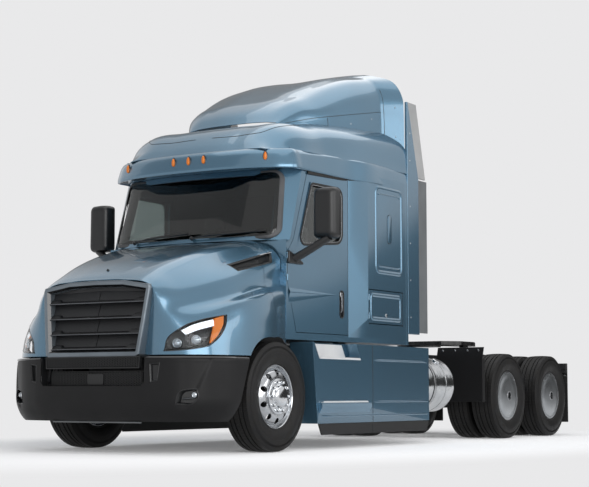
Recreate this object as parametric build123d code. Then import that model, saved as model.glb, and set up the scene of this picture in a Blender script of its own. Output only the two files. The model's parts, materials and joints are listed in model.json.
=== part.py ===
"""Semi truck tractor unit: conventional cab with a mid-roof sleeper, a roof air fairing and tandem drive axles.

Millimetres. +X is forward, +Y is the driver's left, +Z is up. The origin is on the ground at the middle of the
overall length. Lengthwise places are written as distances from the steer axle and turned into X by at().
"""

from build123d import *
import math
import os

# ---------------------------------------------------------------- driving dimensions
FRONT_OVERHANG = 1270.0        # bumper face to steer axle
WHEELBASE = 5120.0             # steer axle to forward drive axle
TANDEM_SPACING = 1320.0        # forward to rear drive axle
REAR_OVERHANG = 600.0          # rear drive axle to the back of the mud flaps
BODY_HALF_WIDTH = 1220.0       # outside of the chassis fairings
OVERALL_LENGTH = FRONT_OVERHANG + WHEELBASE + TANDEM_SPACING + REAR_OVERHANG
STEER_X = OVERALL_LENGTH / 2 - FRONT_OVERHANG
DRIVE_X = [STEER_X - WHEELBASE, STEER_X - WHEELBASE - TANDEM_SPACING]

# wheels
TYRE_RADIUS = 509.0
TYRE_WIDTH = 298.0
RIM_SEAT_RADIUS = 286.0
RIM_WIDTH = 210.0
FLANGE = 12.0                  # rim flange height and thickness
BEAD_GAP = 0.4                 # tyre bead to rim
STEER_WHEEL_Y = 1046.0         # tyre centre plane
KINGPIN_Y = 900.0
DUAL_MID_Y = 923.0             # plane between the two tyres of a pair
DUAL_HALF_SPACING = 165.0
DRUM_RADIUS = 215.0
DRUM_WALL = 15.0
HUB_RADIUS = 100.0
SPINDLE_RADIUS = 40.0
RUNNING_GAP = 0.1              # radial, shaft in its bore
DISC = 22.0                    # wheel disc thickness
HAND_HOLES = 10
HAND_HOLE_RADIUS = 28.0
HAND_HOLE_CIRCLE = 222.0
MOVING_GAP = 6.0               # clearance between bodies that move past each other
SEATED = 0.3                   # gap where one panel sits in the opening of another

# chassis
FRAME_TOP = 1000.0
FRAME_DEPTH = 270.0
FRAME_HALF_WIDTH = 432.5
FLANGE_WIDTH = 80.0
WEB = 9.0
FRAME_BOTTOM = FRAME_TOP - FRAME_DEPTH
CROSS_DEPTH = 130.0
FAIRING_BRACKETS = (-720.0, -1650.0, -2850.0)   # ahead of the steer axle
BRACKET_WIDTH = 50.0
BRACKET_DEPTH = 40.0
ENGINE_LENGTH = 1150.0
ENGINE_HEIGHT = 860.0
ENGINE_WIDTH = 2 * (FRAME_HALF_WIDTH - FLANGE_WIDTH - 32.5)    # it stands between the rails
ENGINE_FRONT = 890.0                   # ahead of the steer axle
ENGINE_BOTTOM = 640.0
SHAFT_RADIUS = 55.0
SPRING_Y = FRAME_HALF_WIDTH - 2.5      # springs, trailing arms and air springs hang under the rails
SPRING_EYE = FRAME_BOTTOM - 90.0
SPRING_REACH = 680.0           # half the length of a leaf spring
SPRING_THICK = 38.0
SPRING_HALF_WIDTH = 45.0
BEAM_TOP = TYRE_RADIUS - 34.0  # middle of the dropped steer axle
BEAM_DEPTH = 80.0
BEAM_HALF_THICK = 45.0
BOSS_HALF = 55.0
BOSS_RADIUS = 50.0
KINGPIN_RADIUS = 24.0
EAR = 28.0                     # thickness of the knuckle's ears
ARM_LENGTH = 180.0             # kingpin to track rod
TIE_ROD_RADIUS = 16.0
ARM_TOP = TYRE_RADIUS - 84.0   # trailing arms pass under the drive axles
ARM_DEPTH = 60.0
AIR_SPRING_RADIUS = 110.0
AIR_SPRING_BEHIND = 285.0      # behind its drive axle
LINER_RADIUS = 622.0           # splash shield over a steered wheel
LINER = 6.0

# cab
WALL = 50.0                    # cab wall and door thickness
CAB_FLOOR = 1050.0             # underside
BELT = 2000.0                  # foot of the windscreen
CAB_TOP = 2780.0               # seam under the roof cap
DOOR_FRONT_W = 1065.0          # cab half width at the door's front edge
DOOR_REAR_W = 1115.0
SLEEPER_W = 1195.0
CAB_FRONT = 330.0              # these six are behind the steer axle
DOOR_REAR = 1430.0
FLARE_END = DOOR_REAR + 270.0
CAB_REAR = 2580.0
GLASS_FOOT = (150.0, 290.0)    # windscreen foot at the centre and at its edge
GLASS_HEAD = (400.0, 520.0)
GLASS_HALF_WIDTH = 930.0
PILLAR_FOOT = 400.0
PILLAR_HEAD = 640.0
PANEL_GAP = 6.0                # seam round each door
HATCH_GAP = 9.0                # seam round each luggage door
DOOR_HINGES = (1640.0, 1850.0) # heights
HATCH_HINGES = (1330.0, 1520.0)
GLASS = 6.0
FLOOR_TOP = CAB_FLOOR + WALL
SEAT_Y = 480.0
SEAT_X = -1080.0               # ahead of the steer axle
BUNK = FLOOR_TOP + 510.0       # underside of the bed base
BUNK_DEPTH = CAB_REAR - FLARE_END - 180.0
MIRROR = (-560.0, 1375.0, BELT + 260.0)        # centre: ahead of the steer axle, from the middle, height
MIRROR_SIZE = (150.0, 250.0, 500.0)
FAIRING_REAR = 3000.0          # back edge of the chassis fairing
FAIRING_TOP = 1030.0
FAIRING_BOTTOM = 250.0
FAIRING_WALL = 20.0
FAIRING_DEPTH = 260.0
EXTENDER = 30.0                # thickness of the side extenders
EXTENDER_BOTTOM = CAB_FLOOR + 120.0
EXTENDER_SEAM = CAB_TOP + 90.0
EXTENDER_REAR = CAB_REAR + 260.0
EDGE_REAR = EXTENDER_REAR + 200.0
SKIRT_BOTTOM = 140.0
STEP_TOP = 870.0               # tread of the upper step, in a pocket of the fairing
STEP_FRONT = 690.0             # behind the steer axle, at the tread
STEP_REAR = 1500.0
STEP_SLANT = 100.0             # how far the pocket's ends lean forward at the top
STEP_DEPTH = 150.0
LOWER_STEP = 450.0
LOWER_STEP_FRONT = 680.0
LOWER_STEP_REAR = 1660.0
LOWER_STEP_OUT = 35.0          # how far the lower step stands out of the fairing
TANK_RADIUS = 305.0
TANK_Z = 635.0
TANK_TO_TYRE = 930.0           # space kept between the tank's end and the drive tyre

# hood and bumper
HOOD_WALL = 28.0
HOOD_BOTTOM = 876.0
HOOD_FRONT = 1170.0            # ahead of the steer axle
BUMPER_TOP = 850.0
BUMPER_BOTTOM = 290.0
BUMPER_CHIN = 480.0            # below this the bumper tucks in
BUMPER_TUCK = 90.0
BUMPER_WALL = 25.0
HOOD_PIVOT = (1150.0, 650.0)   # ahead of the steer axle, height
HOOD_PIN = 12.0
HOOD_ARM = (550.0, 570.0)      # y limits of the hood's hinge arm
ARCH_FLAT = 1060.0             # flat top of the wheel arch
COWL_SEAM = -35.0              # hood's rear edge, ahead of the steer axle
GRILLE_FOOT_W = 535.0
GRILLE_HEAD_W = 618.0
GRILLE_FOOT = 862.0
GRILLE_HEAD = 1500.0
GRILLE_CROWN = 1552.0
GRILLE_BAR = 26.0
GRILLE_SKIRT = 756.0           # foot of the mesh under the grille
# hood stations: ahead of the steer axle, crown height, then (half width, height) down to the lower edge
HOOD = [
    (HOOD_FRONT, 1560.0, [(600, 1500), (668, 1390), (705, 1200), (742, 1000), (760, HOOD_BOTTOM)]),
    (950.0, 1690.0, [(620, 1615), (820, 1450), (950, 1250), (1055, 1050), (1085, HOOD_BOTTOM)]),
    (600.0, 1825.0, [(680, 1755), (950, 1550), (1080, 1380), (1165, 1100), (1185, HOOD_BOTTOM)]),
    (150.0, 1945.0, [(760, 1880), (1005, 1670), (1100, 1500), (1185, 1100), (1200, HOOD_BOTTOM)]),
    (-CAB_FRONT, BELT + 15, [
        (880, BELT - 30), (1000, 1840), (1046, 1600), (1060, 1200), (DOOR_FRONT_W, HOOD_BOTTOM),
    ]),
]

# roof
CAP_WALL = 30.0
VISOR_BOTTOM = CAB_TOP - 60.0
BROW = CAB_TOP + 120.0
SOFFIT = 20.0
CAP_FRONT = (190.0, 230.0, 430.0)      # visor behind the steer axle: centre, at 600 mm out, at its ends
VISOR_HALF = 1085.0
# dome stations: behind the steer axle, foot half width, then (half width, height above the brow) twice, top
DOME = [
    (330.0, 820.0, (800.0, 6.0), (760.0, 10.0), 12.0),
    (560.0, 1000.0, (900.0, 160.0), (760.0, 240.0), 260.0),
    (1100.0, 1090.0, (1000.0, 250.0), (860.0, 340.0), 365.0),
    (CAB_REAR, SLEEPER_W, (1150.0, 330.0), (1020.0, 450.0), 480.0),
]
FAIRING_SHELL = 25.0
FAIRING_FOOT = 200.0           # above the brow
# fairing stations: behind the steer axle, foot half width, then (half width, height above the brow) of the
# side's top, the shoulder and the crown
FAIRING = [
    (980.0, 560.0, (545.0, 370.0), (480.0, 385.0), (300.0, 400.0)),
    (1430.0, 830.0, (815.0, 530.0), (700.0, 660.0), (500.0, 700.0)),
    (1750.0, 900.0, (885.0, 660.0), (760.0, 830.0), (560.0, 890.0)),
    (2100.0, 960.0, (945.0, 740.0), (830.0, 930.0), (640.0, 1020.0)),
    (2380.0, 1000.0, (985.0, 790.0), (900.0, 970.0), (700.0, 1085.0)),
    (CAB_REAR, 1165.0, (1165.0, 790.0), (1070.0, 980.0), (790.0, 1145.0)),
]
EXTENDER_TOP = BROW + 790.0

# fifth wheel
FIFTH_TOP = 1190.0
FIFTH_PLATE = 50.0
FIFTH_HALF_WIDTH = 455.0
FIFTH_HALF_LENGTH = 450.0
KINGPIN_BORE = 25.7
FIFTH_AHEAD = 130.0            # ahead of the tandem's middle
PIVOT_PIN = 22.0
PIVOT_DROP = 100.0             # pivot below the plate's top
STAND_Y = FRAME_HALF_WIDTH - 57.5
STAND = 40.0


def at(ahead):
    """X of a place given as a distance ahead of the steer axle."""
    return STEER_X + ahead


def block(x, y, z):
    """Box between two limits on each axis."""
    low = [min(v) for v in (x, y, z)]
    size = [abs(v[1] - v[0]) for v in (x, y, z)]
    return Pos(*low) * Box(*size, align=(Align.MIN, Align.MIN, Align.MIN))


def prism(points, axis, low, high):
    """Polygon in the plane square to axis, from low to high. Its points are (y, z), (x, z) or (x, y)."""
    place = {
        "x": lambda p: (low, p[0], p[1]),
        "y": lambda p: (p[0], low, p[1]),
        "z": lambda p: (p[0], p[1], low),
    }[axis]
    direction = {"x": (1, 0, 0), "y": (0, 1, 0), "z": (0, 0, 1)}[axis]
    outline = Polyline(*[place(p) for p in points], close=True)
    return extrude(make_face(outline), high - low, dir=direction)


def rod(start, end, radius):
    """Round bar between two points."""
    run = Vector(*end) - Vector(*start)
    plane = Plane(origin=start, z_dir=run.normalized())
    return plane * Cylinder(radius, run.length, align=(Align.CENTER, Align.CENTER, Align.MIN))


def both(shape):
    """The shape and its mirror image across the centre plane."""
    return [shape, mirror(shape, about=Plane.XZ)]


def turned(points):
    """Solid of revolution about Y from (radius, y) points."""
    return revolve(make_face(Polyline(*[(r, w, 0) for r, w in points], close=True)), Axis.Y, 360)


def write(name, *shapes):
    """One STEP file, named after its node."""
    solids = [s for shape in shapes for s in shape.solids()]
    export_step(Compound(children=solids), f"parts/{name}.step")


# ---------------------------------------------------------------- wheels
def tyre():
    """Hollow tyre centred at the origin, turning about Y."""
    half = TYRE_WIDTH / 2
    seat = RIM_SEAT_RADIUS + BEAD_GAP
    bead = RIM_WIDTH / 2 - BEAD_GAP
    tread = half - 31
    wall = 22.0
    bulge = (TYRE_RADIUS + seat) / 2
    shoulder = TYRE_RADIUS - 17
    outer = [
        Line((seat, bead - wall), (seat, bead)),
        Line((seat, bead), (RIM_SEAT_RADIUS + FLANGE + 2, bead)),
        ThreePointArc((RIM_SEAT_RADIUS + FLANGE + 2, bead), (bulge, half), (shoulder, half - 18)),
        Line((shoulder, half - 18), (TYRE_RADIUS - 5, tread)),
        ThreePointArc((TYRE_RADIUS - 5, tread), (TYRE_RADIUS, 0), (TYRE_RADIUS - 5, -tread)),
        Line((TYRE_RADIUS - 5, -tread), (shoulder, 18 - half)),
        ThreePointArc((shoulder, 18 - half), (bulge, -half), (RIM_SEAT_RADIUS + FLANGE + 2, -bead)),
        Line((RIM_SEAT_RADIUS + FLANGE + 2, -bead), (seat, -bead)),
        Line((seat, -bead), (seat, wall - bead)),
    ]
    crown = TYRE_RADIUS - 26
    inner = [
        ThreePointArc((seat, wall - bead), (bulge, wall - half), (crown, 40 - half)),
        Line((crown, 40 - half), (crown, half - 40)),
        ThreePointArc((crown, half - 40), (bulge, half - wall), (seat, bead - wall)),
    ]
    return revolve(make_face(Wire(outer + inner)), Axis.Y, 360)


def rim_barrel(centre):
    """Rim between two tyre beads, centred at y = centre."""
    half = RIM_WIDTH / 2
    seat = RIM_SEAT_RADIUS
    well = seat - 26
    outer = [
        (seat + FLANGE, half + FLANGE), (seat + FLANGE, half), (seat, half), (seat, half - 30),
        (well, half - 45), (well, 45 - half), (seat, 30 - half), (seat, -half),
        (seat + FLANGE, -half), (seat + FLANGE, -half - FLANGE),
    ]
    inner = [
        (seat - FLANGE, -half - FLANGE), (seat - FLANGE, 24 - half), (well - FLANGE, 40 - half),
        (well - FLANGE, half - 40), (seat - FLANGE, half - 24), (seat - FLANGE, half + FLANGE),
    ]
    return turned([(r, w + centre) for r, w in outer + inner])


def hand_holes(low, high):
    """The ring of round holes through a wheel disc."""
    hole = Cylinder(HAND_HOLE_RADIUS, high - low)
    ring = []
    for i in range(HAND_HOLES):
        turn = Rot(0, 360.0 * i / HAND_HOLES, 0)
        ring.append(turn * Pos(HAND_HOLE_CIRCLE, (low + high) / 2, 0) * Rot(90, 0, 0) * hole)
    return ring


def steer_wheel():
    """Rim, disc, hub, cap and brake drum of a steered wheel. The outside faces +Y."""
    face = RIM_WIDTH / 2 + 32
    neck = RIM_SEAT_RADIUS - 9
    disc = turned([
        (60, face), (195, face), (neck, RIM_WIDTH / 2 - 12), (neck, RIM_WIDTH / 2 - 12 - DISC),
        (190, face - DISC), (60, face - DISC),
    ])
    inside = face - DISC
    hub = turned([
        (SPINDLE_RADIUS + RUNNING_GAP, -40), (HUB_RADIUS, -40), (HUB_RADIUS, face), (0, face),
        (0, inside - 10), (SPINDLE_RADIUS + RUNNING_GAP, inside - 10),
    ])
    cap = turned([
        (0, face), (160, face), (160, face + 12),
        (85, face + 20), (70, face + 55), (0, face + 62),
    ])
    drum = turned([
        (DRUM_RADIUS, -50), (DRUM_RADIUS, inside - 25), (150, inside), (90, inside),
        (90, inside - DRUM_WALL), (150, inside - DRUM_WALL),
        (DRUM_RADIUS - DRUM_WALL, inside - 25 - DRUM_WALL), (DRUM_RADIUS - DRUM_WALL, -50),
    ])
    return rim_barrel(0) + disc - hand_holes(0, face + 10) + hub + cap + drum


def dual_wheel():
    """Two rims back to back, hub, drum and aero cover, about the middle of the pair. The outside faces +Y."""
    neck = RIM_SEAT_RADIUS - 24
    deep = DUAL_HALF_SPACING - RIM_WIDTH / 2 + 40
    cone = [(80, 0), (195, 0), (neck, deep - DISC), (neck + 8, deep), (190, DISC), (80, DISC)]
    outer_disc = turned(cone)
    inner_disc = turned([(r, -w) for r, w in cone])
    bore = SPINDLE_RADIUS + RUNNING_GAP
    hub = turned([(bore, -150), (HUB_RADIUS, -150), (HUB_RADIUS, 95), (0, 95), (0, 30), (bore, 30)])
    mouth = -230.0
    drum = turned([
        (DRUM_RADIUS, mouth), (DRUM_RADIUS, -60), (180, -DISC + 4), (90, -DISC + 4),
        (90, -DISC - DRUM_WALL),
        (175, -DISC - DRUM_WALL), (DRUM_RADIUS - DRUM_WALL, -75), (DRUM_RADIUS - DRUM_WALL, mouth),
    ])
    lip = DUAL_HALF_SPACING + RIM_WIDTH / 2 + FLANGE
    cover = turned([
        (RIM_SEAT_RADIUS + FLANGE - 8, lip), (RIM_SEAT_RADIUS - 30, lip + 4),
        (120, lip + 22), (34, lip + 26),
        (34, lip + 21), (120, lip + 17), (RIM_SEAT_RADIUS - 32, lip - 2), (RIM_SEAT_RADIUS - 8, lip - 4),
        (RIM_SEAT_RADIUS - 8, lip),
    ])
    barrels = rim_barrel(DUAL_HALF_SPACING) + rim_barrel(-DUAL_HALF_SPACING)
    return barrels + outer_disc + inner_disc + hub + drum + cover


def wheels():
    """Every tyre and wheel in its place."""
    steer = steer_wheel()
    dual = dual_wheel()
    one = tyre()
    for side, name in ((1, "left"), (-1, "right")):
        flip = Rot(0, 0, 0 if side > 0 else 180)
        place = Pos(STEER_X, side * STEER_WHEEL_Y, TYRE_RADIUS)
        write(f"steer_tyre_{name}", place * one)
        write(f"steer_wheel_{name}", place * flip * steer)
        for axle, x in zip(("forward", "rear"), DRIVE_X):
            place = Pos(x, side * DUAL_MID_Y, TYRE_RADIUS)
            pair = [place * Pos(0, w, 0) * one for w in (-DUAL_HALF_SPACING, DUAL_HALF_SPACING)]
            write(f"drive_tyres_{axle}_{name}", *pair)
            write(f"drive_wheel_{axle}_{name}", place * flip * dual)


# ---------------------------------------------------------------- running gear
def front_axle():
    """Dropped I-beam steer axle with a bored boss at each end."""
    low, high = BEAM_TOP - BEAM_DEPTH, BEAM_TOP
    rise, end = 560.0, KINGPIN_Y - BOSS_RADIUS + 8
    upper = TYRE_RADIUS + 40
    half = [(rise, low), (end, TYRE_RADIUS - 40), (end, upper), (end - 60, upper), (rise, high)]
    outline = half + [(-y, z) for y, z in reversed(half)]
    beam = prism(outline, "x", STEER_X - BEAM_HALF_THICK, STEER_X + BEAM_HALF_THICK)
    for y in (KINGPIN_Y, -KINGPIN_Y):
        beam += Pos(STEER_X, y, TYRE_RADIUS) * Cylinder(BOSS_RADIUS, 2 * BOSS_HALF)
        beam -= Pos(STEER_X, y, TYRE_RADIUS) * Cylinder(KINGPIN_RADIUS + RUNNING_GAP, 4 * BOSS_HALF)
    return beam


def knuckle(side):
    """Yoke with kingpin, spindle, brake backing plate and track rod arm."""
    inner = KINGPIN_Y + BOSS_RADIUS + MOVING_GAP
    web = 30.0
    drum_mouth = STEER_WHEEL_Y - 50.0
    ear_low = BOSS_HALF + 2
    ear_high = ear_low + EAR
    part = Pos(STEER_X, KINGPIN_Y, TYRE_RADIUS) * Cylinder(KINGPIN_RADIUS, 2 * ear_high)
    for sign in (1, -1):
        z = (TYRE_RADIUS + sign * ear_low, TYRE_RADIUS + sign * ear_high)
        centre = (z[0] + z[1]) / 2
        part += Pos(STEER_X, KINGPIN_Y, centre) * Cylinder(BOSS_RADIUS, EAR)
        part += block((STEER_X - 45, STEER_X + 45), (KINGPIN_Y, inner + web), z)
    yoke_z = (TYRE_RADIUS - ear_high, TYRE_RADIUS + ear_high)
    part += block((STEER_X - 60, STEER_X + 60), (inner, inner + web), yoke_z)
    plate_y = inner + web
    backing = DRUM_RADIUS - DRUM_WALL - 8
    part += rod((STEER_X, plate_y, TYRE_RADIUS), (STEER_X, drum_mouth + 6, TYRE_RADIUS), backing)
    tip = STEER_WHEEL_Y + RIM_WIDTH / 2 + 32 - DISC - 16
    part += rod((STEER_X, plate_y, TYRE_RADIUS), (STEER_X, tip, TYRE_RADIUS), SPINDLE_RADIUS)
    z_arm = (TYRE_RADIUS - ear_high, TYRE_RADIUS - ear_low)
    part += block((STEER_X - ARM_LENGTH, STEER_X), (KINGPIN_Y - 22, KINGPIN_Y + 22), z_arm)
    part += Pos(STEER_X - ARM_LENGTH, KINGPIN_Y, sum(z_arm) / 2) * Cylinder(26, EAR)
    part -= Pos(STEER_X - ARM_LENGTH, KINGPIN_Y, sum(z_arm) / 2) * Cylinder(13, 2 * EAR)
    return part if side > 0 else mirror(part, about=Plane.XZ)


def tie_rod():
    """Track rod under the two arms, with a stud up through each."""
    arm_low = TYRE_RADIUS - BOSS_HALF - 2 - EAR
    boss = TIE_ROD_RADIUS + 5
    z = arm_low - MOVING_GAP - boss
    x = STEER_X - ARM_LENGTH
    part = rod((x, -KINGPIN_Y, z), (x, KINGPIN_Y, z), TIE_ROD_RADIUS)
    for y in (KINGPIN_Y, -KINGPIN_Y):
        part += Pos(x, y, z) * Cylinder(TIE_ROD_RADIUS + 8, 2 * boss)
        part += rod((x, y, z), (x, y, arm_low + EAR + 8), 12.4)
    return part


def springs():
    """Leaf spring each side with its frame brackets."""
    reach, eye, half = SPRING_REACH, SPRING_EYE, SPRING_HALF_WIDTH
    y = SPRING_Y - half
    rear, middle, front = [(at(-reach), eye), (at(0), BEAM_TOP), (at(reach), eye)]
    arc = ThreePointArc(*[(x, y, z) for x, z in (rear, middle, front)])
    upper = ThreePointArc(*[(x, y, z + SPRING_THICK) for x, z in (front, middle, rear)])
    ends = [Line(arc @ 1, upper @ 0), Line(upper @ 1, arc @ 0)]
    leaf = extrude(make_face(Wire([arc, ends[0], upper, ends[1]])), 2 * half, dir=(0, 1, 0))
    for x in (at(reach - 30), at(30 - reach)):
        leaf += block((x - 35, x + 35), (y, SPRING_Y + half - 43), (eye - 20, FRAME_BOTTOM))
    leaf += block((at(-75), at(75)), (SPRING_Y - half, SPRING_Y + half), (BEAM_TOP, BEAM_TOP + 70))
    return leaf


def drive_axle(x):
    """Banjo housing with pinion nose, spring seats and wheel spindles."""
    z = TYRE_RADIUS
    tube_end = DUAL_MID_Y - 255
    housing = rod((x, -tube_end, z), (x, tube_end, z), 65)
    housing += rod((x - 120, 0, z), (x + 120, 0, z), 190)
    housing += rod((x - 190, 0, z), (x - 119, 0, z), 120)
    housing += rod((x + 119, 0, z), (x + 330, 0, z), 100)
    spindle_end = DUAL_MID_Y + 15
    housing += rod((x, -spindle_end, z), (x, spindle_end, z), SPINDLE_RADIUS)
    for y in (SPRING_Y, -SPRING_Y):
        housing += block((x - 65, x + 65), (y - 50, y + 50), (ARM_TOP, z))
    return housing


def trailing_arm(x):
    """Arm under the axle with its hanger bracket up to the rail."""
    arm = block((x - 400, x + 500), (SPRING_Y - 40, SPRING_Y + 40), (ARM_TOP - ARM_DEPTH, ARM_TOP))
    arm += block((x + 420, x + 500), (SPRING_Y - 40, FRAME_HALF_WIDTH), (ARM_TOP, FRAME_BOTTOM))
    return arm


def frame_rails():
    """The left and right channel rails."""
    front, rear = frame_span()
    outer = FRAME_HALF_WIDTH
    rail = block((rear, front), (outer - FLANGE_WIDTH, outer), (FRAME_BOTTOM, FRAME_TOP))
    channel = (FRAME_BOTTOM + WEB, FRAME_TOP - WEB)
    rail -= block((rear - 1, front + 1), (outer - FLANGE_WIDTH - 1, outer - WEB), channel)
    return both(rail)


def frame_span():
    """Front and rear X of the rails."""
    return at(1000), DRIVE_X[1] - 480


def cross_members():
    """Box members between the two rail webs."""
    rear = frame_span()[1]
    inner = FRAME_HALF_WIDTH - WEB
    stations = [at(950), at(-1300), at(-2300), DRIVE_X[0] + 560, (DRIVE_X[0] + DRIVE_X[1]) / 2, rear + 40]
    z = (FRAME_TOP - WEB - CROSS_DEPTH, FRAME_TOP - WEB)
    return [block((x - 40, x + 40), (-inner, inner), z) for x in stations]


def bracket_reach(ahead):
    """Y where a side fairing's bracket ends: at the back of the step pocket, or at the outer wall."""
    behind = -ahead
    beside_pocket = STEP_FRONT - STEP_SLANT - BRACKET_WIDTH < behind < STEP_REAR + BRACKET_WIDTH
    return BODY_HALF_WIDTH - FAIRING_WALL - (STEP_DEPTH if beside_pocket else 0)


def bracket_height():
    """Lowest and highest Z of the side fairing's brackets."""
    return FRAME_TOP - BRACKET_DEPTH, FRAME_TOP


def brackets():
    """Engine mounts, side fairing brackets, cab mounts and tank saddles of both sides."""
    outer = FRAME_HALF_WIDTH
    left = []
    for x in (at(ENGINE_FRONT - 250), at(ENGINE_FRONT - ENGINE_LENGTH + 150)):
        level = (FRAME_TOP - 120, FRAME_TOP - WEB)
        left.append(block((x - 60, x + 60), (ENGINE_WIDTH / 2, outer - WEB), level))
    inner_face = BODY_HALF_WIDTH - FAIRING_WALL
    half = BRACKET_WIDTH / 2
    for ahead in FAIRING_BRACKETS:
        reach = (outer, bracket_reach(ahead))
        left.append(block((at(ahead) - half, at(ahead) + half), reach, bracket_height()))
    for x in (at(-480), at(100 - CAB_REAR)):
        left.append(block((x - 70, x + 70), (outer - FLANGE_WIDTH, outer), (FRAME_TOP, CAB_FLOOR)))
    tank_y = inner_face - TANK_RADIUS - 10
    for x in tank_straps():
        saddle = block((x - 35, x + 35), (outer, tank_y), (TANK_Z - TANK_RADIUS - 22, FRAME_TOP - 60))
        saddle -= rod((x - 50, tank_y, TANK_Z), (x + 50, tank_y, TANK_Z), TANK_RADIUS + SEATED)
        left.append(max(saddle.solids(), key=lambda s: s.volume))
    return [shape for piece in left for shape in both(piece)]


def tank_span():
    """Front and rear X of the fuel tanks."""
    return at(-1900), DRIVE_X[0] + TYRE_RADIUS + TANK_TO_TYRE


def tank_straps():
    """X of the tank saddles."""
    front, rear = tank_span()
    inset = (front - rear) / 5
    return front - inset, rear + inset


def fuel_tanks():
    """A round tank each side."""
    front, rear = tank_span()
    y = BODY_HALF_WIDTH - FAIRING_WALL - TANK_RADIUS - 10
    return both(rod((rear, y, TANK_Z), (front, y, TANK_Z), TANK_RADIUS))


def driveline():
    """Gearbox and the two propeller shafts."""
    rear_face = at(ENGINE_FRONT - ENGINE_LENGTH)
    box_end = rear_face - 620
    gearbox = block((box_end, rear_face), (-230, 230), (620, 860))
    nose = DRIVE_X[0] + 330
    shaft = rod((box_end, 0, 740), (nose, 0, TYRE_RADIUS), SHAFT_RADIUS)
    inter = rod((DRIVE_X[0] - 190, 0, TYRE_RADIUS), (DRIVE_X[1] + 330, 0, TYRE_RADIUS), SHAFT_RADIUS - 10)
    return [gearbox + shaft, inter]


def running_gear():
    """Everything between the wheels and the frame."""
    write("frame_rails", *frame_rails())
    write("cross_members", *cross_members())
    write("chassis_brackets", *brackets())
    engine_x = (at(ENGINE_FRONT - ENGINE_LENGTH), at(ENGINE_FRONT))
    engine_y = (-ENGINE_WIDTH / 2, ENGINE_WIDTH / 2)
    write("engine_block", block(engine_x, engine_y, (ENGINE_BOTTOM, ENGINE_BOTTOM + ENGINE_HEIGHT)))
    axles = [drive_axle(x) for x in DRIVE_X]
    shafts = [s - axles[0] - axles[1] for s in driveline()]
    write("driveline", *shafts)
    write("steer_axle_beam", front_axle())
    write("drive_axles", *axles)
    write("leaf_springs", *both(springs()))
    write("trailing_arms", *[s for x in DRIVE_X for s in both(trailing_arm(x))])
    bag = Cylinder(AIR_SPRING_RADIUS, FRAME_BOTTOM - ARM_TOP)
    bag_z = (FRAME_BOTTOM + ARM_TOP) / 2
    places = [(x - AIR_SPRING_BEHIND, y) for x in DRIVE_X for y in (SPRING_Y, -SPRING_Y)]
    write("air_springs", *[Pos(x, y, bag_z) * bag for x, y in places])
    write("fuel_tanks", *fuel_tanks())
    for side, name in ((1, "left"), (-1, "right")):
        write(f"knuckle_{name}", knuckle(side))
    write("tie_rod", tie_rod())


# ---------------------------------------------------------------- fifth wheel
def fifth_wheel():
    """Rocking top plate and its two stands."""
    x = (DRIVE_X[0] + DRIVE_X[1]) / 2 + FIFTH_AHEAD
    pivot_z = FIFTH_TOP - PIVOT_DROP
    low = FIFTH_TOP - FIFTH_PLATE
    front, back = x + FIFTH_HALF_LENGTH, x - FIFTH_HALF_LENGTH
    wide, nose = FIFTH_HALF_WIDTH, FIFTH_HALF_WIDTH * 0.62
    outline = [
        (front, nose), (front - 220, wide), (x - 150, wide),
        (back, wide * 0.72), (back, 170), (x - 60, 60),
    ]
    outline += [(px, -py) for px, py in reversed(outline)]
    plate = prism(outline, "z", low, FIFTH_TOP)
    plate -= Pos(x, 0, FIFTH_TOP) * Cylinder(KINGPIN_BORE, 4 * FIFTH_PLATE)
    lug_wall, lug_gap = 18.0, 2.0
    inner, outer = STAND_Y - STAND / 2, STAND_Y + STAND / 2
    for side in (1, -1):
        for y in (inner - lug_gap - lug_wall, outer + lug_gap):
            ys = (side * y, side * (y + lug_wall))
            lug = block((x - 45, x + 45), ys, (pivot_z, low))
            lug += rod((x, ys[0], pivot_z), (x, ys[1], pivot_z), 45)
            plate += lug
        reach = lug_gap + lug_wall
        plate += rod((x, side * (inner - reach), pivot_z), (x, side * (outer + reach), pivot_z), PIVOT_PIN)
    write("fifth_wheel_plate", plate)
    stands = []
    for side in (1, -1):
        ys = (side * inner, side * outer)
        base = (FRAME_TOP, FRAME_TOP + 12)
        base_y = (side * (FRAME_HALF_WIDTH - 110), side * FRAME_HALF_WIDTH)
        leg = [(x - 230, base[1]), (x + 230, base[1]), (x + 42, pivot_z), (x - 42, pivot_z)]
        foot = prism(leg, "y", min(ys), max(ys))
        foot += rod((x, ys[0], pivot_z), (x, ys[1], pivot_z), 42)
        foot += block((x - 330, x + 330), base_y, base)
        foot -= rod((x, ys[0] - side, pivot_z), (x, ys[1] + side, pivot_z), PIVOT_PIN + RUNNING_GAP)
        stands.append(foot)
    write("fifth_wheel_stands", *stands)


# ---------------------------------------------------------------- cab
def cab_plan(z, glass, pillar, inset):
    """Horizontal outline of the cab at height z, with the curved windscreen side in front."""
    edge, half = at(-glass[1]) - inset, GLASS_HALF_WIDTH - inset
    left = [
        (edge, half, z), (at(-pillar) - inset, DOOR_FRONT_W - inset, z),
        (at(-DOOR_REAR), DOOR_REAR_W - inset, z),
        (at(-FLARE_END), SLEEPER_W - inset, z), (at(-CAB_REAR) + inset, SLEEPER_W - inset, z),
    ]
    right = [(x, -y, h) for x, y, h in reversed(left)]
    sides = Polyline(*(left + right))
    screen = ThreePointArc(right[-1], (at(-glass[0]) - inset, 0, z), left[0])
    return make_face(Wire([*sides.edges(), screen]))


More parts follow.
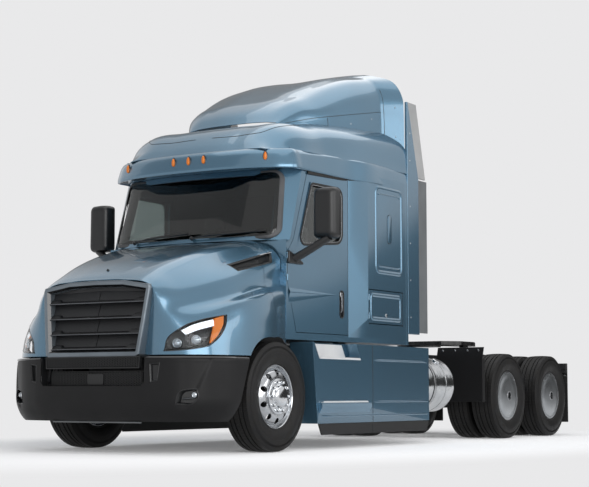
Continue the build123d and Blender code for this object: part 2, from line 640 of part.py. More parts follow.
def cab_solid(inset):
    """The whole cab and sleeper body, taken in by inset on every side but the top."""
    lower = [
        (at(-CAB_FRONT) - inset, DOOR_FRONT_W - inset), (at(-DOOR_REAR), DOOR_REAR_W - inset),
        (at(-FLARE_END), SLEEPER_W - inset), (at(-CAB_REAR) + inset, SLEEPER_W - inset),
    ]
    lower += [(x, -y) for x, y in reversed(lower)]
    sill = BELT + inset / 2
    tub = prism(lower, "z", CAB_FLOOR + inset, sill if inset else BELT)
    foot = cab_plan(sill, GLASS_FOOT, PILLAR_FOOT, inset)
    head = cab_plan(CAB_TOP, GLASS_HEAD, PILLAR_HEAD, inset)
    return tub + loft([foot, head], ruled=True)


def door_outline(gap):
    """Cab door in side view, taken in by gap."""
    low, high = CAB_FLOOR + 70 + gap, CAB_TOP - 55 - gap
    rear = at(-DOOR_REAR) + 8 + gap
    front = at(-CAB_FRONT) - 22 - gap
    return [
        (at(-CAB_FRONT - 170) - gap, low), (rear, low), (rear, high), (at(-PILLAR_HEAD) - 75 - gap, high),
        (at(-PILLAR_FOOT) - 55 - gap, BELT + 15), (front, BELT - 110), (front, BELT - 400),
    ]


def window_outline(grow):
    """Side window in side view."""
    return [
        (at(-CAB_FRONT - 190) + grow, BELT - 50 - grow), (at(-DOOR_REAR) + 105 - grow, BELT + 30 - grow),
        (at(-DOOR_REAR) + 105 - grow, CAB_TOP - 180 + grow),
        (at(-PILLAR_HEAD) - 115 + grow, CAB_TOP - 180 + grow),
    ]


def baggage_outline(gap):
    """Luggage door in the sleeper's side."""
    x = (at(-CAB_REAR) + 130 + gap, at(-FLARE_END) - 10 - gap)
    z = (CAB_FLOOR + 200 + gap, CAB_FLOOR + 550 - gap)
    return [(x[0], z[0]), (x[1], z[0]), (x[1], z[1]), (x[0], z[1])]


def screen_outline(gap):
    """Windscreen in front view."""
    foot, head = GLASS_HALF_WIDTH - 30 - gap, GLASS_HALF_WIDTH - 60 - gap
    low, high = BELT + 40 + gap, CAB_TOP - 125 - gap
    return [(foot, low), (head, high), (-head, high), (-foot, low)]


def hinge(x, y, z):
    """Hinge whose pin stands in a seam: fixed knuckles and pin, moving knuckle, and the room for both."""
    turn, pin, half, leaf = 9.0, 4.0, 30.0, 25.0
    room = Pos(x, y, z) * Cylinder(turn + 5, 2 * half + 6)
    moving = Pos(x, y, z) * Cylinder(turn, 20)
    moving += block((x - leaf, x), (y - 14, y - 4), (z - 10, z + 10))
    moving -= Pos(x, y, z) * Cylinder(pin + RUNNING_GAP, 30)
    fixed = Pos(x, y, z) * Cylinder(pin, 2 * half)
    for low, high in ((z - half, z - 11), (z + 11, z + half)):
        fixed += Pos(x, y, (low + high) / 2) * Cylinder(turn, high - low)
        fixed += block((x, x + leaf), (y - 14, y - 4), (low, high))
    return fixed, moving, room


def cab():
    """Cab frame, sleeper walls, doors and glass, all cut from one hollow body."""
    outside, inside = cab_solid(0), cab_solid(WALL)
    shell = outside - inside
    far = BODY_HALF_WIDTH + 200
    glass_skin = cab_solid(WALL / 2) - cab_solid(WALL / 2 + GLASS)
    front_only = block((at(-900), at(0)), (-far, far), (BELT - 10, CAB_TOP + 10))

    near = DOOR_FRONT_W - WALL - 15
    door = shell & prism(door_outline(PANEL_GAP / 2), "y", near, far)
    door -= prism(window_outline(0), "y", near, far)
    door_glass = glass_skin & prism(window_outline(-SEATED), "y", near, far)
    baggage = shell & prism(baggage_outline(HATCH_GAP / 2), "y", near, far)
    screen = glass_skin & front_only & prism(screen_outline(0.5), "x", at(-900), at(0))

    body = shell
    for side in (1, -1):
        span = (near - PANEL_GAP, far) if side > 0 else (-far, PANEL_GAP - near)
        body -= prism(door_outline(-PANEL_GAP / 2), "y", *span)
        body -= prism(baggage_outline(-HATCH_GAP / 2), "y", *span)
    body -= front_only & prism(screen_outline(0), "x", at(-900), at(0))
    for z in DOOR_HINGES:
        fixed, moving, room = hinge(at(-CAB_FRONT - 22), DOOR_FRONT_W + 2, z)
        door = door - room + moving
        body = body - both(room) + both(fixed)
    for z in HATCH_HINGES:
        fixed, moving, room = hinge(at(-FLARE_END) - 10, SLEEPER_W, z)
        baggage = baggage - room + moving
        body = body - both(room) + both(fixed)

    back_x = at(-CAB_REAR) + WALL
    split = at(-DOOR_REAR) + 2
    back_region = block((at(-CAB_REAR) - 10, back_x), (-far, far), (CAB_FLOOR - 10, CAB_TOP + 10))
    side_region = block((back_x, split), (-far, far), (CAB_FLOOR + WALL, CAB_TOP + 10))
    write("sleeper_back", body & back_region)
    write("sleeper_sides", body & side_region)
    write("cab_frame", body - back_region - side_region)
    write("windscreen", screen)
    hung = {"door": door, "door_glass": door_glass, "baggage_door": baggage, "mirror": door_mirror()}
    for name, shape in hung.items():
        for side, placed in zip(("left", "right"), both(shape)):
            write(f"{name}_{side}", placed)


def door_mirror():
    """Mirror head on an arm from a foot on the door's front corner."""
    x, y, z = at(MIRROR[0]), MIRROR[1], MIRROR[2]
    length, width, height = MIRROR_SIZE
    head = Pos(x, y, z) * Box(length, width, height)
    head = fillet(head.edges().filter_by(Axis.Z), 55)
    foot_x = at(-CAB_FRONT - 110)
    foot_y = DOOR_FRONT_W + (DOOR_REAR_W - DOOR_FRONT_W) * 150 / (DOOR_REAR - CAB_FRONT)
    foot = block((foot_x - 100, foot_x + 60), (foot_y, foot_y + 22), (BELT - 230, BELT - 130))
    arm = rod((foot_x - 20, foot_y + 6, BELT - 180), (x + 10, y - 20, z - height / 2 + 30), 26)
    return head + foot + arm - cab_solid(0)


# ---------------------------------------------------------------- roof
def visor_band(low, high, inset):
    """The roof cap's lower band, from the visor back to the rear wall."""
    y_mid = 600.0
    left = [
        (at(-CAP_FRONT[2]), VISOR_HALF - inset), (at(-DOOR_REAR), DOOR_REAR_W - inset),
        (at(-FLARE_END), SLEEPER_W - inset), (at(-CAB_REAR) + inset, SLEEPER_W - inset),
    ]
    right = [(x, -y) for x, y in reversed(left)]
    sides = Polyline(*[(x, y, low) for x, y in left + right])
    nose, quarter = at(-CAP_FRONT[0]) - inset, at(-CAP_FRONT[1]) - inset
    centre = ThreePointArc((quarter, -y_mid, low), (nose, 0, low), (quarter, y_mid, low))
    right_flank = Line((*right[-1], low), (quarter, -y_mid, low))
    left_flank = Line((quarter, y_mid, low), (*left[0], low))
    rim = Wire([*sides.edges(), right_flank, centre, left_flank])
    return extrude(make_face(rim), high - low, dir=(0, 0, 1))


def dome(inset):
    """Raised part of the roof cap."""
    faces = []
    for back, foot, (w1, h1), (w2, h2), top in DOME:
        end = inset if back == DOME[-1][0] else -inset
        x = at(-back) + end
        lower = BROW - (inset or 0)
        drop = min(inset, top * 0.9)
        half = [
            (foot - inset, lower), (w1 - inset, BROW + max(h1 - inset, 1)),
            (w2 - inset, BROW + max(h2 - inset, 2)),
            (w2 * 0.6 - inset, BROW + top - drop),
        ]
        ring = half + [(-y, z) for y, z in reversed(half)]
        faces.append(make_face(Polyline(*[(x, y, z) for y, z in ring], close=True)))
    return loft(faces, ruled=True)


def roof_cap():
    """Fibreglass roof with its visor, open below."""
    outer = visor_band(VISOR_BOTTOM, BROW, 0) + dome(0)
    behind_lip = block((at(-CAB_REAR) - 50, at(-CAP_FRONT[2])), (-2000, 2000), (VISOR_BOTTOM - 10, CAB_TOP))
    cavity = visor_band(CAB_TOP + SOFFIT, BROW, CAP_WALL) + dome(CAP_WALL)
    under_lip = visor_band(VISOR_BOTTOM - 10, CAB_TOP, CAP_WALL)
    open_floor = visor_band(CAB_TOP, CAB_TOP + SOFFIT, CAP_WALL)
    depth = (CAB_TOP - 1, CAB_TOP + SOFFIT + 1)
    open_floor &= block((at(-CAB_REAR), at(-PILLAR_HEAD - 60)), (-2000, 2000), depth)
    return outer - behind_lip - cavity - under_lip - open_floor


def fairing_solid(inset):
    """Roof air fairing, rising and widening to the rear."""
    faces = []
    for back, foot, side, shoulder, crown in FAIRING:
        front_inset = inset if back == FAIRING[0][0] else 0
        rear_reach = 5 if inset and back == FAIRING[-1][0] else 0
        x = at(-back) - front_inset - rear_reach
        half = [(foot - inset, BROW + FAIRING_FOOT - rear_reach)]
        half += [(y - inset, BROW + z - inset) for y, z in (side, shoulder, crown)]
        ring = half + [(-y, z) for y, z in reversed(half)]
        faces.append(make_face(Polyline(*[(x, y, z) for y, z in ring], close=True)))
    return loft(faces, ruled=True)


def roof():
    """Roof cap and the air fairing on it."""
    cap = roof_cap()
    write("roof_cap", cap)
    solid_cap = visor_band(VISOR_BOTTOM, BROW, 0) + dome(0)
    fairing = fairing_solid(0) - fairing_solid(FAIRING_SHELL) - solid_cap
    write("roof_fairing", max(fairing.solids(), key=lambda s: s.volume))


# ---------------------------------------------------------------- outside panels
def upper_extender():
    """Side view of the upper extender panel."""
    return [
        (at(-CAB_REAR), EXTENDER_SEAM), (at(-EXTENDER_REAR), EXTENDER_SEAM),
        (at(-CAB_REAR - 20), EXTENDER_TOP),
        (at(-CAB_REAR), EXTENDER_TOP),
    ]


def extenders():
    """Painted cab side extenders, each with a lower and an upper panel."""
    y = (SLEEPER_W - EXTENDER, SLEEPER_W)
    lower = block((at(-EXTENDER_REAR), at(-CAB_REAR)), y, (EXTENDER_BOTTOM, EXTENDER_SEAM))
    return both(lower + prism(upper_extender(), "y", *y))


def extender_edges():
    """Flexible trailing edges behind the extenders."""
    y = (SLEEPER_W - EXTENDER + 5, SLEEPER_W - 5)
    gap = 10.0
    lower = block((at(-EDGE_REAR), at(-EXTENDER_REAR)), y, (EXTENDER_BOTTOM + 20, EXTENDER_SEAM - gap))
    upper = prism([
        (at(-EXTENDER_REAR), EXTENDER_SEAM + gap), (at(-EDGE_REAR + 30), EXTENDER_SEAM + gap),
        (at(-EDGE_REAR + 240), EXTENDER_TOP), (at(-CAB_REAR - 20), EXTENDER_TOP),
        (at(-EXTENDER_REAR), EXTENDER_SEAM + gap + 1),
    ], "y", *y)
    upper -= prism(upper_extender(), "y", *y)
    return both(lower) + both(upper)


def fairing_front(z):
    """X of the chassis fairing's front edge, which leans back towards the ground."""
    share = (FAIRING_TOP - z) / (FAIRING_TOP - FAIRING_BOTTOM)
    return at(-560) - 90 * share


def chassis_fairings():
    """Hollow side skirts with a step pocket under each door."""
    outer_y = BODY_HALF_WIDTH
    inner_y = BODY_HALF_WIDTH - FAIRING_DEPTH
    side = [
        (fairing_front(FAIRING_TOP), FAIRING_TOP), (fairing_front(FAIRING_BOTTOM), FAIRING_BOTTOM),
        (at(-FAIRING_REAR), FAIRING_BOTTOM), (at(-FAIRING_REAR), FAIRING_TOP),
    ]
    body = prism(side, "y", inner_y, outer_y)
    wall = FAIRING_WALL
    hollow = [
        (side[0][0] - wall, FAIRING_TOP - wall), (side[1][0] - wall, FAIRING_BOTTOM - 5),
        (at(-FAIRING_REAR) - 5, FAIRING_BOTTOM - 5), (at(-FAIRING_REAR) - 5, FAIRING_TOP - wall),
    ]
    shell = body - prism(hollow, "y", inner_y - 5, outer_y - wall)
    pocket_y = outer_y - STEP_DEPTH
    pocket = [
        (at(-STEP_REAR), STEP_TOP), (at(-STEP_FRONT), STEP_TOP),
        (at(-STEP_FRONT + STEP_SLANT), FAIRING_TOP + 5), (at(-STEP_REAR + STEP_SLANT), FAIRING_TOP + 5),
    ]
    lining_side = [
        (at(-STEP_REAR) - wall, STEP_TOP - wall), (at(-STEP_FRONT) + wall, STEP_TOP - wall),
        (at(-STEP_FRONT + STEP_SLANT) + wall, FAIRING_TOP),
        (at(-STEP_REAR + STEP_SLANT) - wall, FAIRING_TOP),
    ]
    shell += prism(lining_side, "y", pocket_y - wall, outer_y) & body
    shell -= prism(pocket, "y", pocket_y, outer_y + 5)
    bolster = [
        (outer_y - 10, LOWER_STEP), (outer_y + LOWER_STEP_OUT, LOWER_STEP),
        (outer_y + LOWER_STEP_OUT, LOWER_STEP - 45), (outer_y - 10, LOWER_STEP - 120),
    ]
    shell += prism(bolster, "x", at(-LOWER_STEP_REAR), at(-LOWER_STEP_FRONT))
    half = BRACKET_WIDTH / 2
    for ahead in FAIRING_BRACKETS:
        shell -= block((at(ahead) - half, at(ahead) + half), (0, bracket_reach(ahead)), bracket_height())
    return both(shell)


def skirts():
    """Rubber air dams under the fairings."""
    y = (BODY_HALF_WIDTH - FAIRING_WALL, BODY_HALF_WIDTH - 5)
    front, rear = fairing_front(FAIRING_BOTTOM) - 30, at(-FAIRING_REAR)
    flap = [
        (front, FAIRING_BOTTOM), (front - 60, SKIRT_BOTTOM),
        (rear + 40, SKIRT_BOTTOM), (rear, FAIRING_BOTTOM),
    ]
    return both(prism(flap, "y", *y))


def quarter_fenders():
    """Half fenders ahead of the drive tyres, on round brackets."""
    x = DRIVE_X[0] + TYRE_RADIUS + 200
    y = (DUAL_MID_Y - DUAL_HALF_SPACING - TYRE_WIDTH / 2, BODY_HALF_WIDTH - 10)
    profile = [(x, 440), (x + 8, 440), (x + 8, 940), (x - 40, 1080), (x - 48, 1080), (x, 940)]
    plate = prism(profile, "y", *y)
    plate += block((x - 60, x + 8), (y[1] - 6, y[1]), (440, 940))
    plate += rod((x - 22, FRAME_HALF_WIDTH, 900), (x - 22, y[1] - 30, 900), 22)
    return both(plate)


def mud_flaps():
    """Rear cross tube with a flap and lamp box each side."""
    x = DRIVE_X[1] - REAR_OVERHANG
    frame_end = DRIVE_X[1] - 480
    y = (DUAL_MID_Y - DUAL_HALF_SPACING - TYRE_WIDTH / 2, BODY_HALF_WIDTH - 5)
    flap = block((x, x + 12), y, (165, 800))
    tube = block((x, x + 50), (FRAME_HALF_WIDTH - 60, y[1]), (800, 850))
    tube += block((x + 50, frame_end), (FRAME_HALF_WIDTH - 60, FRAME_HALF_WIDTH), (800, 850))
    lamp = block((x, x + 60), (y[1] - 190, y[1]), (850, 930))
    return both(flap + tube + lamp)


def bumper_plan(inset):
    """Half outline of the bumper from the middle to its rear end, taken in by inset."""
    return [
        (at(FRONT_OVERHANG) - inset, 0), (at(1262) - inset, 380), (at(1232) - inset, 680),
        (at(1150) - inset, 930 - inset * 0.4), (at(1020) - inset * 0.7, 1090 - inset * 0.8),
        (at(850), 1180 - inset), (at(450), 1210 - inset),
    ]


def bumper():
    """Wrap-round bumper with its lower grille opening, inner mesh plate and frame horns."""
    def outline(inset, back):
        half = bumper_plan(inset)
        half[-1] = (at(back), half[-1][1])
        return half + [(x, -y) for x, y in reversed(half[1:])]

    def level(inset, back, z):
        return make_face(Polyline(*[(x, y, z) for x, y in outline(inset, back)], close=True))

    solid = prism(outline(0, 450), "z", BUMPER_CHIN, BUMPER_TOP)
    solid += loft([level(BUMPER_TUCK, 450, BUMPER_BOTTOM), level(0, 450, BUMPER_CHIN)], ruled=True)
    solid -= prism(outline(BUMPER_WALL, 440), "z", BUMPER_CHIN, BUMPER_TOP + 5)
    hollow_foot = level(BUMPER_TUCK + BUMPER_WALL, 440, BUMPER_BOTTOM)
    solid -= loft([hollow_foot, level(BUMPER_WALL, 440, BUMPER_CHIN)], ruled=True)
    solid -= prism(outline(BUMPER_TUCK + BUMPER_WALL, 440), "z", BUMPER_BOTTOM - 5, BUMPER_BOTTOM + 1)
    rear_cut = [
        (at(400), BUMPER_TOP + 5), (at(492), BUMPER_TOP + 5), (at(735), BUMPER_BOTTOM - 60),
        (at(400), BUMPER_BOTTOM - 60),
    ]
    solid -= prism(rear_cut, "y", -2000, 2000)
    solid -= block((at(1180), at(1300)), (-600, 600), (590, BUMPER_TOP + 5))
    plate = block((at(1160), at(1178)), (-540, 540), (BUMPER_CHIN, 735))
    fill = prism(outline(BUMPER_WALL - 1, 440), "z", BUMPER_CHIN, BUMPER_TOP)
    web = block((at(1100), at(1260)), (-1010, 1010), (BUMPER_CHIN, BUMPER_CHIN + 25)) & fill
    joined = solid + plate + web
    pivot_x, pivot_z = at(HOOD_PIVOT[0]), HOOD_PIVOT[1]
    for side in (1, -1):
        horn = (side * (FRAME_HALF_WIDTH - FLANGE_WIDTH), side * FRAME_HALF_WIDTH)
        joined += block((at(1000), at(1161)), horn, (620, 780))
        ear = (side * (FRAME_HALF_WIDTH - 1), side * (HOOD_ARM[0] - 4))
        joined += block((pivot_x - 40, pivot_x + 10), ear, (pivot_z - 30, pivot_z + 30))
        pin = (side * (HOOD_ARM[0] - 5), side * (HOOD_ARM[1] + 3))
        joined += rod((pivot_x, pin[0], pivot_z), (pivot_x, pin[1], pivot_z), HOOD_PIN)
    return joined


def hood_solid(inset):
    """Hood and cowl together, taken in by inset on every side but the lower edge and the rear."""
    faces = []
    for ahead, crown, outline in HOOD:
        x = at(ahead) - (inset if ahead == HOOD_FRONT else 0)
        half = [(outline[0][0] * 0.5, crown - inset)] + [(y - inset, z - inset) for y, z in outline[:-1]]
        half.append((outline[-1][0] - inset, outline[-1][1] - (5 if inset else 0)))
        ring = half + [(-y, z) for y, z in reversed(half)]
        faces.append(make_face(Polyline(*[(x, y, z) for y, z in ring], close=True)))
    return loft(faces, ruled=True)


def arch_radius():
    """Radius that a tyre's corner sweeps about its kingpin, with room to spare."""
    corner = STEER_WHEEL_Y + TYRE_WIDTH / 2 - KINGPIN_Y
    return math.hypot(TYRE_RADIUS, corner) + 2 * MOVING_GAP


def wheel_arch():
    """The room cut for both steered wheels."""
    round_part = rod((STEER_X, -2000, TYRE_RADIUS), (STEER_X, 2000, TYRE_RADIUS), arch_radius())
    return round_part & block((at(-900), at(900)), (-2000, 2000), (0, ARCH_FLAT))


def grille_outline(gap):
    """Front view of the grille surround, taken in by gap."""
    return [
        (-GRILLE_FOOT_W + gap, GRILLE_FOOT + gap), (GRILLE_FOOT_W - gap, GRILLE_FOOT + gap),
        (GRILLE_HEAD_W - gap, GRILLE_HEAD - gap), (GRILLE_HEAD_W * 0.5, GRILLE_CROWN - gap),
        (-GRILLE_HEAD_W * 0.5, GRILLE_CROWN - gap), (-GRILLE_HEAD_W + gap, GRILLE_HEAD - gap),
    ]


def grille():
    """Surround, shutter panel behind and four bars."""
    back, front_foot, front_head = at(HOOD_FRONT - 70), at(1255), at(1195)
    low, high = GRILLE_FOOT - 20, GRILLE_CROWN + 20
    lean = prism([(back, low), (front_foot, low), (front_head, high), (back, high)], "y", -700, 700)
    solid = prism(grille_outline(SEATED), "x", at(1000), at(1300)) & lean
    frame = 62.0
    opening = prism(grille_outline(frame), "x", back + 20, at(1300))
    ring = solid - opening
    rise = (GRILLE_CROWN - GRILLE_FOOT - 2 * frame) / 4
    for i in range(1, 5):
        z = GRILLE_FOOT + frame + rise * (i - 1) + (8 if i == 1 else 0)
        bar = block((back + 15, at(1300)), (-620, 620), (z - GRILLE_BAR / 2, z + GRILLE_BAR / 2))
        ring += bar & solid
    skirt_half = HOOD_ARM[0] - 12
    skirt = block((at(1225), at(1240)), (-skirt_half, skirt_half), (GRILLE_SKIRT, GRILLE_FOOT + 30))
    return ring + skirt


def lamp_region(gap):
    """Side and front extent of the left headlamp as one solid, taken in by gap."""
    side = [
        (at(1180) - gap, 885 + gap), (at(960), 935 + gap), (at(760) + gap, 1150),
        (at(745) + gap, 1245 - gap),
        (at(900), 1225 - gap), (at(1100), 1060 - gap),
    ]
    return prism(side, "y", 700 + gap, 1400)


def hood_arm():
    """Arm from the left hinge pin up to the back of the hood's front wall."""
    x, z = at(HOOD_PIVOT[0]), HOOD_PIVOT[1]
    wall = at(HOOD_FRONT) - HOOD_WALL
    arm = prism([
        (x - 20, z), (x + 20, z), (wall + 5, HOOD_BOTTOM + 20), (wall + 5, HOOD_BOTTOM + 90),
        (wall - 35, HOOD_BOTTOM + 90), (wall - 35, HOOD_BOTTOM),
    ], "y", *HOOD_ARM)
    arm += rod((x, HOOD_ARM[0], z), (x, HOOD_ARM[1], z), 24)
    return arm - rod((x, 0, z), (x, 1000, z), HOOD_PIN + RUNNING_GAP)


def front_end():
    """Hood with grille and lamps, the cowl behind it and the bumper."""
    outer, inner = hood_solid(0), hood_solid(HOOD_WALL)
    shell = outer - inner - wheel_arch()
    behind = block((at(-900), at(COWL_SEAM)), (-2000, 2000), (800, 2200))
    ahead = block((at(COWL_SEAM) + PANEL_GAP, at(1400)), (-2000, 2000), (800, 2200))
    lamp = (outer - hood_solid(HOOD_WALL + 20)) & lamp_region(SEATED)
    lamp = max(lamp.solids(), key=lambda s: s.volume)
    hood = shell & ahead
    hood -= lamp_region(0)
    hood -= mirror(lamp_region(0), about=Plane.XZ)
    hood -= prism(grille_outline(0), "x", at(1000), at(1300))
    hood = max(hood.solids(), key=lambda s: s.volume)
    for arm in both(hood_arm()):
        hood += arm
    write("hood", hood)
    write("headlamps", *both(lamp))
    write("grille", grille())
    cowl = (shell & behind) - cab_solid(0)
    cowl &= block((at(-CAB_FRONT), at(100)), (-2000, 2000), (0, 3000))
    write("cowl", max(cowl.solids(), key=lambda s: s.volume))
    write("bumper", bumper())


# ---------------------------------------------------------------- inside
def interior():
    """Seats, dashboard, steering wheel and bunk."""
    seats = []
    for y in (SEAT_Y, -SEAT_Y):
        x = at(SEAT_X)
        base = block((x - 200, x + 200), (y - 180, y + 180), (FLOOR_TOP, FLOOR_TOP + 330))
        cushion = block((x - 260, x + 260), (y - 260, y + 260), (FLOOR_TOP + 330, FLOOR_TOP + 470))
        foot, shoulder, crown = FLOOR_TOP + 470, FLOOR_TOP + 1150, FLOOR_TOP + 1330
        back = [(x - 200, foot), (x - 70, foot), (x - 190, shoulder), (x - 290, shoulder)]
        head = [(x - 205, shoulder), (x - 285, shoulder), (x - 315, crown), (x - 235, crown)]
        upright = prism(back, "y", y - 250, y + 250) + prism(head, "y", y - 140, y + 140)
        seats.append(base + cushion + upright)
    write("seats", *seats)
    inner_half = DOOR_FRONT_W - WALL - 35
    wall_x = at(-CAB_FRONT) - WALL
    dash = prism([
        (wall_x, FLOOR_TOP + 330), (wall_x, BELT - 40), (wall_x - 180, BELT - 60),
        (wall_x - 290, BELT - 180),
        (wall_x - 260, BELT - 330), (wall_x - 120, FLOOR_TOP + 330),
    ], "y", -inner_half, inner_half)
    write("dashboard", dash)
    hub = Vector(wall_x - 390, SEAT_Y, BELT - 120)
    column_end = Vector(wall_x - 230, SEAT_Y, BELT - 250)
    direction = (hub - column_end).normalized()
    plane = Plane(origin=hub, z_dir=direction)
    ring = plane * Torus(215, 17)
    lower_spoke = Box(34, 210, 14, align=(Align.CENTER, Align.MAX, Align.CENTER))
    spokes = plane * (Box(420, 34, 14) + lower_spoke + Cylinder(60, 34))
    column = rod(tuple(column_end), tuple(hub), 28)
    write("steering_wheel", (ring + spokes + column) - dash)
    back = at(-CAB_REAR) + WALL
    front, half = back + BUNK_DEPTH, SLEEPER_W - WALL
    bunk = block((back, front), (-half, half), (BUNK, BUNK + 190))
    bunk += block((front - 30, front), (20 - half, half - 20), (FLOOR_TOP, BUNK))
    write("bunk", bunk)


def deck():
    """Tread plate over the rails behind the cab."""
    rear = DRIVE_X[0] + TYRE_RADIUS + 480
    plate = block((rear, at(-CAB_REAR - 130)), (-560, 560), (FRAME_TOP, FRAME_TOP + 8))
    write("deck_plate", plate)


def arch_liners():
    """Splash shields over the steered wheels, each on a post from its rail."""
    inner, outer_front, outer_rear = 600.0, 1095.0, 1030.0
    ring = rod((STEER_X, inner, TYRE_RADIUS), (STEER_X, outer_front, TYRE_RADIUS), LINER_RADIUS + LINER)
    ring -= rod((STEER_X, inner - 1, TYRE_RADIUS), (STEER_X, outer_front + 1, TYRE_RADIUS), LINER_RADIUS)
    ring &= block((at(-520), at(500)), (0, 2000), (880, 1400))
    ring -= block((at(-530), at(0)), (outer_rear, 2000), (800, 1400))
    crown = TYRE_RADIUS + LINER_RADIUS
    post_y = FRAME_HALF_WIDTH - FLANGE_WIDTH
    ring += block((at(-30), at(30)), (post_y, FRAME_HALF_WIDTH), (FRAME_TOP, crown + 1))
    ring += block((at(-30), at(30)), (post_y, inner + 10), (crown + 1, crown + LINER - 1))
    return both(ring)


def outside():
    """Panels fixed to the cab and chassis."""
    write("arch_liners", *arch_liners())
    write("side_extenders", *extenders())
    write("extender_edges", *extender_edges())
    write("chassis_fairings", *chassis_fairings())
    write("fairing_skirts", *skirts())
    write("quarter_fenders", *quarter_fenders())
    write("mud_flaps", *mud_flaps())
    deck()


def main():
    """Write every node."""
    os.makedirs("parts", exist_ok=True)
    wheels()
    running_gear()
    fifth_wheel()
    cab()
    roof()
    front_end()
    outside()
    interior()


main()
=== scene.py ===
"""Semi truck tractor unit: the looks of every piece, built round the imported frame.

Metres. +X is forward, +Y is the driver's left, +Z is up. Lengthwise places are given ahead of the steer axle.
"""

import json
import logging
import math
from contextlib import contextmanager
from dataclasses import dataclass, field
from enum import Enum
from typing import Callable, Iterable, Iterator, Sequence

import bmesh
import bpy
from mathutils import Matrix, Vector
from mathutils.bvhtree import BVHTree

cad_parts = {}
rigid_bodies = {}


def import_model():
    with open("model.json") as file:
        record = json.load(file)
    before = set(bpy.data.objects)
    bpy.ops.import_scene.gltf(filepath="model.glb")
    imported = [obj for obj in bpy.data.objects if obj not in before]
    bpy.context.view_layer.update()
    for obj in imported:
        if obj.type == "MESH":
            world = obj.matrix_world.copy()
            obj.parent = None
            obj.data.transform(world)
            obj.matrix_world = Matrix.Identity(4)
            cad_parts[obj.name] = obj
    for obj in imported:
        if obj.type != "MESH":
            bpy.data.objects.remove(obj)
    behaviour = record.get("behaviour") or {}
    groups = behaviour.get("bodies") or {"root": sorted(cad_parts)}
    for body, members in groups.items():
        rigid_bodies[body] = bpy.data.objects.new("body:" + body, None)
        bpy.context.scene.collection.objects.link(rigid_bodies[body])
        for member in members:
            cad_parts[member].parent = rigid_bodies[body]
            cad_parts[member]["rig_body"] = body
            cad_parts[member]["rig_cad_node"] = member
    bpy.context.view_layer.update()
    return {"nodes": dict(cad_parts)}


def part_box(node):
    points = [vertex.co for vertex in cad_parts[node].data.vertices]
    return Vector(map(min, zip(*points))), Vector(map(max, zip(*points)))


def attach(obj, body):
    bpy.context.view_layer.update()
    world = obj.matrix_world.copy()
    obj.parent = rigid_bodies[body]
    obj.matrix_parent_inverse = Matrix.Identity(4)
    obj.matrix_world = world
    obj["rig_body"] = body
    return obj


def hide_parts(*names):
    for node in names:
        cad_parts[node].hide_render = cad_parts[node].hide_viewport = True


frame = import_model()
LOG = logging.getLogger("truck")
Point = Sequence[float]
STEER = 2.885                  # steer axle ahead of the origin
DRIVES = {"forward": -2.235, "rear": -3.555}
AXLE_Z = 0.509
# Head of a small screw: radii, and heights over the surface it stands on.
SCREW = ((.0001, -.002), (.0001, .0035), (.006, .003), (.0085, .0005), (.0085, -.002))
SIDES = {"left": 1, "right": -1}
WAYS = (1, -1)                 # the left side and its mirror image
WELD = 2e-5                    # packed triangles' corners this near are one
FLAT = math.radians(0.6)       # packed faces that meet at less are one flat face
ROUND_OVER = math.radians(38)  # edges sharper than this get their radius


def at(ahead: float) -> float:
    """X of a place given ahead of the steer axle."""
    return STEER + ahead


def linked(name: str, data: bpy.types.ID) -> bpy.types.Object:
    """A new object with this data, linked to the scene."""
    made = bpy.data.objects.new(name, data)
    bpy.context.scene.collection.objects.link(made)
    return made


def linear(code: str, alpha: float = 1.0) -> tuple[float, float, float, float]:
    """Turns an sRGB hex colour to linear light.

    Args:
        code: colour as "#rrggbb".
        alpha: opacity.
    Returns:
        Linear red, green, blue and alpha.
    """
    parts = [int(code[i:i + 2], 16) / 255 for i in (1, 3, 5)]
    lit = [c / 12.92 if c <= 0.04045 else ((c + 0.055) / 1.055) ** 2.4 for c in parts]
    return (*lit, alpha)


def add_node(tree: bpy.types.NodeTree, kind: str, inputs: dict | None = None, **settings) -> bpy.types.Node:
    """Adds a node with its settings and links.

    Args:
        tree: the tree it goes in.
        kind: Blender's name of the node.
        inputs: value or output socket for each input, by name or number.
        settings: attributes of the node.
    Returns:
        The node.
    """
    node = tree.nodes.new(kind)
    for key, value in settings.items():
        setattr(node, key, value)
    for key, value in (inputs or {}).items():
        if isinstance(value, bpy.types.NodeSocket):
            tree.links.new(value, node.inputs[key])
        else:
            node.inputs[key].default_value = value
    return node


def through(points: Sequence[Point], steps: int, corners: Iterable[int] = ()) -> list[Vector]:
    """Smooth line through points, with its tangents weighed by the runs on both sides.

    Args:
        points: the points it passes.
        steps: pieces in each run.
        corners: numbers of the points where it turns sharply.
    Returns:
        The points of the line.
    """
    pts = [Vector(p) for p in points]
    last = len(pts) - 1
    sharp = {0, last, *corners}

    def slope(i: int, run: Vector) -> Vector:
        """The tangent at a point, as long as the run it belongs to."""
        if i in sharp:
            return run
        back, front = pts[i] - pts[i - 1], pts[i + 1] - pts[i]
        a, b = max(back.length, 1e-6), max(front.length, 1e-6)
        return (back / a * b + front / b * a) / (a + b) * run.length

    line = []
    for i in range(last):
        run = pts[i + 1] - pts[i]
        start, end = slope(i, run), slope(i + 1, run)
        for k in range(steps):
            t = k / steps
            line.append(pts[i] * (2 * t**3 - 3 * t**2 + 1) + start * (t**3 - 2 * t**2 + t)
                        + pts[i + 1] * (3 * t**2 - 2 * t**3) + end * (t**3 - t**2))
    return [*line, pts[-1]]


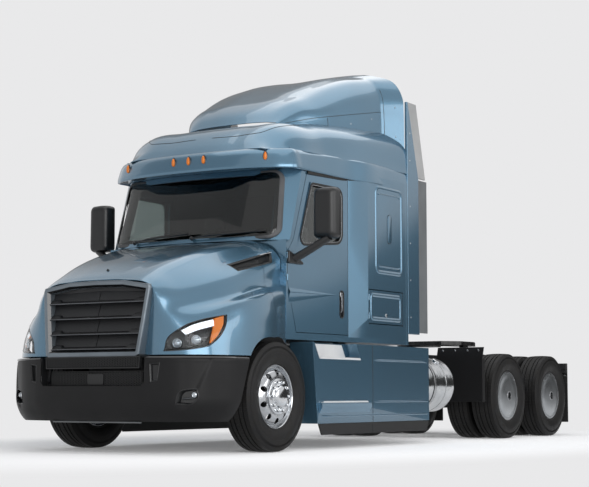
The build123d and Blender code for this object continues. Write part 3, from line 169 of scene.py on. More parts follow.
def surface(sections: Sequence[Sequence[Point]], along: int, across: int, corners: Iterable[int] = (),
            breaks: Iterable[int] = ()) -> list[list[Vector]]:
    """Smooth grid through sections that have as many points each.

    Args:
        sections: the sections, one after another.
        along: steps from each section to the next.
        across: steps from each point of a section to the next.
        corners: points of a section where the surface has a crease.
        breaks: sections where it has one.
    Returns:
        Rows of points.
    """
    rows = [through(s, across, corners) for s in sections]
    columns = [through(column, along, breaks) for column in zip(*rows)]
    return [list(row) for row in zip(*columns)]


def whole(half: Sequence[Point]) -> list[Vector]:
    """A section that starts on the centre plane, with its right half added in front."""
    right = [Vector((p[0], -p[1], p[2])) for p in reversed(half[1:])]
    return right + [Vector(p) for p in half]


def catmull(a: float, b: float, c: float, d: float, t: float) -> float:
    """The value between b and c on a smooth curve through all four."""
    return .5 * (2 * b + (c - a) * t + (2 * a - 5 * b + 4 * c - d) * t * t + (3 * b - a - 3 * c + d) * t ** 3)


def stood(axis: str, point: tuple[float, float], height: float) -> tuple[float, float, float]:
    """A point of an outline, given as (y, z) for axis x, (x, z) for y and (x, y) for z, at a height along the axis."""
    flat, place = (point[0], point[1]), "xyz".index(axis)
    return (*flat[:place], height, *flat[place:])


def evaluated(thing: bpy.types.Object) -> bpy.types.Mesh:
    """A plain mesh of an object with its modifiers applied."""
    bpy.context.view_layer.update()
    graph = bpy.context.evaluated_depsgraph_get()
    return bpy.data.meshes.new_from_object(thing.evaluated_get(graph), depsgraph=graph)


class Form:
    """A mesh in the making. Each method adds to it and returns it."""

    def __init__(self) -> None:
        """Starts empty."""
        self.mesh = bmesh.new()

    def grid(self, rows: Sequence[Sequence[Point]], closed: bool = False, looped: bool = False) -> "Form":
        """Adds a sheet of quads.

        Args:
            rows: points, row by row.
            closed: joins each row's end to its start.
            looped: joins the last row to the first.
        Returns:
            This form.
        """
        made = [[self.mesh.verts.new(p) for p in row] for row in rows]
        if looped:
            made.append(made[0])
        for low, high in zip(made, made[1:]):
            if closed:
                low, high = [*low, low[0]], [*high, high[0]]
            for k in range(len(low) - 1):
                self.mesh.faces.new((low[k], low[k + 1], high[k + 1], high[k]))
        return self

    def polygon(self, points: Sequence[Point]) -> "Form":
        """Adds one flat face."""
        self.mesh.faces.new([self.mesh.verts.new(p) for p in points])
        return self

    def prism(self, outline: Sequence[tuple[float, float]], axis: str, low: float, high: float) -> "Form":
        """Adds a straight solid.

        Args:
            outline: polygon, as (y, z) for axis x, (x, z) for axis y and (x, y) for axis z.
            axis: the direction that it runs in.
            low: where it starts.
            high: where it ends.
        Returns:
            This form.
        """
        rings = [[self.mesh.verts.new(stood(axis, p, h)) for p in outline] for h in (low, high)]
        self.mesh.faces.new(rings[0])
        self.mesh.faces.new(list(reversed(rings[1])))
        for k in range(len(outline)):
            nxt = (k + 1) % len(outline)
            self.mesh.faces.new((rings[0][k], rings[1][k], rings[1][nxt], rings[0][nxt]))
        return self

    def block(self, x: Point, y: Point, z: Point) -> "Form":
        """Adds a box between two limits on each axis."""
        return self.prism([(x[0], y[0]), (x[1], y[0]), (x[1], y[1]), (x[0], y[1])], "z", z[0], z[1])

    def lathe(self, profile: Sequence[tuple[float, float]], centre: Point, steps: int = 96,
              axis: Point = (0, 1, 0)) -> "Form":
        """Adds a closed solid of revolution.

        Args:
            profile: closed run of (radius, distance along the axis).
            centre: point on the axis at distance 0.
            steps: faces round it.
            axis: direction of the axis.
        Returns:
            This form.
        """
        turn = Vector((0, 1, 0)).rotation_difference(Vector(axis).normalized()).to_matrix()
        rows = []
        for k in range(steps):
            a = 2 * math.pi * k / steps
            ring = [turn @ Vector((r * math.cos(a), w, -r * math.sin(a))) + Vector(centre) for r, w in profile]
            rows.append(ring)
        return self.grid(rows, closed=True, looped=True)

    def tube(self, path: Sequence[Point], radius: float, sides: int = 14, flat: float = 1.0,
             looped: bool = False) -> "Form":
        """Adds a round bar along a path.

        Args:
            path: points of its middle line.
            radius: its radius.
            sides: faces round it.
            flat: its height as a share of its width.
            looped: joins its end to its start.
        Returns:
            This form.
        """
        pts = [Vector(p) for p in path]
        count = len(pts)
        up = None
        rows = []
        for k, p in enumerate(pts):
            ahead = pts[(k + 1) % count] if looped or k + 1 < count else p
            behind = pts[k - 1] if looped or k else p
            run = (ahead - behind).normalized()
            if up is None:
                up = Vector((0, 0, 1)) if abs(run.z) < 0.9 else Vector((1, 0, 0))
            side = run.cross(up).normalized()
            up = side.cross(run).normalized()
            rows.append([p + radius * (math.cos(a) * side + flat * math.sin(a) * up)
                         for a in (2 * math.pi * j / sides for j in range(sides))])
        self.grid(rows, closed=True, looped=looped)
        if not looped:
            self.polygon(list(reversed(rows[0]))).polygon(rows[-1])
        return self

    def cage(self, rows: Sequence[Sequence[Point]]) -> "Form":
        """Adds closed rings joined one to the next, with both ends closed."""
        return self.grid(rows, closed=True).polygon(list(reversed(rows[0]))).polygon(rows[-1])

    def doubled(self) -> "Form":
        """Adds its mirror image across the centre plane."""
        found = bmesh.ops.duplicate(self.mesh, geom=[*self.mesh.verts, *self.mesh.edges, *self.mesh.faces])
        for item in found["geom"]:
            if isinstance(item, bmesh.types.BMVert):
                item.co.y = -item.co.y
        return self

    def join(self, other: "Form") -> "Form":
        """Adds another form's mesh, which is used up."""
        mesh = bpy.data.meshes.new("joined")
        other.mesh.to_mesh(mesh)
        self.mesh.from_mesh(mesh)
        bpy.data.meshes.remove(mesh)
        return self

    def thing(self, name: str, bridge: float = 1e-5) -> bpy.types.Object:
        """The mesh as an object, its doubles merged and its faces turned outwards.

        Args:
            name: the object's name.
            bridge: distance within which points merge.
        Returns:
            The object, linked to the scene.
        """
        bmesh.ops.remove_doubles(self.mesh, verts=self.mesh.verts, dist=bridge)
        bmesh.ops.recalc_face_normals(self.mesh, faces=self.mesh.faces)
        mesh = bpy.data.meshes.new(name)
        self.mesh.to_mesh(mesh)
        self.mesh.free()
        return linked(name, mesh)


@contextmanager
def meshwork(thing: bpy.types.Object) -> Iterator[bmesh.types.BMesh]:
    """Opens an object's mesh for work and writes it back."""
    work = bmesh.new()
    work.from_mesh(thing.data)
    yield work
    work.to_mesh(thing.data)
    work.free()


def settle(thing: bpy.types.Object) -> bpy.types.Object:
    """Applies an object's modifiers to its mesh and takes them off."""
    mesh = evaluated(thing)
    thing.modifiers.clear()
    old, thing.data = thing.data, mesh
    bpy.data.meshes.remove(old)
    return thing


def thicken(thing: bpy.types.Object, wall: float, even: bool = True) -> bpy.types.Object:
    """Gives a sheet a wall on its inner side, as thick at its creases too where even is set."""
    solid = thing.modifiers.new("wall", "SOLIDIFY")
    solid.thickness = wall
    solid.offset = -1.0
    solid.use_even_offset = even
    return settle(thing)


class Cut(Enum):
    """What a cutter does to a piece."""

    AWAY = "DIFFERENCE"
    KEEP = "INTERSECT"


def carve(thing: bpy.types.Object, cutter: Form, how: Cut = Cut.AWAY) -> bpy.types.Object:
    """Cuts an object with closed solids.

    Args:
        thing: the object.
        cutter: the solids, which are used up.
        how: whether the inside of the cutter goes or stays.
    Returns:
        The object.
    """
    tool = cutter.thing("cutter")
    step = thing.modifiers.new("cut", "BOOLEAN")
    step.operation = how.value
    step.solver = "EXACT"
    step.use_self = how is Cut.AWAY
    step.object = tool
    settle(thing)
    bpy.data.objects.remove(tool)
    return thing


def copy_of(thing: bpy.types.Object, name: str) -> bpy.types.Object:
    """A second object with its own copy of the mesh."""
    return linked(name, thing.data.copy())


def dress(thing: bpy.types.Object, finish: "Finish", body: str, stands_for: Sequence[str] = (), edge: float = 0.0,
          rounds: int = 2, smooth: float = 32.0, levels: int = 0) -> bpy.types.Object:
    """Gives a shaped object its finish and its body.

    Args:
        thing: the object.
        finish: what it is made of.
        body: the body that it rides on.
        stands_for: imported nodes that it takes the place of.
        edge: radius of its rounded edges.
        rounds: segments of that rounding.
        smooth: angle under which neighbouring faces shade as one.
        levels: subdivision levels.
    Returns:
        The object.
    """
    if levels:
        sub = thing.modifiers.new("subdivision", "SUBSURF")
        sub.levels = sub.render_levels = levels
    if edge:
        bevel = thing.modifiers.new("edges", "BEVEL")
        bevel.width = edge
        bevel.segments = rounds
        bevel.limit_method = "ANGLE"
        bevel.angle_limit = ROUND_OVER
        bevel.harden_normals = False
    if levels or edge:
        settle(thing)
    thing.data.shade_smooth()
    thing.data.set_sharp_from_angle(angle=math.radians(smooth))
    thing.data.materials.clear()
    thing.data.materials.append(finish.material())
    if edge:
        shade = thing.modifiers.new("flat_faces_shade_flat", "WEIGHTED_NORMAL")
        shade.keep_sharp = True
    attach(thing, body)
    if stands_for:
        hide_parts(*stands_for)
    LOG.info("%s: %d faces", thing.name, len(thing.data.polygons))
    return thing


class Layout(Enum):
    """How copies of a small shape are set out."""

    RING = "ring"
    GRID = "grid"


@dataclass
class Copies:
    """Geometry Nodes trees that set out copies of a small shape and make them one mesh.

    In a ring the shape is drawn at its own radius and the copies turn about the Y axis through the origin, then
    move to the centre. In a grid the copies step along two directions, and every other column is shifted.
    """

    layout: Layout
    count: int = 10
    rows: int = 1
    start: Point = (0, 0, 0)
    step: Point = (0, 0, 0)
    row_step: Point = (0, 0, 0)
    stagger: Point = (0, 0, 0)

    def tree(self) -> bpy.types.NodeTree:
        """The layout's tree, made once."""
        name = f"copies_{self.layout.value}"
        found = bpy.data.node_groups.get(name)
        if found:
            return found
        tree = bpy.data.node_groups.new(name, "GeometryNodeTree")
        face = tree.interface
        face.new_socket("Geometry", in_out="INPUT", socket_type="NodeSocketGeometry")
        for label, kind in (("Shape", "NodeSocketObject"), ("Finish", "NodeSocketMaterial"), ("Count", "NodeSocketInt"),
                            ("Rows", "NodeSocketInt"), ("Start", "NodeSocketVector"), ("Step", "NodeSocketVector"),
                            ("Row Step", "NodeSocketVector"), ("Stagger", "NodeSocketVector")):
            face.new_socket(label, in_out="INPUT", socket_type=kind)
        face.new_socket("Geometry", in_out="OUTPUT", socket_type="NodeSocketGeometry")
        given = add_node(tree, "NodeGroupInput").outputs
        shape = add_node(tree, "GeometryNodeObjectInfo", {"Object": given["Shape"]})
        index = add_node(tree, "GeometryNodeInputIndex")
        if self.layout is Layout.RING:
            points = add_node(tree, "GeometryNodeMeshLine", {"Count": given["Count"], "Offset": (0, 0, 0)})
            share = add_node(tree, "ShaderNodeMath", {0: index.outputs[0], 1: given["Count"]}, operation="DIVIDE")
            angle = add_node(tree, "ShaderNodeMath", {0: share.outputs[0], 1: 2 * math.pi}, operation="MULTIPLY")
            turn = add_node(tree, "ShaderNodeCombineXYZ", {"Y": angle.outputs[0]})
            set_out = add_node(tree, "GeometryNodeInstanceOnPoints", {
                "Points": points.outputs[0], "Instance": shape.outputs["Geometry"], "Rotation": turn.outputs[0]})
            moved = add_node(tree, "GeometryNodeTransform", {
                "Geometry": set_out.outputs[0], "Translation": given["Start"]}).outputs[0]
        else:
            column = add_node(tree, "GeometryNodeMeshLine", {
                "Count": given["Rows"], "Start Location": (0, 0, 0), "Offset": given["Row Step"]})
            line = add_node(tree, "GeometryNodeMeshLine", {
                "Count": given["Count"], "Start Location": given["Start"], "Offset": given["Step"]})
            odd = add_node(tree, "ShaderNodeMath", {0: index.outputs[0], 1: 2.0}, operation="MODULO")
            shift = add_node(tree, "ShaderNodeVectorMath", {0: given["Stagger"], "Scale": odd.outputs[0]},
                             operation="SCALE")
            placed = add_node(tree, "GeometryNodeSetPosition", {
                "Geometry": line.outputs[0], "Offset": shift.outputs[0]})
            columns = add_node(tree, "GeometryNodeInstanceOnPoints", {
                "Points": placed.outputs[0], "Instance": column.outputs[0]})
            spread = add_node(tree, "GeometryNodeRealizeInstances", {"Geometry": columns.outputs[0]})
            moved = add_node(tree, "GeometryNodeInstanceOnPoints", {
                "Points": spread.outputs[0], "Instance": shape.outputs["Geometry"]}).outputs[0]
        solid = add_node(tree, "GeometryNodeRealizeInstances", {"Geometry": moved})
        done = add_node(tree, "GeometryNodeSetMaterial", {"Geometry": solid.outputs[0], "Material": given["Finish"]})
        add_node(tree, "NodeGroupOutput", {"Geometry": done.outputs[0]})
        return tree

    def make(self, name: str, shape: Form, finish: "Finish", body: str, stands_for: Sequence[str] = (),
             smooth: float = 32.0, edge: float = 0.0) -> bpy.types.Object:
        """One plain mesh of all the copies.

        Args:
            name: the piece's name.
            shape: the small shape, which is used up.
            finish: what the copies are made of.
            body: the body that they ride on.
            stands_for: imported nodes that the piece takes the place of.
            smooth: angle under which neighbouring faces shade as one.
            edge: radius of the shape's rounded edges.
        Returns:
            The piece.
        """
        source = shape.thing(f"{name}_one")
        if edge:
            bevel = source.modifiers.new("edges", "BEVEL")
            bevel.width = edge
            bevel.segments = 1
            settle(source)
        holder = linked(name, bpy.data.meshes.new(name))
        modifier = holder.modifiers.new("copies", "NODES")
        modifier.node_group = self.tree()
        values = {"Shape": source, "Finish": finish.material(), "Count": self.count, "Rows": self.rows,
                  "Start": self.start, "Step": self.step, "Row Step": self.row_step, "Stagger": self.stagger}
        for item in modifier.node_group.interface.items_tree:
            if item.in_out == "INPUT" and item.name in values:
                value = values[item.name]
                modifier[item.identifier] = value if not isinstance(value, tuple) else [float(v) for v in value]
        settle(holder)
        bpy.data.objects.remove(source)
        return dress(holder, finish, body, stands_for, smooth=smooth)


def rework(node: str, name: str) -> bpy.types.Object:
    """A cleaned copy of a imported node's mesh, ready to be cut, rounded and dressed.

    Args:
        node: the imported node.
        name: the new piece's name.
    Returns:
        The copy, with its loose triangles merged and its flat faces whole.
    """
    made = copy_of(frame["nodes"][node], name)
    with meshwork(made) as work:
        bmesh.ops.remove_doubles(work, verts=work.verts, dist=WELD)
        bmesh.ops.dissolve_limit(work, angle_limit=FLAT, verts=work.verts, edges=work.edges)
    return made


@dataclass
class Probe:
    """Finds places on a shaped skin, so that fittings sit on it."""

    thing: bpy.types.Object
    stride: float = 0.02           # step inwards from a place that misses the skin
    strides: int = 40
    abeam: float = 4.0             # where its lines start from, outside the truck: to the left,
    above: float = 6.0             # over it
    ahead: float = 8.0             # and in front of it

    def __post_init__(self) -> None:
        """Reads the skin's mesh."""
        self.tree = BVHTree.FromPolygons([v.co.copy() for v in self.thing.data.vertices],
                                         [list(p.vertices) for p in self.thing.data.polygons])
        corners = [Vector(c) for c in self.thing.bound_box]
        self.middle = sum(corners, Vector()) / 8

    def hit(self, start: Point, aim: Point, depth: float = 0.0) -> Vector:
        """The first place that a straight line meets the skin.

        Args:
            start: where the line starts.
            aim: its direction.
            depth: how far to go on along the line past the skin.
        Returns:
            The place. Past the skin's edge it goes on as the skin does there.
        """
        aim, start = Vector(aim).normalized(), Vector(start)
        inward = self.middle - start
        inward -= aim * inward.dot(aim)
        for k in range(self.strides):
            place = self.tree.ray_cast(start + inward * (k * self.stride), aim)[0]
            if place is None:
                continue
            beyond = self.tree.ray_cast(start + inward * ((k + 2) * self.stride), aim)[0] if k else None
            if beyond is not None:
                place = place + (place - beyond) * (k / 2)
            return place + aim * depth
        return start

    def side(self, x: float, z: float, depth: float = 0.0) -> Vector:
        """A place on the left side."""
        return self.hit((x, self.abeam, z), (0, -1, 0), depth)

    def top(self, x: float, y: float, depth: float = 0.0) -> Vector:
        """A place on top."""
        return self.hit((x, y, self.above), (0, 0, -1), depth)

    def nose(self, y: float, z: float, depth: float = 0.0) -> Vector:
        """A place on the front."""
        return self.hit((self.ahead, y, z), (-1, 0, 0), depth)


def smooth_outline(points: Sequence[tuple[float, float]], steps: int, corners: Iterable[int] = ()) -> list:
    """A closed smooth outline through points.

    Args:
        points: the points, once round.
        steps: pieces in each run.
        corners: numbers of the points where it turns sharply.
    Returns:
        The outline's points, as pairs.
    """
    pts = [(p[0], p[1], 0.0) for p in points]
    count = len(pts)
    laps = [*pts[-2:], *pts, *pts[:3]]
    marks = [c + 2 + lap for c in corners for lap in (-count, 0, count) if 0 < c + 2 + lap < len(laps) - 1]
    line = through(laps, steps, marks)
    return [(p.x, p.y) for p in line[2 * steps:(2 + count) * steps]]


def ring_between(outer: Sequence[tuple[float, float]], inner: Sequence[tuple[float, float]], axis: str, low: float,
                 high: float) -> Form:
    """A straight frame between two outlines that have as many points.

    Args:
        outer: outer outline, as for Form.prism.
        inner: inner outline.
        axis: the direction that it runs in.
        low: where it starts.
        high: where it ends.
    Returns:
        The form.
    """
    edges = ((outer, low), (outer, high), (inner, high), (inner, low))
    rows = [[stood(axis, p, h) for p in line] for line, h in edges]
    return Form().grid(rows, closed=True, looped=True)


def shrunk(outline: Sequence[tuple[float, float]], by: float) -> list:
    """An outline moved inwards by a distance, negative for outwards."""
    count = len(outline)
    area = sum(a[0] * b[1] - b[0] * a[1] for a, b in zip(outline, [*outline[1:], outline[0]]))
    way = 1 if area > 0 else -1
    made = []
    for k in range(count):
        a, b, c = (Vector(outline[(k + d) % count]).to_2d() for d in (-1, 0, 1))
        first, second = (b - a).normalized(), (c - b).normalized()
        n1, n2 = Vector((-first.y, first.x)) * way, Vector((-second.y, second.x)) * way
        mid = (n1 + n2).normalized()
        made.append(tuple(b + mid * (by / max(mid.dot(n1), 0.5))))
    return made


def line_inside(thing: bpy.types.Object, finish: "Finish", inside_of: Callable[[Vector, Vector], bool]) -> None:
    """Gives the faces that pass a test a second finish.

    Args:
        thing: the dressed piece.
        finish: what those faces are made of.
        inside_of: test of a face's centre and normal.
    """
    thing.data.materials.append(finish.material())
    for face in thing.data.polygons:
        if inside_of(face.center, face.normal):
            face.material_index = 1


def refine(node: str, finish: "Finish", edge: float = 0.003, name: str = "", rounds: int = 2) -> bpy.types.Object:
    """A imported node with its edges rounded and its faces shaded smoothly, in its own finish.

    Args:
        node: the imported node.
        finish: what it is made of.
        edge: radius of its edges.
        name: the piece's name, where it isn't the node's with "_piece".
        rounds: segments of the rounding.
    Returns:
        The piece.
    """
    made = rework(node, name or f"{node}_piece")
    return dress(made, finish, frame["nodes"][node]["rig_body"], [node], edge=edge, rounds=rounds, smooth=35)


def matched(inner: Sequence[tuple[float, float]], polygon: Sequence[tuple[float, float]]) -> list:
    """Points of a polygon in the directions of an inner outline's points, seen from that outline's middle."""
    cx = sum(p[0] for p in inner) / len(inner)
    cy = sum(p[1] for p in inner) / len(inner)
    made = []
    for px, py in inner:
        dx, dy = px - cx, py - cy
        best = 0.0
        for a, b in zip(polygon, [*polygon[1:], polygon[0]]):
            ex, ey = b[0] - a[0], b[1] - a[1]
            cross = dx * ey - dy * ex
            if abs(cross) < 1e-12:
                continue
            t = ((a[0] - cx) * ey - (a[1] - cy) * ex) / cross
            u = ((a[0] - cx) * dy - (a[1] - cy) * dx) / cross
            if t > 0 and -1e-9 <= u <= 1 + 1e-9:
                best = max(best, t)
        made.append((cx + dx * best, cy + dy * best))
    return made


def rounded(polygon: Sequence[tuple[float, float]], radius: float, steps: int = 8) -> list:
    """A polygon with its corners rounded.

    Args:
        polygon: its corners.
        radius: radius of the corners, or one for each corner.
        steps: pieces of each corner.
    Returns:
        The outline.
    """
    count = len(polygon)
    sizes = radius if isinstance(radius, (list, tuple)) else [radius] * count
    made = []
    for k in range(count):
        a, b, c = (Vector(polygon[(k + d) % count]).to_2d() for d in (-1, 0, 1))
        u, v = (a - b).normalized(), (c - b).normalized()
        half = math.acos(max(-1.0, min(1.0, u.dot(v)))) / 2
        reach = min(sizes[k] / math.tan(half), (a - b).length * .49, (c - b).length * .49)
        r = reach * math.tan(half)
        middle = b + (u + v).normalized() * (r / math.sin(half))
        start, end = b + u * reach - middle, b + v * reach - middle
        turn = start.angle_signed(end)
        for j in range(steps + 1):
            t = -turn * j / steps
            made.append((middle.x + start.x * math.cos(t) - start.y * math.sin(t),
                         middle.y + start.x * math.sin(t) + start.y * math.cos(t)))
    return made


def sliced(thing: bpy.types.Object, low: float, high: float) -> None:
    """Keeps the part of a mesh between two values of X."""
    with meshwork(thing) as work:
        for value, side in ((low, -1), (high, 1)):
            bmesh.ops.bisect_plane(work, geom=[*work.verts, *work.edges, *work.faces], plane_co=(value, 0, 0),
                                   plane_no=(side, 0, 0), clear_outer=True)


@dataclass(frozen=True)
class Finish:
    """What a surface is made of: its colours, its gloss and the pattern that its making leaves."""

    name: str
    colour: str
    second: str = ""               # colour of the patches
    metallic: float = 0.0
    roughness: float = 0.5
    swing: float = 0.06            # how much the roughness varies
    coat: float = 0.0
    coat_roughness: float = 0.03
    ior: float = 1.5
    patch: float = 400.0           # size of the patches, mm
    grain: float = 2.0             # size of the surface grain, mm
    relief: float = 0.15           # strength of the grain
    glow: float = 0.0

    def start(self) -> tuple[bpy.types.Material, bpy.types.NodeTree, bpy.types.Node]:
        """An empty material with its shader, tree and colour already set."""
        material = bpy.data.materials.new(self.name)
        material.use_nodes = True
        tree = material.node_tree
        shader = tree.nodes["Principled BSDF"]
        shader.inputs["Base Color"].default_value = linear(self.colour)
        shader.inputs["Metallic"].default_value = self.metallic
        shader.inputs["Roughness"].default_value = self.roughness
        shader.inputs["Coat Weight"].default_value = self.coat
        shader.inputs["Coat Roughness"].default_value = self.coat_roughness
        if self.metallic < 0.99:
            shader.inputs["IOR"].default_value = self.ior
        if self.glow:
            shader.inputs["Emission Color"].default_value = linear(self.colour)
            shader.inputs["Emission Strength"].default_value = self.glow
        return material, tree, shader

    def material(self) -> bpy.types.Material:
        """The material, made the first time it is asked for."""
        found = bpy.data.materials.get(self.name)
        if found:
            return found
        material, tree, shader = self.start()
        self.pattern(tree, shader)
        return material

    def cloud(self, tree: bpy.types.NodeTree, size: float, detail: float = 2.0) -> bpy.types.NodeSocket:
        """Soft noise in the piece's own coordinates, its cells as large as the size in mm."""
        where = add_node(tree, "ShaderNodeTexCoord").outputs["Object"]
        return add_node(tree, "ShaderNodeTexNoise", {
            "Vector": where, "Scale": 1000 / size, "Detail": detail}).outputs["Fac"]

    def tint(self, tree: bpy.types.NodeTree, factor: bpy.types.NodeSocket) -> bpy.types.NodeSocket:
        """A mix of the two colours."""
        mix = add_node(tree, "ShaderNodeMix", {"Factor": factor}, data_type="RGBA")
        mix.inputs[6].default_value = linear(self.colour)
        mix.inputs[7].default_value = linear(self.second or self.colour)
        return mix.outputs[2]

    def gloss(self, tree: bpy.types.NodeTree, value: bpy.types.NodeSocket, low: float = 0.0, high: float = 1.0,
              way: int = 1) -> bpy.types.NodeSocket:
        """Roughness that swings with a value between two limits, downwards where way is -1."""
        span = self.swing * way
        return add_node(tree, "ShaderNodeMapRange", {
            "Value": value, "From Min": low, "From Max": high,
            "To Min": max(self.roughness - span, 0.02), "To Max": min(self.roughness + span, 1.0)}).outputs[0]

    def bump(self, tree: bpy.types.NodeTree, height: bpy.types.NodeSocket, distance: float) -> bpy.types.NodeSocket:
        """Normals of the relief."""
        return add_node(tree, "ShaderNodeBump", {
            "Height": height, "Strength": self.relief, "Distance": distance}).outputs[0]

    def pattern(self, tree: bpy.types.NodeTree, shader: bpy.types.Node) -> None:
        """Adds colour patches, uneven gloss and a fine grain.

        Args:
            tree: the material's tree.
            shader: its Principled shader.
        """
        blotch = self.cloud(tree, self.patch, 3.0)
        ramp = add_node(tree, "ShaderNodeMapRange", {"Value": blotch, "From Min": 0.35, "From Max": 0.65})
        tree.links.new(self.tint(tree, ramp.outputs[0]), shader.inputs["Base Color"])
        tree.links.new(self.gloss(tree, blotch, 0.3, 0.7), shader.inputs["Roughness"])
        if self.relief:
            speck = self.cloud(tree, self.grain)
            tree.links.new(self.bump(tree, speck, self.grain / 2500), shader.inputs["Normal"])


@dataclass(frozen=True)
class FlakePaint(Finish):
    """Metallic basecoat under clear lacquer: flakes sparkle a little below a wet shine."""

    flake: float = 1.1             # real flakes are 0.05 mm; drawn this coarse so that they show, mm

    def pattern(self, tree: bpy.types.NodeTree, shader: bpy.types.Node) -> None:
        """Adds flakes, a slight drift of the colour and the faint ripple of sprayed lacquer."""
        where = add_node(tree, "ShaderNodeTexCoord").outputs["Object"]
        flakes = add_node(tree, "ShaderNodeTexVoronoi", {"Vector": where, "Scale": 1000 / self.flake})
        spark = add_node(tree, "ShaderNodeMapRange", {
            "Value": flakes.outputs["Color"], "To Min": 0.0, "To Max": 0.05})
        cloud = self.cloud(tree, self.patch)
        drift = add_node(tree, "ShaderNodeMapRange", {"Value": cloud, "From Min": 0.35, "From Max": 0.65})
        bright = add_node(tree, "ShaderNodeMix", {"Factor": spark.outputs[0], 6: self.tint(tree, drift.outputs[0])},
                          data_type="RGBA", blend_type="ADD")
        bright.inputs[7].default_value = (0.25, 0.28, 0.3, 1)
        tree.links.new(bright.outputs[2], shader.inputs["Base Color"])
        tree.links.new(self.gloss(tree, cloud), shader.inputs["Roughness"])
        ripple = self.cloud(tree, self.grain, 1.0)
        tree.links.new(self.bump(tree, ripple, 0.0004), shader.inputs["Coat Normal"])


@dataclass(frozen=True)
class SpunMetal(Finish):
    """Aluminium polished on a lathe: fine rings about an axis along Y, through the piece's centre."""

    ring: float = 4.0              # real tool marks are 0.1 mm apart; drawn this coarse so that they show, mm
    centre: tuple[float, float, float] = (0.0, 0.0, AXLE_Z)

    def pattern(self, tree: bpy.types.NodeTree, shader: bpy.types.Node) -> None:
        """Adds the rings and a soft unevenness of gloss."""
        where = add_node(tree, "ShaderNodeTexCoord").outputs["Object"]
        moved = add_node(tree, "ShaderNodeMapping", {"Vector": where, "Location": [-c for c in self.centre]})
        parts = add_node(tree, "ShaderNodeSeparateXYZ", {0: moved.outputs[0]})
        flat = add_node(tree, "ShaderNodeCombineXYZ", {"X": parts.outputs[0], "Z": parts.outputs[2]})
        radius = add_node(tree, "ShaderNodeVectorMath", {0: flat.outputs[0]}, operation="LENGTH").outputs["Value"]
        along = add_node(tree, "ShaderNodeMath", {0: radius, 1: 1000 / self.ring}, operation="MULTIPLY")
        rings = add_node(tree, "ShaderNodeTexNoise", {"W": along.outputs[0], "Scale": 1.0, "Detail": 3.0},
                         noise_dimensions="1D")
        cloud = self.cloud(tree, self.patch)
        blend = add_node(tree, "ShaderNodeMath", {0: rings.outputs["Fac"], 1: cloud}, operation="ADD")
        tree.links.new(self.gloss(tree, blend.outputs[0], 0.6, 1.4), shader.inputs["Roughness"])
        tree.links.new(self.tint(tree, cloud), shader.inputs["Base Color"])
        tree.links.new(self.bump(tree, rings.outputs["Fac"], 0.0003), shader.inputs["Normal"])


@dataclass(frozen=True)
class ClearSheet(Finish):
    """Clear or tinted glass and moulded lenses, with a faint waviness."""

    ripple: float = 350.0          # width of the waves, mm

    def pattern(self, tree: bpy.types.NodeTree, shader: bpy.types.Node) -> None:
        """Lets light through and adds the waves."""
        shader.inputs["Transmission Weight"].default_value = 1.0
        wave = self.cloud(tree, self.ripple, 1.0)
        tree.links.new(self.bump(tree, wave, 0.0005), shader.inputs["Normal"])


@dataclass(frozen=True)
class Weave(Finish):
    """Woven seat cloth: threads in two directions, over soft dye variation."""

    thread: float = 6.0            # real threads are 0.8 mm; drawn this coarse so that they show, mm

    def pattern(self, tree: bpy.types.NodeTree, shader: bpy.types.Node) -> None:
        """Adds crossed threads as relief and colour."""
        shader.inputs["Sheen Weight"].default_value = 0.35
        where = add_node(tree, "ShaderNodeTexCoord").outputs["Object"]
        bands = []
        for direction in ("DIAGONAL", "Y"):
            bands.append(add_node(tree, "ShaderNodeTexWave", {
                "Vector": where, "Scale": 1000 / self.thread / 6.28, "Distortion": 0.4, "Detail": 1.0},
                bands_direction=direction).outputs["Fac"])
        cross = add_node(tree, "ShaderNodeMath", {0: bands[0], 1: bands[1]}, operation="MULTIPLY").outputs[0]
        tree.links.new(self.tint(tree, cross), shader.inputs["Base Color"])
        tree.links.new(self.bump(tree, cross, 0.001), shader.inputs["Normal"])


@dataclass(frozen=True)
class TreadPlate(Finish):
    """Rolled aluminium plate with raised diamond lugs, worn bright on top."""

    pitch: float = 26.0            # between lugs, mm

    def pattern(self, tree: bpy.types.NodeTree, shader: bpy.types.Node) -> None:
        """Adds two crossed rows of lugs as relief and gloss."""
        where = add_node(tree, "ShaderNodeTexCoord").outputs["Object"]
        lugs = []
        for turn in (0.6, -0.6):
            placed = add_node(tree, "ShaderNodeMapping", {
                "Vector": where, "Rotation": (0, 0, turn), "Scale": (500 / self.pitch, 1000 / self.pitch, 0.01)})
            cell = add_node(tree, "ShaderNodeTexVoronoi", {
                "Vector": placed.outputs[0], "Scale": 1.0, "Randomness": 0.0}, voronoi_dimensions="2D")
            lugs.append(add_node(tree, "ShaderNodeMapRange", {
                "Value": cell.outputs["Distance"], "From Min": 0.34, "From Max": 0.26}).outputs[0])
        both = add_node(tree, "ShaderNodeMath", {0: lugs[0], 1: lugs[1]}, operation="MAXIMUM").outputs[0]
        tree.links.new(self.gloss(tree, both, way=-1), shader.inputs["Roughness"])
        tree.links.new(self.bump(tree, both, 0.002), shader.inputs["Normal"])


# Metallic steel-blue basecoat and lacquer, sprayed on steel and fibreglass: deep colour with a wet shine.
PAINT = FlakePaint("metallic_blue_lacquer", "#517890", "#4d7289", metallic=0.66, roughness=0.25, swing=0.03, coat=1.0,
                   coat_roughness=0.02, patch=900, grain=90, relief=0.004)
# Moulded charcoal polypropylene with a spark-eroded texture: soft grey highlights.
BUMPER = Finish("moulded_charcoal_polypropylene", "#19191a", "#161617", ior=1.3, roughness=0.46, swing=0.04, grain=1.4,
                relief=0.22)
# Satin graphite lacquer of the grille's frame: a pale sheen along its rounded face.
GRAPHITE = Finish("satin_graphite_lacquer", "#767f86", "#697178", metallic=0.6, roughness=0.36, swing=0.04, grain=3.0,
                  relief=0.1)
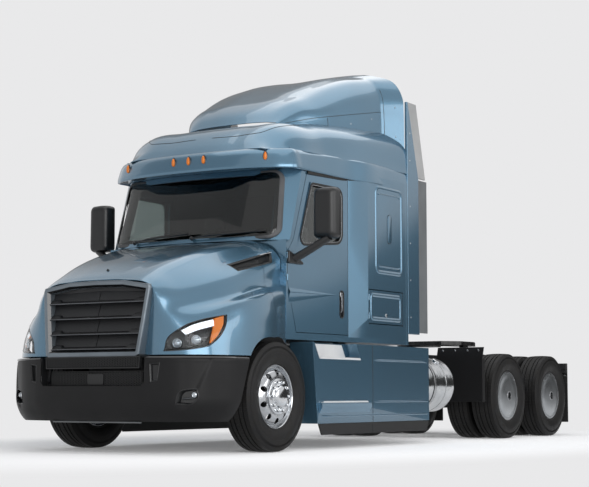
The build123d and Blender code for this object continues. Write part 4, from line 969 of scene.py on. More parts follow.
# Satin aluminium of kick plates and treads: its own pale colour, raised to near white and kept mostly matt as a painted
# reflection of the bright surround.
ALUMINIUM_PAINTED_REFLECTION = Finish("satin_bright_aluminium", "#eceded", "#dcddde", metallic=0.25, roughness=0.4, swing=0.05, grain=4.0,
                relief=0.1)
# The same grey rubber painted lighter on the upper extender edges: painted light falling on them from above.
EDGE_RUBBER_PAINTED_LIGHT = Finish("grey_rubber_painted_light", "#a6a6a6", "#999a9a", roughness=0.6, swing=0.05, grain=3.0, relief=0.15)
# Moulded black ABS: darker and a little glossier.
BLACK = Finish("moulded_black_abs", "#17181a", "#131415", roughness=0.38, swing=0.05, grain=1.2, relief=0.12)
# Black ABS with a high shine, on trims round the lamps and the roof lights.
GLOSS_BLACK = Finish("polished_black_abs", "#0d0e10", "#101113", roughness=0.12, swing=0.03, coat=0.4, grain=6,
                     relief=0.02)
# Grey satin lacquer on lamp cups and brackets: a dull metallic sheen.
GUNMETAL = Finish("satin_gunmetal_lacquer", "#3b3e42", "#34373a", metallic=0.55, roughness=0.34, swing=0.04,
                  coat=0.25, coat_roughness=0.2, grain=1.5, relief=0.06)
# The same lacquer painted lighter: a painted highlight where the grille blades' lips and the door handle levers catch
# the light.
GUNMETAL_PAINTED_HIGHLIGHT = Finish("gunmetal_lacquer_painted_highlight", "#6b6e72", "#5c5f63", metallic=0.6, roughness=0.3, swing=0.04,
                        grain=1.5, relief=0.05)
# Louvre panels behind the grille.
PANEL = Finish("grained_black_polypropylene", "#222325", "#1e1f21", roughness=0.5, swing=0.05, grain=1.6, relief=0.2)
# Thick projector lens over a plated reflector: reads as bright glass.
PROJECTOR = Finish("moulded_projector_glass", "#9aa2a9", "#ccd2d7", metallic=0.8, roughness=0.06, swing=0.02, coat=1.0,
                   patch=30, grain=20, relief=0.02)
# Plated ABS trims: mirror bright with a trace of orange peel.
CHROME = Finish("bright_chrome_plate", "#d9dbdd", "#cfd2d5", metallic=1.0, roughness=0.09, swing=0.03, grain=12,
                relief=0.04)
# Forged aluminium wheels, machine polished.
WHEEL = SpunMetal("polished_forged_aluminium", "#c9cbce", "#b4b7ba", metallic=1.0, roughness=0.19, swing=0.07,
                  relief=0.25, patch=60, centre=(STEER, 0.0, AXLE_Z))
# Spun aluminium covers of the drive wheels: satin, with lathe rings.
COVERS = {
    axle: SpunMetal(f"satin_spun_aluminium_{axle}", "#b6babd", "#a7abae", metallic=1.0, roughness=0.33, swing=0.07,
                    relief=0.4, patch=120, ring=7.0, centre=(x, 0.0, AXLE_Z))
    for axle, x in DRIVES.items()
}
# Sheet aluminium of the fuel tanks, mirror polished, with a slight waviness from rolling.
TANK = Finish("polished_sheet_aluminium", "#cfd1d3", "#bcbfc2", metallic=1.0, roughness=0.14, swing=0.05, patch=160,
              grain=40, relief=0.12)
# Brushed stainless steel of straps, trims, screws and drive discs.
STEEL = Finish("brushed_stainless_steel", "#b9bbbd", "#a9abad", metallic=1.0, roughness=0.27, swing=0.06, patch=50,
               grain=1.5, relief=0.1)
# Deck plate.
TREAD_PLATE = TreadPlate("rolled_tread_aluminium", "#9b9da0", metallic=1.0, roughness=0.34, swing=0.1, relief=0.6)
# Vulcanised tyre rubber: dull, faintly brown where it has bloomed.
RUBBER_TYRE = Finish("vulcanised_tyre_rubber", "#171718", "#1c1b1a", ior=1.32, roughness=0.52, swing=0.08, patch=90,
                     grain=2.5, relief=0.3)
# Extruded door and glass seals, and the flexible skirts.
SEAL = Finish("extruded_black_rubber", "#121213", "#161616", roughness=0.55, swing=0.06, grain=2.0, relief=0.15)
# The windscreen's grey gasket.
SCREEN_RUBBER = Finish("moulded_grey_gasket_rubber", "#4c4d4f", "#434446", roughness=0.48, swing=0.05, grain=2.0,
                       relief=0.1)
# Flexible grey edges behind the cab.
EDGE_RUBBER = Finish("flexible_grey_rubber", "#66696b", "#5c5f61", roughness=0.55, swing=0.05, grain=3.0, relief=0.15)
# Semi-gloss black chassis enamel over rolled steel.
CHASSIS = Finish("semi_gloss_chassis_enamel", "#17181a", "#1d1e20", roughness=0.36, swing=0.08, patch=200, grain=3.0,
                 relief=0.14)
# Moulded mud flaps, a little ribbed by their mould.
FLAP = Finish("moulded_flap_rubber", "#1b1b1c", "#202020", roughness=0.5, swing=0.06, grain=5.0, relief=0.3)
# Red tail lens over a reflector.
RED_LENS = Finish("red_reflex_acrylic", "#8f1512", "#b32019", roughness=0.14, coat=1.0, patch=9, grain=4, relief=0.3)
# Sand-cast iron under a thin grey coat.
CAST = Finish("sand_cast_iron", "#3a3b3c", "#2b2b2c", metallic=0.35, roughness=0.58, swing=0.09, patch=60, grain=2.5,
              relief=0.45)
# Greased bearing face of the fifth wheel, rubbed to bare metal.
GREASED = Finish("greased_ductile_iron", "#2a2a2b", "#474746", metallic=0.7, roughness=0.34, swing=0.12, patch=90,
                 grain=4.0, relief=0.2)
# Grained interior plastic.
TRIM = Finish("grained_grey_polypropylene", "#2e2f32", "#35363a", roughness=0.62, swing=0.05, grain=2.2, relief=0.3)
# Woven covers of the seats and the mattress: matt, with coarse threads.
CLOTH = Weave("woven_seat_cloth", "#38393d", "#56585c", roughness=0.85, relief=0.4)
QUILT = Weave("quilted_mattress_cloth", "#8a8c90", "#a5a7aa", roughness=0.9, relief=0.35, thread=9.0)
# Laminated screen and tempered side glass, with a green-grey tint.
GLASS = ClearSheet("tinted_safety_glass", "#6f7978", roughness=0.0, relief=0.01)
SIDE_GLASS = ClearSheet("clear_tempered_glass", "#dbe4e1", roughness=0.0, relief=0.03)
# Hard-coated polycarbonate lamp lens.
LENS = ClearSheet("clear_polycarbonate", "#f2f5f7", roughness=0.0, relief=0.02, ior=1.22)
# Lit light guides and marker lamps, which glow a little.
LIT = Finish("opal_light_guide", "#f4f7fa", roughness=0.2, glow=0.55, relief=0.0)
LIT_AMBER = Finish("amber_light_guide", "#d8741c", roughness=0.25, glow=0.12, relief=0.0)
# Silvered glass of the mirrors.
MIRROR = Finish("silvered_mirror_glass", "#c8cccf", "#c2c6c9", metallic=1.0, roughness=0.03, swing=0.01, grain=60,
                relief=0.01)


@dataclass
class Wheel:
    """One wheel with its tyre, built outwards from the tyre's middle plane."""

    name: str
    body: str
    centre: tuple[float, float, float]
    side: int                      # 1 on the left, -1 on the right
    facing: int = 1                # 1 where the wheel's face looks outwards

    def turned(self, profile: Sequence[tuple[float, float]], steps: int = 96) -> Form:
        """A profile of (radius, distance outwards) turned about the axle."""
        return Form().lathe([(r, w * self.side * self.facing) for r, w in profile], self.centre, steps)


@dataclass
class Tyre:
    """Truck tyre with straight ribs cut into blocks by fine slits, and ringed sidewalls with a serrated band."""

    half: float = 0.149
    outer: float = 0.509
    base: float = 0.4955           # floor of the grooves
    ribs: Sequence = ((-.128, -.083), (-.073, -.038), (-.028, .028), (.038, .073), (.083, .128))
    blocks: int = 84
    slit: float = 0.0016
    sidewall: Sequence = ((.288, .110), (.293, .121), (.303, .1275), (.310, .126), (.330, .1345), (.352, .1425),
                          (.380, .1480), (.398, .1490), (.402, .1487), (.4035, .1470), (.440, .1455), (.444, .1432),
                          (.468, .1400), (.470, .1375), (.484, .1335), (.490, .1300))

    def build(self, wheel: Wheel, node: str | None) -> None:
        """Makes a wheel's tyre.

        Args:
            wheel: the wheel.
            node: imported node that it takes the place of, if any.
        """
        right = [(r, -w) for r, w in self.sidewall]
        profile = [*self.sidewall, (self.base, .127), (self.base, -.127), *reversed(right)]
        carcass = wheel.turned(profile, 128).thing(f"{wheel.name}_tyre")
        dress(carcass, RUBBER_TYRE, wheel.body, [node] if node else [], smooth=35)
        half_turn = math.pi / self.blocks - self.slit / self.outer / 2
        block = Form()
        for low, high in self.ribs:
            rows = []
            for w in (low, low + .002, high - .002, high):
                crown = self.outer - .0004 - .006 * (w / .128) ** 2 - (.0022 if w in (low, high) else 0)
                row = []
                for r, t in ((self.base - .004, -half_turn), (crown, -half_turn), (crown, half_turn),
                             (self.base - .004, half_turn)):
                    row.append((r * math.cos(t), w, r * math.sin(t)))
                rows.append(row)
            block.cage(rows)
        Copies(Layout.RING, self.blocks, start=wheel.centre).make(f"{wheel.name}_tread", block, RUBBER_TYRE, wheel.body)
        tooth = Form()
        for way in WAYS:
            ring = [(.4455, .1425), (.4455, .1462), (.4655, .1432), (.4655, .1395)]
            t = .0042
            tooth.cage([[(r * math.cos(a), w * way, r * math.sin(a)) for r, w in ring] for a in (-t, t)])
        Copies(Layout.RING, 180, start=wheel.centre).make(f"{wheel.name}_serration", tooth, RUBBER_TYRE, wheel.body)


@dataclass
class SteerWheel:
    """Polished forged wheel with ten hand holes, a bright nut cover and a domed cap."""

    rim: Sequence = ((.2865, .095), (.298, .103), (.2995, .111), (.297, .1175), (.2895, .1185), (.2845, .114),
                     (.281, .104), (.277, .090), (.272, .083), (.264, .084), (.254, .097), (.241, .116), (.224, .129),
                     (.203, .1355), (.170, .137), (.060, .137), (.060, .113), (.170, .113), (.200, .111),
                     (.222, .104), (.240, .088), (.250, .066), (.256, .030), (.262, -.040), (.270, -.085),
                     (.281, -.104), (.2845, -.114), (.2895, -.1185), (.297, -.1175), (.2995, -.111), (.298, -.103),
                     (.2865, -.095), (.2855, 0))
    cover: Sequence = ((.158, .1375), (.165, .1385), (.1665, .143), (.1655, .149), (.160, .1525), (.118, .1555),
                       (.108, .158), (.102, .164), (.099, .176), (.094, .186), (.084, .192), (.060, .1965),
                       (.030, .1985), (.0001, .199), (.0001, .140))
    holes: int = 10
    hole_circle: float = 0.2225
    hole: float = 0.0275

    def build(self, wheel: Wheel, node: str) -> None:
        """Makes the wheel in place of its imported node.

        Args:
            wheel: the wheel.
            node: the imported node.
        """
        disc = wheel.turned(self.rim, 128).thing(f"{wheel.name}_disc")
        cutter = Form()
        for k in range(self.holes):
            a = 2 * math.pi * (k + .5) / self.holes
            cx = wheel.centre[0] + self.hole_circle * math.cos(a)
            cz = wheel.centre[2] + self.hole_circle * math.sin(a)
            ring = [(cx + self.hole * math.cos(b), cz + self.hole * math.sin(b))
                    for b in (2 * math.pi * j / 28 for j in range(28))]
            y = wheel.centre[1]
            low, high = (y + .05, y + .2) if wheel.side > 0 else (y - .2, y - .05)
            cutter.prism(ring, "y", low, high)
        carve(disc, cutter)
        dress(disc, WHEEL, wheel.body, [node], edge=.0028, smooth=40)
        cover = wheel.turned(self.cover, 96).thing(f"{wheel.name}_hub_cover")
        dress(cover, CHROME, wheel.body, edge=.001, smooth=35)
        out = wheel.side
        nut = Form().lathe([(.0155, .148 * out), (.0155, .172 * out), (.0120, .181 * out), (.006, .1845 * out),
                            (.0001, .185 * out), (.0001, .148 * out)], (.134, 0, 0), 12)
        Copies(Layout.RING, 10, start=wheel.centre).make(f"{wheel.name}_nut_caps", nut, CHROME, wheel.body, smooth=35)
        stud = Form().lathe([(.004, .19 * out), (.004, .196 * out), (.0001, .1966 * out), (.0001, .19 * out)],
                            (.052, 0, 0), 8)
        Copies(Layout.RING, 6, start=wheel.centre).make(f"{wheel.name}_cap_screws", stud, STEEL, wheel.body)


@dataclass
class DriveWheels:
    """A pair of wheels on one end of a drive axle, the outer one under a spun cover with a central opening."""

    spacing: float = 0.330
    rim: Sequence = ((.2865, .095), (.298, .103), (.2995, .111), (.297, .1175), (.2895, .1185), (.2845, .114),
                     (.278, .096), (.264, .060), (.256, .000), (.250, -.040), (.235, -.080), (.200, -.100),
                     (.170, -.104), (.060, -.104), (.060, -.120), (.200, -.118), (.250, -.112), (.281, -.106),
                     (.2845, -.114), (.2895, -.1185), (.297, -.1175), (.2995, -.111), (.298, -.103), (.2865, -.095))
    cover: Sequence = ((.2835, .110), (.2865, .1155), (.2855, .1195), (.279, .1215), (.262, .1190), (.254, .1200),
                       (.235, .1270), (.200, .1345), (.150, .1395), (.095, .1420), (.060, .1428), (.050, .1430),
                       (.046, .1405), (.0445, .1350), (.0445, .1250), (.0470, .1250), (.060, .1400), (.095, .1392),
                       (.150, .1368), (.200, .1318), (.235, .1243), (.262, .1155), (.279, .1150))

    def build(self, name: str, body: str, x: float, side: int, middle: float) -> None:
        """Makes both wheels of one end.

        Args:
            name: end of the pieces' names, such as forward_left.
            body: the body that they ride on.
            x: the axle's place.
            side: 1 on the left, -1 on the right.
            middle: distance from the centre plane to the middle of the pair.
        """
        axle = "forward" if "forward" in name else "rear"
        tyre = Tyre()
        for label, y, facing in (("outer", middle + self.spacing / 2, 1), ("inner", middle - self.spacing / 2, -1)):
            wheel = Wheel(f"drive_{name}_{label}", body, (x, y * side, AXLE_Z), side, facing)
            tyre.build(wheel, f"drive_tyres_{name}" if label == "outer" else None)
            disc = wheel.turned(self.rim, 96).thing(f"{wheel.name}_disc")
            dress(disc, STEEL, body, [f"drive_wheel_{name}"] if label == "outer" else [], smooth=40)
            if label == "outer":
                dress(wheel.turned(self.cover, 128).thing(f"{wheel.name}_cover"), COVERS[axle], body, smooth=50)
                hub = wheel.turned([(.0001, -.09), (.0001, .118), (.020, .1175), (.030, .113), (.034, .100),
                                    (.110, .060), (.120, -.06), (.120, -.09)], 64)
                dress(hub.thing(f"{wheel.name}_hub"), CHASSIS, body, smooth=35)
                ring = wheel.turned([(.0445, .134), (.0445, .1445), (.0475, .1465), (.0535, .1455), (.0555, .1425),
                                     (.052, .1395)], 64)
                dress(ring.thing(f"{wheel.name}_cover_ring"), STEEL, body, smooth=50)
                out = side
                screw = Form().lathe([(.0065, .118 * out), (.0065, .1235 * out), (.004, .125 * out),
                                      (.0001, .125 * out), (.0001, .118 * out)], (.2700, 0, 0), 8)
                Copies(Layout.RING, 8, start=wheel.centre).make(f"{wheel.name}_cover_screws", screw, STEEL, body)


@dataclass
class Wheels:
    """All ten wheels."""

    steer_y: float = 1.046
    drive_y: float = 0.923

    def build(self) -> None:
        """Makes the wheels of the three axles."""
        tyre, steer = Tyre(), SteerWheel()
        for label, side in SIDES.items():
            wheel = Wheel(f"steer_{label}", f"steer_wheel_{label}", (STEER, self.steer_y * side, AXLE_Z), side)
            tyre.build(wheel, f"steer_tyre_{label}")
            steer.build(wheel, f"steer_wheel_{label}")
            for axle, x in DRIVES.items():
                DriveWheels().build(f"{axle}_{label}", f"drive_wheel_{axle}_{label}", x, side, self.drive_y)


@dataclass
class Hood:
    """One-piece tilting hood and the cowl behind it, with the wheel arches, the creases and the side vents."""

    wall: float = 0.012
    seam: tuple[float, float] = (-0.0355, -0.0295)     # cowl's front edge and hood's rear edge, ahead
    crease: tuple[int, int] = (2, 3)                   # points of a section either side of the raised centre
    sections: Sequence = (
        (1.170, ((0, 1.560), (.300, 1.552), (.585, 1.502), (.606, 1.490), (.668, 1.390), (.690, 1.290), (.706, 1.200),
                 (.722, 1.110), (.742, 1.000), (.760, .876))),
        (.950, ((0, 1.692), (.310, 1.680), (.612, 1.622), (.632, 1.608), (.790, 1.455), (.868, 1.312), (.950, 1.245),
                (1.010, 1.150), (1.055, 1.050), (1.085, .876))),
        (.600, ((0, 1.828), (.340, 1.815), (.668, 1.764), (.690, 1.748), (.925, 1.560), (1.022, 1.388),
                (1.098, 1.335), (1.140, 1.230), (1.165, 1.100), (1.185, .876))),
        (.150, ((0, 1.950), (.380, 1.938), (.745, 1.888), (.770, 1.870), (.985, 1.670), (1.042, 1.500),
                (1.118, 1.440), (1.160, 1.320), (1.185, 1.120), (1.200, .876))),
        (-.330, ((0, 2.018), (.440, 2.010), (.865, 1.975), (.890, 1.960), (.995, 1.830), (1.004, 1.565),
                 (1.050, 1.500), (1.058, 1.350), (1.062, 1.150), (1.065, .876))))
    opening: Sequence = ((0, 1.545), (.300, 1.540), (.575, 1.485), (.590, 1.470), (.600, 1.380), (.590, 1.290),
                         (.575, 1.195), (.562, 1.100), (.545, 1.000), (.530, .876))
    arch: Sequence = ((-.52, .70), (-.475, .876), (-.40, .965), (-.29, 1.030), (-.12, 1.059), (.0, 1.0605),
                      (.12, 1.059), (.29, 1.030), (.40, .965), (.475, .876), (.52, .70))
    lamp: Sequence = ((1.162, .905), (1.139, 1.046), (1.061, 1.134), (.960, 1.180), (.840, 1.212), (.711, 1.235),
                      (.752, 1.140), (.845, 1.030), (.945, .950), (1.060, .921))
    lamp_corners: Sequence[int] = (0, 5, 8)
    vent: Sequence = ((.372, 1.718), (-.250, 1.884), (-.185, 1.768), (.318, 1.655))

    def half_section(self, place: float, points: Sequence) -> list[Vector]:
        """A section's points on the left side."""
        return [Vector((at(place), y, z)) for y, z in points]

    def skin(self) -> bpy.types.Object:
        """The outer surface, with its front edge turned in round the grille."""
        ahead, outer = self.sections[0]
        following, second = self.sections[1]
        share = 0.09
        rows = [self.half_section(1.158, self.opening)]
        rows.append([Vector((at(ahead - 0.001), a[0] * .72 + b[0] * .28, a[1] * .72 + b[1] * .28 if i < 9 else .876))
                     for i, (a, b) in enumerate(zip(outer, self.opening))])
        rows.append([Vector((at(ahead + (following - ahead) * share), a[0] + (b[0] - a[0]) * share,
                             a[1] + (b[1] - a[1]) * share)) for a, b in zip(outer, second)])
        rows += [self.half_section(place, points) for place, points in self.sections[1:]]
        rows = [[Vector((min(p.x, at(1.1695)), p.y, p.z)) for p in row] for row in surface(rows, 9, 7)]
        return Form().grid([whole(row) for row in rows]).thing("hood_skin")

    def outline(self, points: Sequence, steps: int = 5, corners: Iterable[int] = ()) -> list:
        """A closed outline in the side view."""
        return smooth_outline([(at(x), z) for x, z in points], steps, corners)

    def arch_line(self) -> list:
        """The wheel arch in the side view."""
        return [(p.x, p.y) for p in through([(at(x), z, 0) for x, z in self.arch], 4)]

    def build(self) -> None:
        """Makes the hood, its arch lips and the cowl."""
        skin = self.skin()
        PROBES["hood"] = Probe(skin)
        shell = thicken(skin, self.wall)
        arch = self.arch_line()
        carve(shell, Form().prism(arch, "y", .55, 1.4).doubled())
        lamp = self.outline(self.lamp, 5, self.lamp_corners)
        carve(shell, Form().prism(lamp, "y", .60, 1.4).doubled())
        vent = self.outline(self.vent, 4, range(4))
        carve(shell, Form().prism(vent, "y", .70, 1.4).doubled())
        cowl = copy_of(shell, "cowl_shell")
        carve(shell, Form().block((at(self.seam[1]), at(1.2)), (-1.3, 1.3), (.5, 2.3)), Cut.KEEP)
        shell.name = "hood_shell"
        dress(shell, PAINT, "hood", ["hood"], edge=.0025, smooth=40)
        carve(cowl, Form().block((at(-.3295), at(self.seam[0])), (-1.3, 1.3), (.5, 2.3)), Cut.KEEP)
        arc = [(at(x), y) for x, y in ((-.335, 1.03), (-.285, .925), (-.200, .62), (-.155, .30), (-.150, 0))]
        house = [*arc, *[(x, -y) for x, y in reversed(arc[:-1])], (at(-.60), -1.03), (at(-.60), 1.03)]
        carve(cowl, Form().prism(house, "z", 1.7, 2.4))
        dress(cowl, PAINT, "truck", ["cowl"], edge=.0025, smooth=40)
        self.lips(arch)
        arms = rework("hood", "hood_hinge_arms")
        carve(arms, Form().block((at(1.0), at(1.3)), (-.62, .62), (.50, .876)), Cut.KEEP)
        dress(arms, CHASSIS, "hood", edge=.002)
        nozzle = Form().lathe([(.0001, .016), (.006, .015), (.015, .006), (.022, -.004)],
                              PROBES["hood"].nose(0.0, 1.655), 3, (.6, 0, .8))
        dress(nozzle.thing("hood_washer_nozzle"), BLACK, "hood", edge=.001)

    def lips(self, arch: list) -> None:
        """Turns the arches' edges inwards.

        Args:
            arch: the arch in the side view.
        """
        probe = PROBES["hood"]
        form = Form()
        for way in WAYS:
            rows = []
            for x, z in arch:
                if z < .880:
                    continue
                edge = probe.side(x, z)
                centre = Vector((at(0), edge.y, .55))
                inward = (centre - edge).normalized()
                rows.append([Vector((edge.x, (edge.y + dy) * way, edge.z)) + Vector((inward.x, 0, inward.z)) * d
                             for d, dy in ((-.004, -.004), (.004, -.0035), (.008, -.008), (.008, -.050), (.003, -.054),
                                           (-.004, -.050))])
            form.cage(rows)
        made = form.thing("hood_arch_lips")
        carve(made, Form().block((at(self.seam[1]), at(1.2)), (-1.3, 1.3), (.5, 2.3)), Cut.KEEP)
        dress(made, PAINT, "hood", smooth=50)


@dataclass
class SideVent:
    """Air outlet in the hood's flank, which runs on into the cowl: dark frame, mesh and a bright tip."""

    hood: Hood
    sink: float = 0.028
    seams: Sequence = (("hood", -.0285, .45), ("cowl", -.3295, -.0365))

    def build(self) -> None:
        """Makes frames, mesh and tips on both sides."""
        probe = PROBES["hood"]
        edge = self.hood.outline(self.hood.vent, 8, range(4))
        inner = shrunk(edge, .014)
        for name, low, high in self.seams:
            rows = []
            for outline, depth in ((edge, .016), (edge, -.0015), (shrunk(edge, .004), -.004), (inner, -.001),
                                   (shrunk(edge, .018), self.sink), (edge, self.sink)):
                rows.append([probe.side(x, z, depth) for x, z in outline])
            form = Form().grid(rows, closed=True, looped=True)
            form.join(Form().grid([[probe.side(x, z, self.sink + d) for x, z in shrunk(edge, .012)]
                                   for d in (0, .003)], closed=True)
                      .polygon([probe.side(x, z, self.sink) for x, z in shrunk(edge, .012)])
                      .polygon([probe.side(x, z, self.sink + .003) for x, z in shrunk(edge, .012)]))
            frame_piece = form.doubled().thing(f"{name}_vent_frames")
            sliced(frame_piece, at(low), at(high))
            body = "hood" if name == "hood" else "truck"
            dress(frame_piece, BLACK, body, smooth=40)
            self.mesh(name, body, at(low), at(high), probe, inner)
        tips = []
        for way in WAYS:
            for x, z in ((-.245, 1.873), (-.17, 1.858), (-.075, 1.834)):
                p = probe.side(at(x), z, -.004)
                tips.append(Vector((p.x, p.y * way, p.z)))
        form = Form()
        for run in (tips[:3], tips[3:]):
            form.tube(through(run, 6), .009, 8, .6)
        dress(form.thing("cowl_vent_tips"), CHROME, "truck", smooth=60)

    @staticmethod
    def mesh(name: str, body: str, low: float, high: float, probe: Probe, inner: list) -> None:
        """Crossed wires just above the vent's floor.

        Args:
            name: start of the piece's name.
            body: the body that it rides on.
            low: rear end.
            high: front end.
            probe: the hood's skin.
            inner: outline that the wires stay in.
        """
        form = Form()
        pitch = .017
        for lean in (.9, -.9):
            for k in range(-60, 60):
                start = Vector((low + k * pitch, 1.60))
                run = [start + Vector((lean * t, t)) for t in (i * .008 for i in range(38))]
                held = [p for p in run if low < p.x < high and inside(p, inner)]
                if len(held) > 1:
                    form.tube([probe.side(p.x, p.y, .020) for p in (held[0], held[-1])], .0016, 4)
        dress(form.doubled().thing(f"{name}_vent_mesh"), BLACK, body, smooth=60)


@dataclass
class Headlamps:
    """Headlamps set in the hood: clear lens, dark bowl, two projectors, a bright guide along the top, amber end."""

    hood: Hood
    depth: float = 0.105
    projectors: Sequence = ((1.105, .975), (1.005, 1.005))
    projector: float = 0.036

    def build(self) -> None:
        """Makes both lamps."""
        probe = PROBES["hood"]
        edge = self.hood.outline(self.hood.lamp, 7, self.hood.lamp_corners)
        gap = shrunk(edge, .0025)

        def sheet(outline: list, depth: float) -> list[Vector]:
            """An outline laid at a depth below the skin."""
            return [probe.side(x, z, depth) for x, z in outline]

        lens = Form()
        rings = [sheet(gap, .0075), sheet(gap, .0025), sheet(shrunk(edge, .006), .0005)]
        for by in (.02, .035, .05):
            rings.append(sheet(self.towards(edge, by), .0005))
        back = [sheet(self.towards(edge, by), .0065) for by in (.05, .035, .02, .006)]
        lens.grid(rings, closed=True).polygon(rings[-1])
        lens.grid([*back, rings[0]], closed=True).polygon(back[0])
        dress(lens.doubled().thing("headlamp_lenses"), LENS, "hood", ["headlamps"], smooth=40)
        walls = Form().grid([sheet(gap, .008), sheet(shrunk(edge, .006), .0085), sheet(shrunk(edge, .012), self.depth),
                             sheet(shrunk(edge, .008), self.depth + .004), sheet(gap, .02)], closed=True, looped=True)
        floor = sheet(shrunk(edge, .010), self.depth)
        walls.cage([floor, sheet(shrunk(edge, .010), self.depth + .004)])
        dress(walls.doubled().thing("headlamp_bowls"), BLACK, "hood", smooth=40)
        self.lights(probe)
        self.guides(probe)
        rim = Form().tube(sheet(shrunk(edge, .001), .001), .0035, 6, looped=True)
        dress(rim.doubled().thing("headlamp_seals"), GLOSS_BLACK, "hood", smooth=60)

    @staticmethod
    def towards(edge: list, share: float) -> list:
        """The outline drawn in towards its middle line, as concentric rings."""
        cx = sum(p[0] for p in edge) / len(edge)
        cz = sum(p[1] for p in edge) / len(edge)
        k = 1 - share * 14
        return [(cx + (x - cx) * k, cz + (z - cz) * k) for x, z in edge]

    def lights(self, probe: Probe) -> None:
        """Two projector eyes with bright rings in a stepped dark bezel."""
        glass, rings, cups = Form(), Form(), Form()
        for x, z in self.projectors:
            place = probe.side(at(x), z, .040)
            axis = Vector((.86, .5, .02)).normalized()
            r = self.projector
            place = place - axis * .012
            dome = [(0.0001, .004), (.0001, .022), (r * .45, .0195), (r * .75, .012), (r * .92, .004), (r * .92, 0)]
            glass.lathe(dome, place, 28, axis)
            rings.lathe([(r * .92, -.004), (r * .92, .007), (r * 1.03, .011), (r * 1.12, .009), (r * 1.14, -.004)],
                        place, 36, axis)
            cups.lathe([(r * 1.14, -.03), (r * 1.14, .004), (r * 1.3, .007), (r * 1.4, .0), (r * 1.4, -.03)], place, 36,
                       axis)
        dress(glass.doubled().thing("headlamp_projectors"), PROJECTOR, "hood", smooth=50)
        dress(rings.doubled().thing("headlamp_rings"), CHROME, "hood", smooth=50)
        dress(cups.doubled().thing("headlamp_cups"), GUNMETAL, "hood", smooth=50)

    def guides(self, probe: Probe) -> None:
        """The white light guide along the top and the amber lens at the outer end."""
        top = through([(1.083, 1.085, 0), (1.020, 1.130, 0), (.930, 1.165, 0), (.848, 1.187, 0)], 8)
        low = through([(1.067, 1.050, 0), (.995, 1.088, 0), (.925, 1.112, 0), (.862, 1.130, 0)], 8)
        rows = []
        for depth in (.010, .022):
            rows.append([probe.side(at(p.x), p.y, depth) for p in top])
            rows.append([probe.side(at(p.x), p.y, depth) for p in low])
        ring = [[rows[0][k], rows[1][k], rows[3][k], rows[2][k]] for k in range(len(top))]
        dress(Form().cage(ring).doubled().thing("headlamp_light_guides"), LIT, "hood", edge=.002, smooth=50)
        wedge = [(.835, 1.196), (.735, 1.226), (.765, 1.145), (.850, 1.040), (.925, .972), (.905, 1.030), (.868, 1.110)]
        amber = [(at(x), z) for x, z in wedge]
        rings = [[probe.side(x, z, d) for x, z in outline] for outline, d in
                 ((amber, .030), (amber, .014), (shrunk(amber, .006), .010))]
        dress(Form().cage(rings).doubled().thing("headlamp_amber_ends"), LIT_AMBER, "hood", edge=.002, smooth=50)


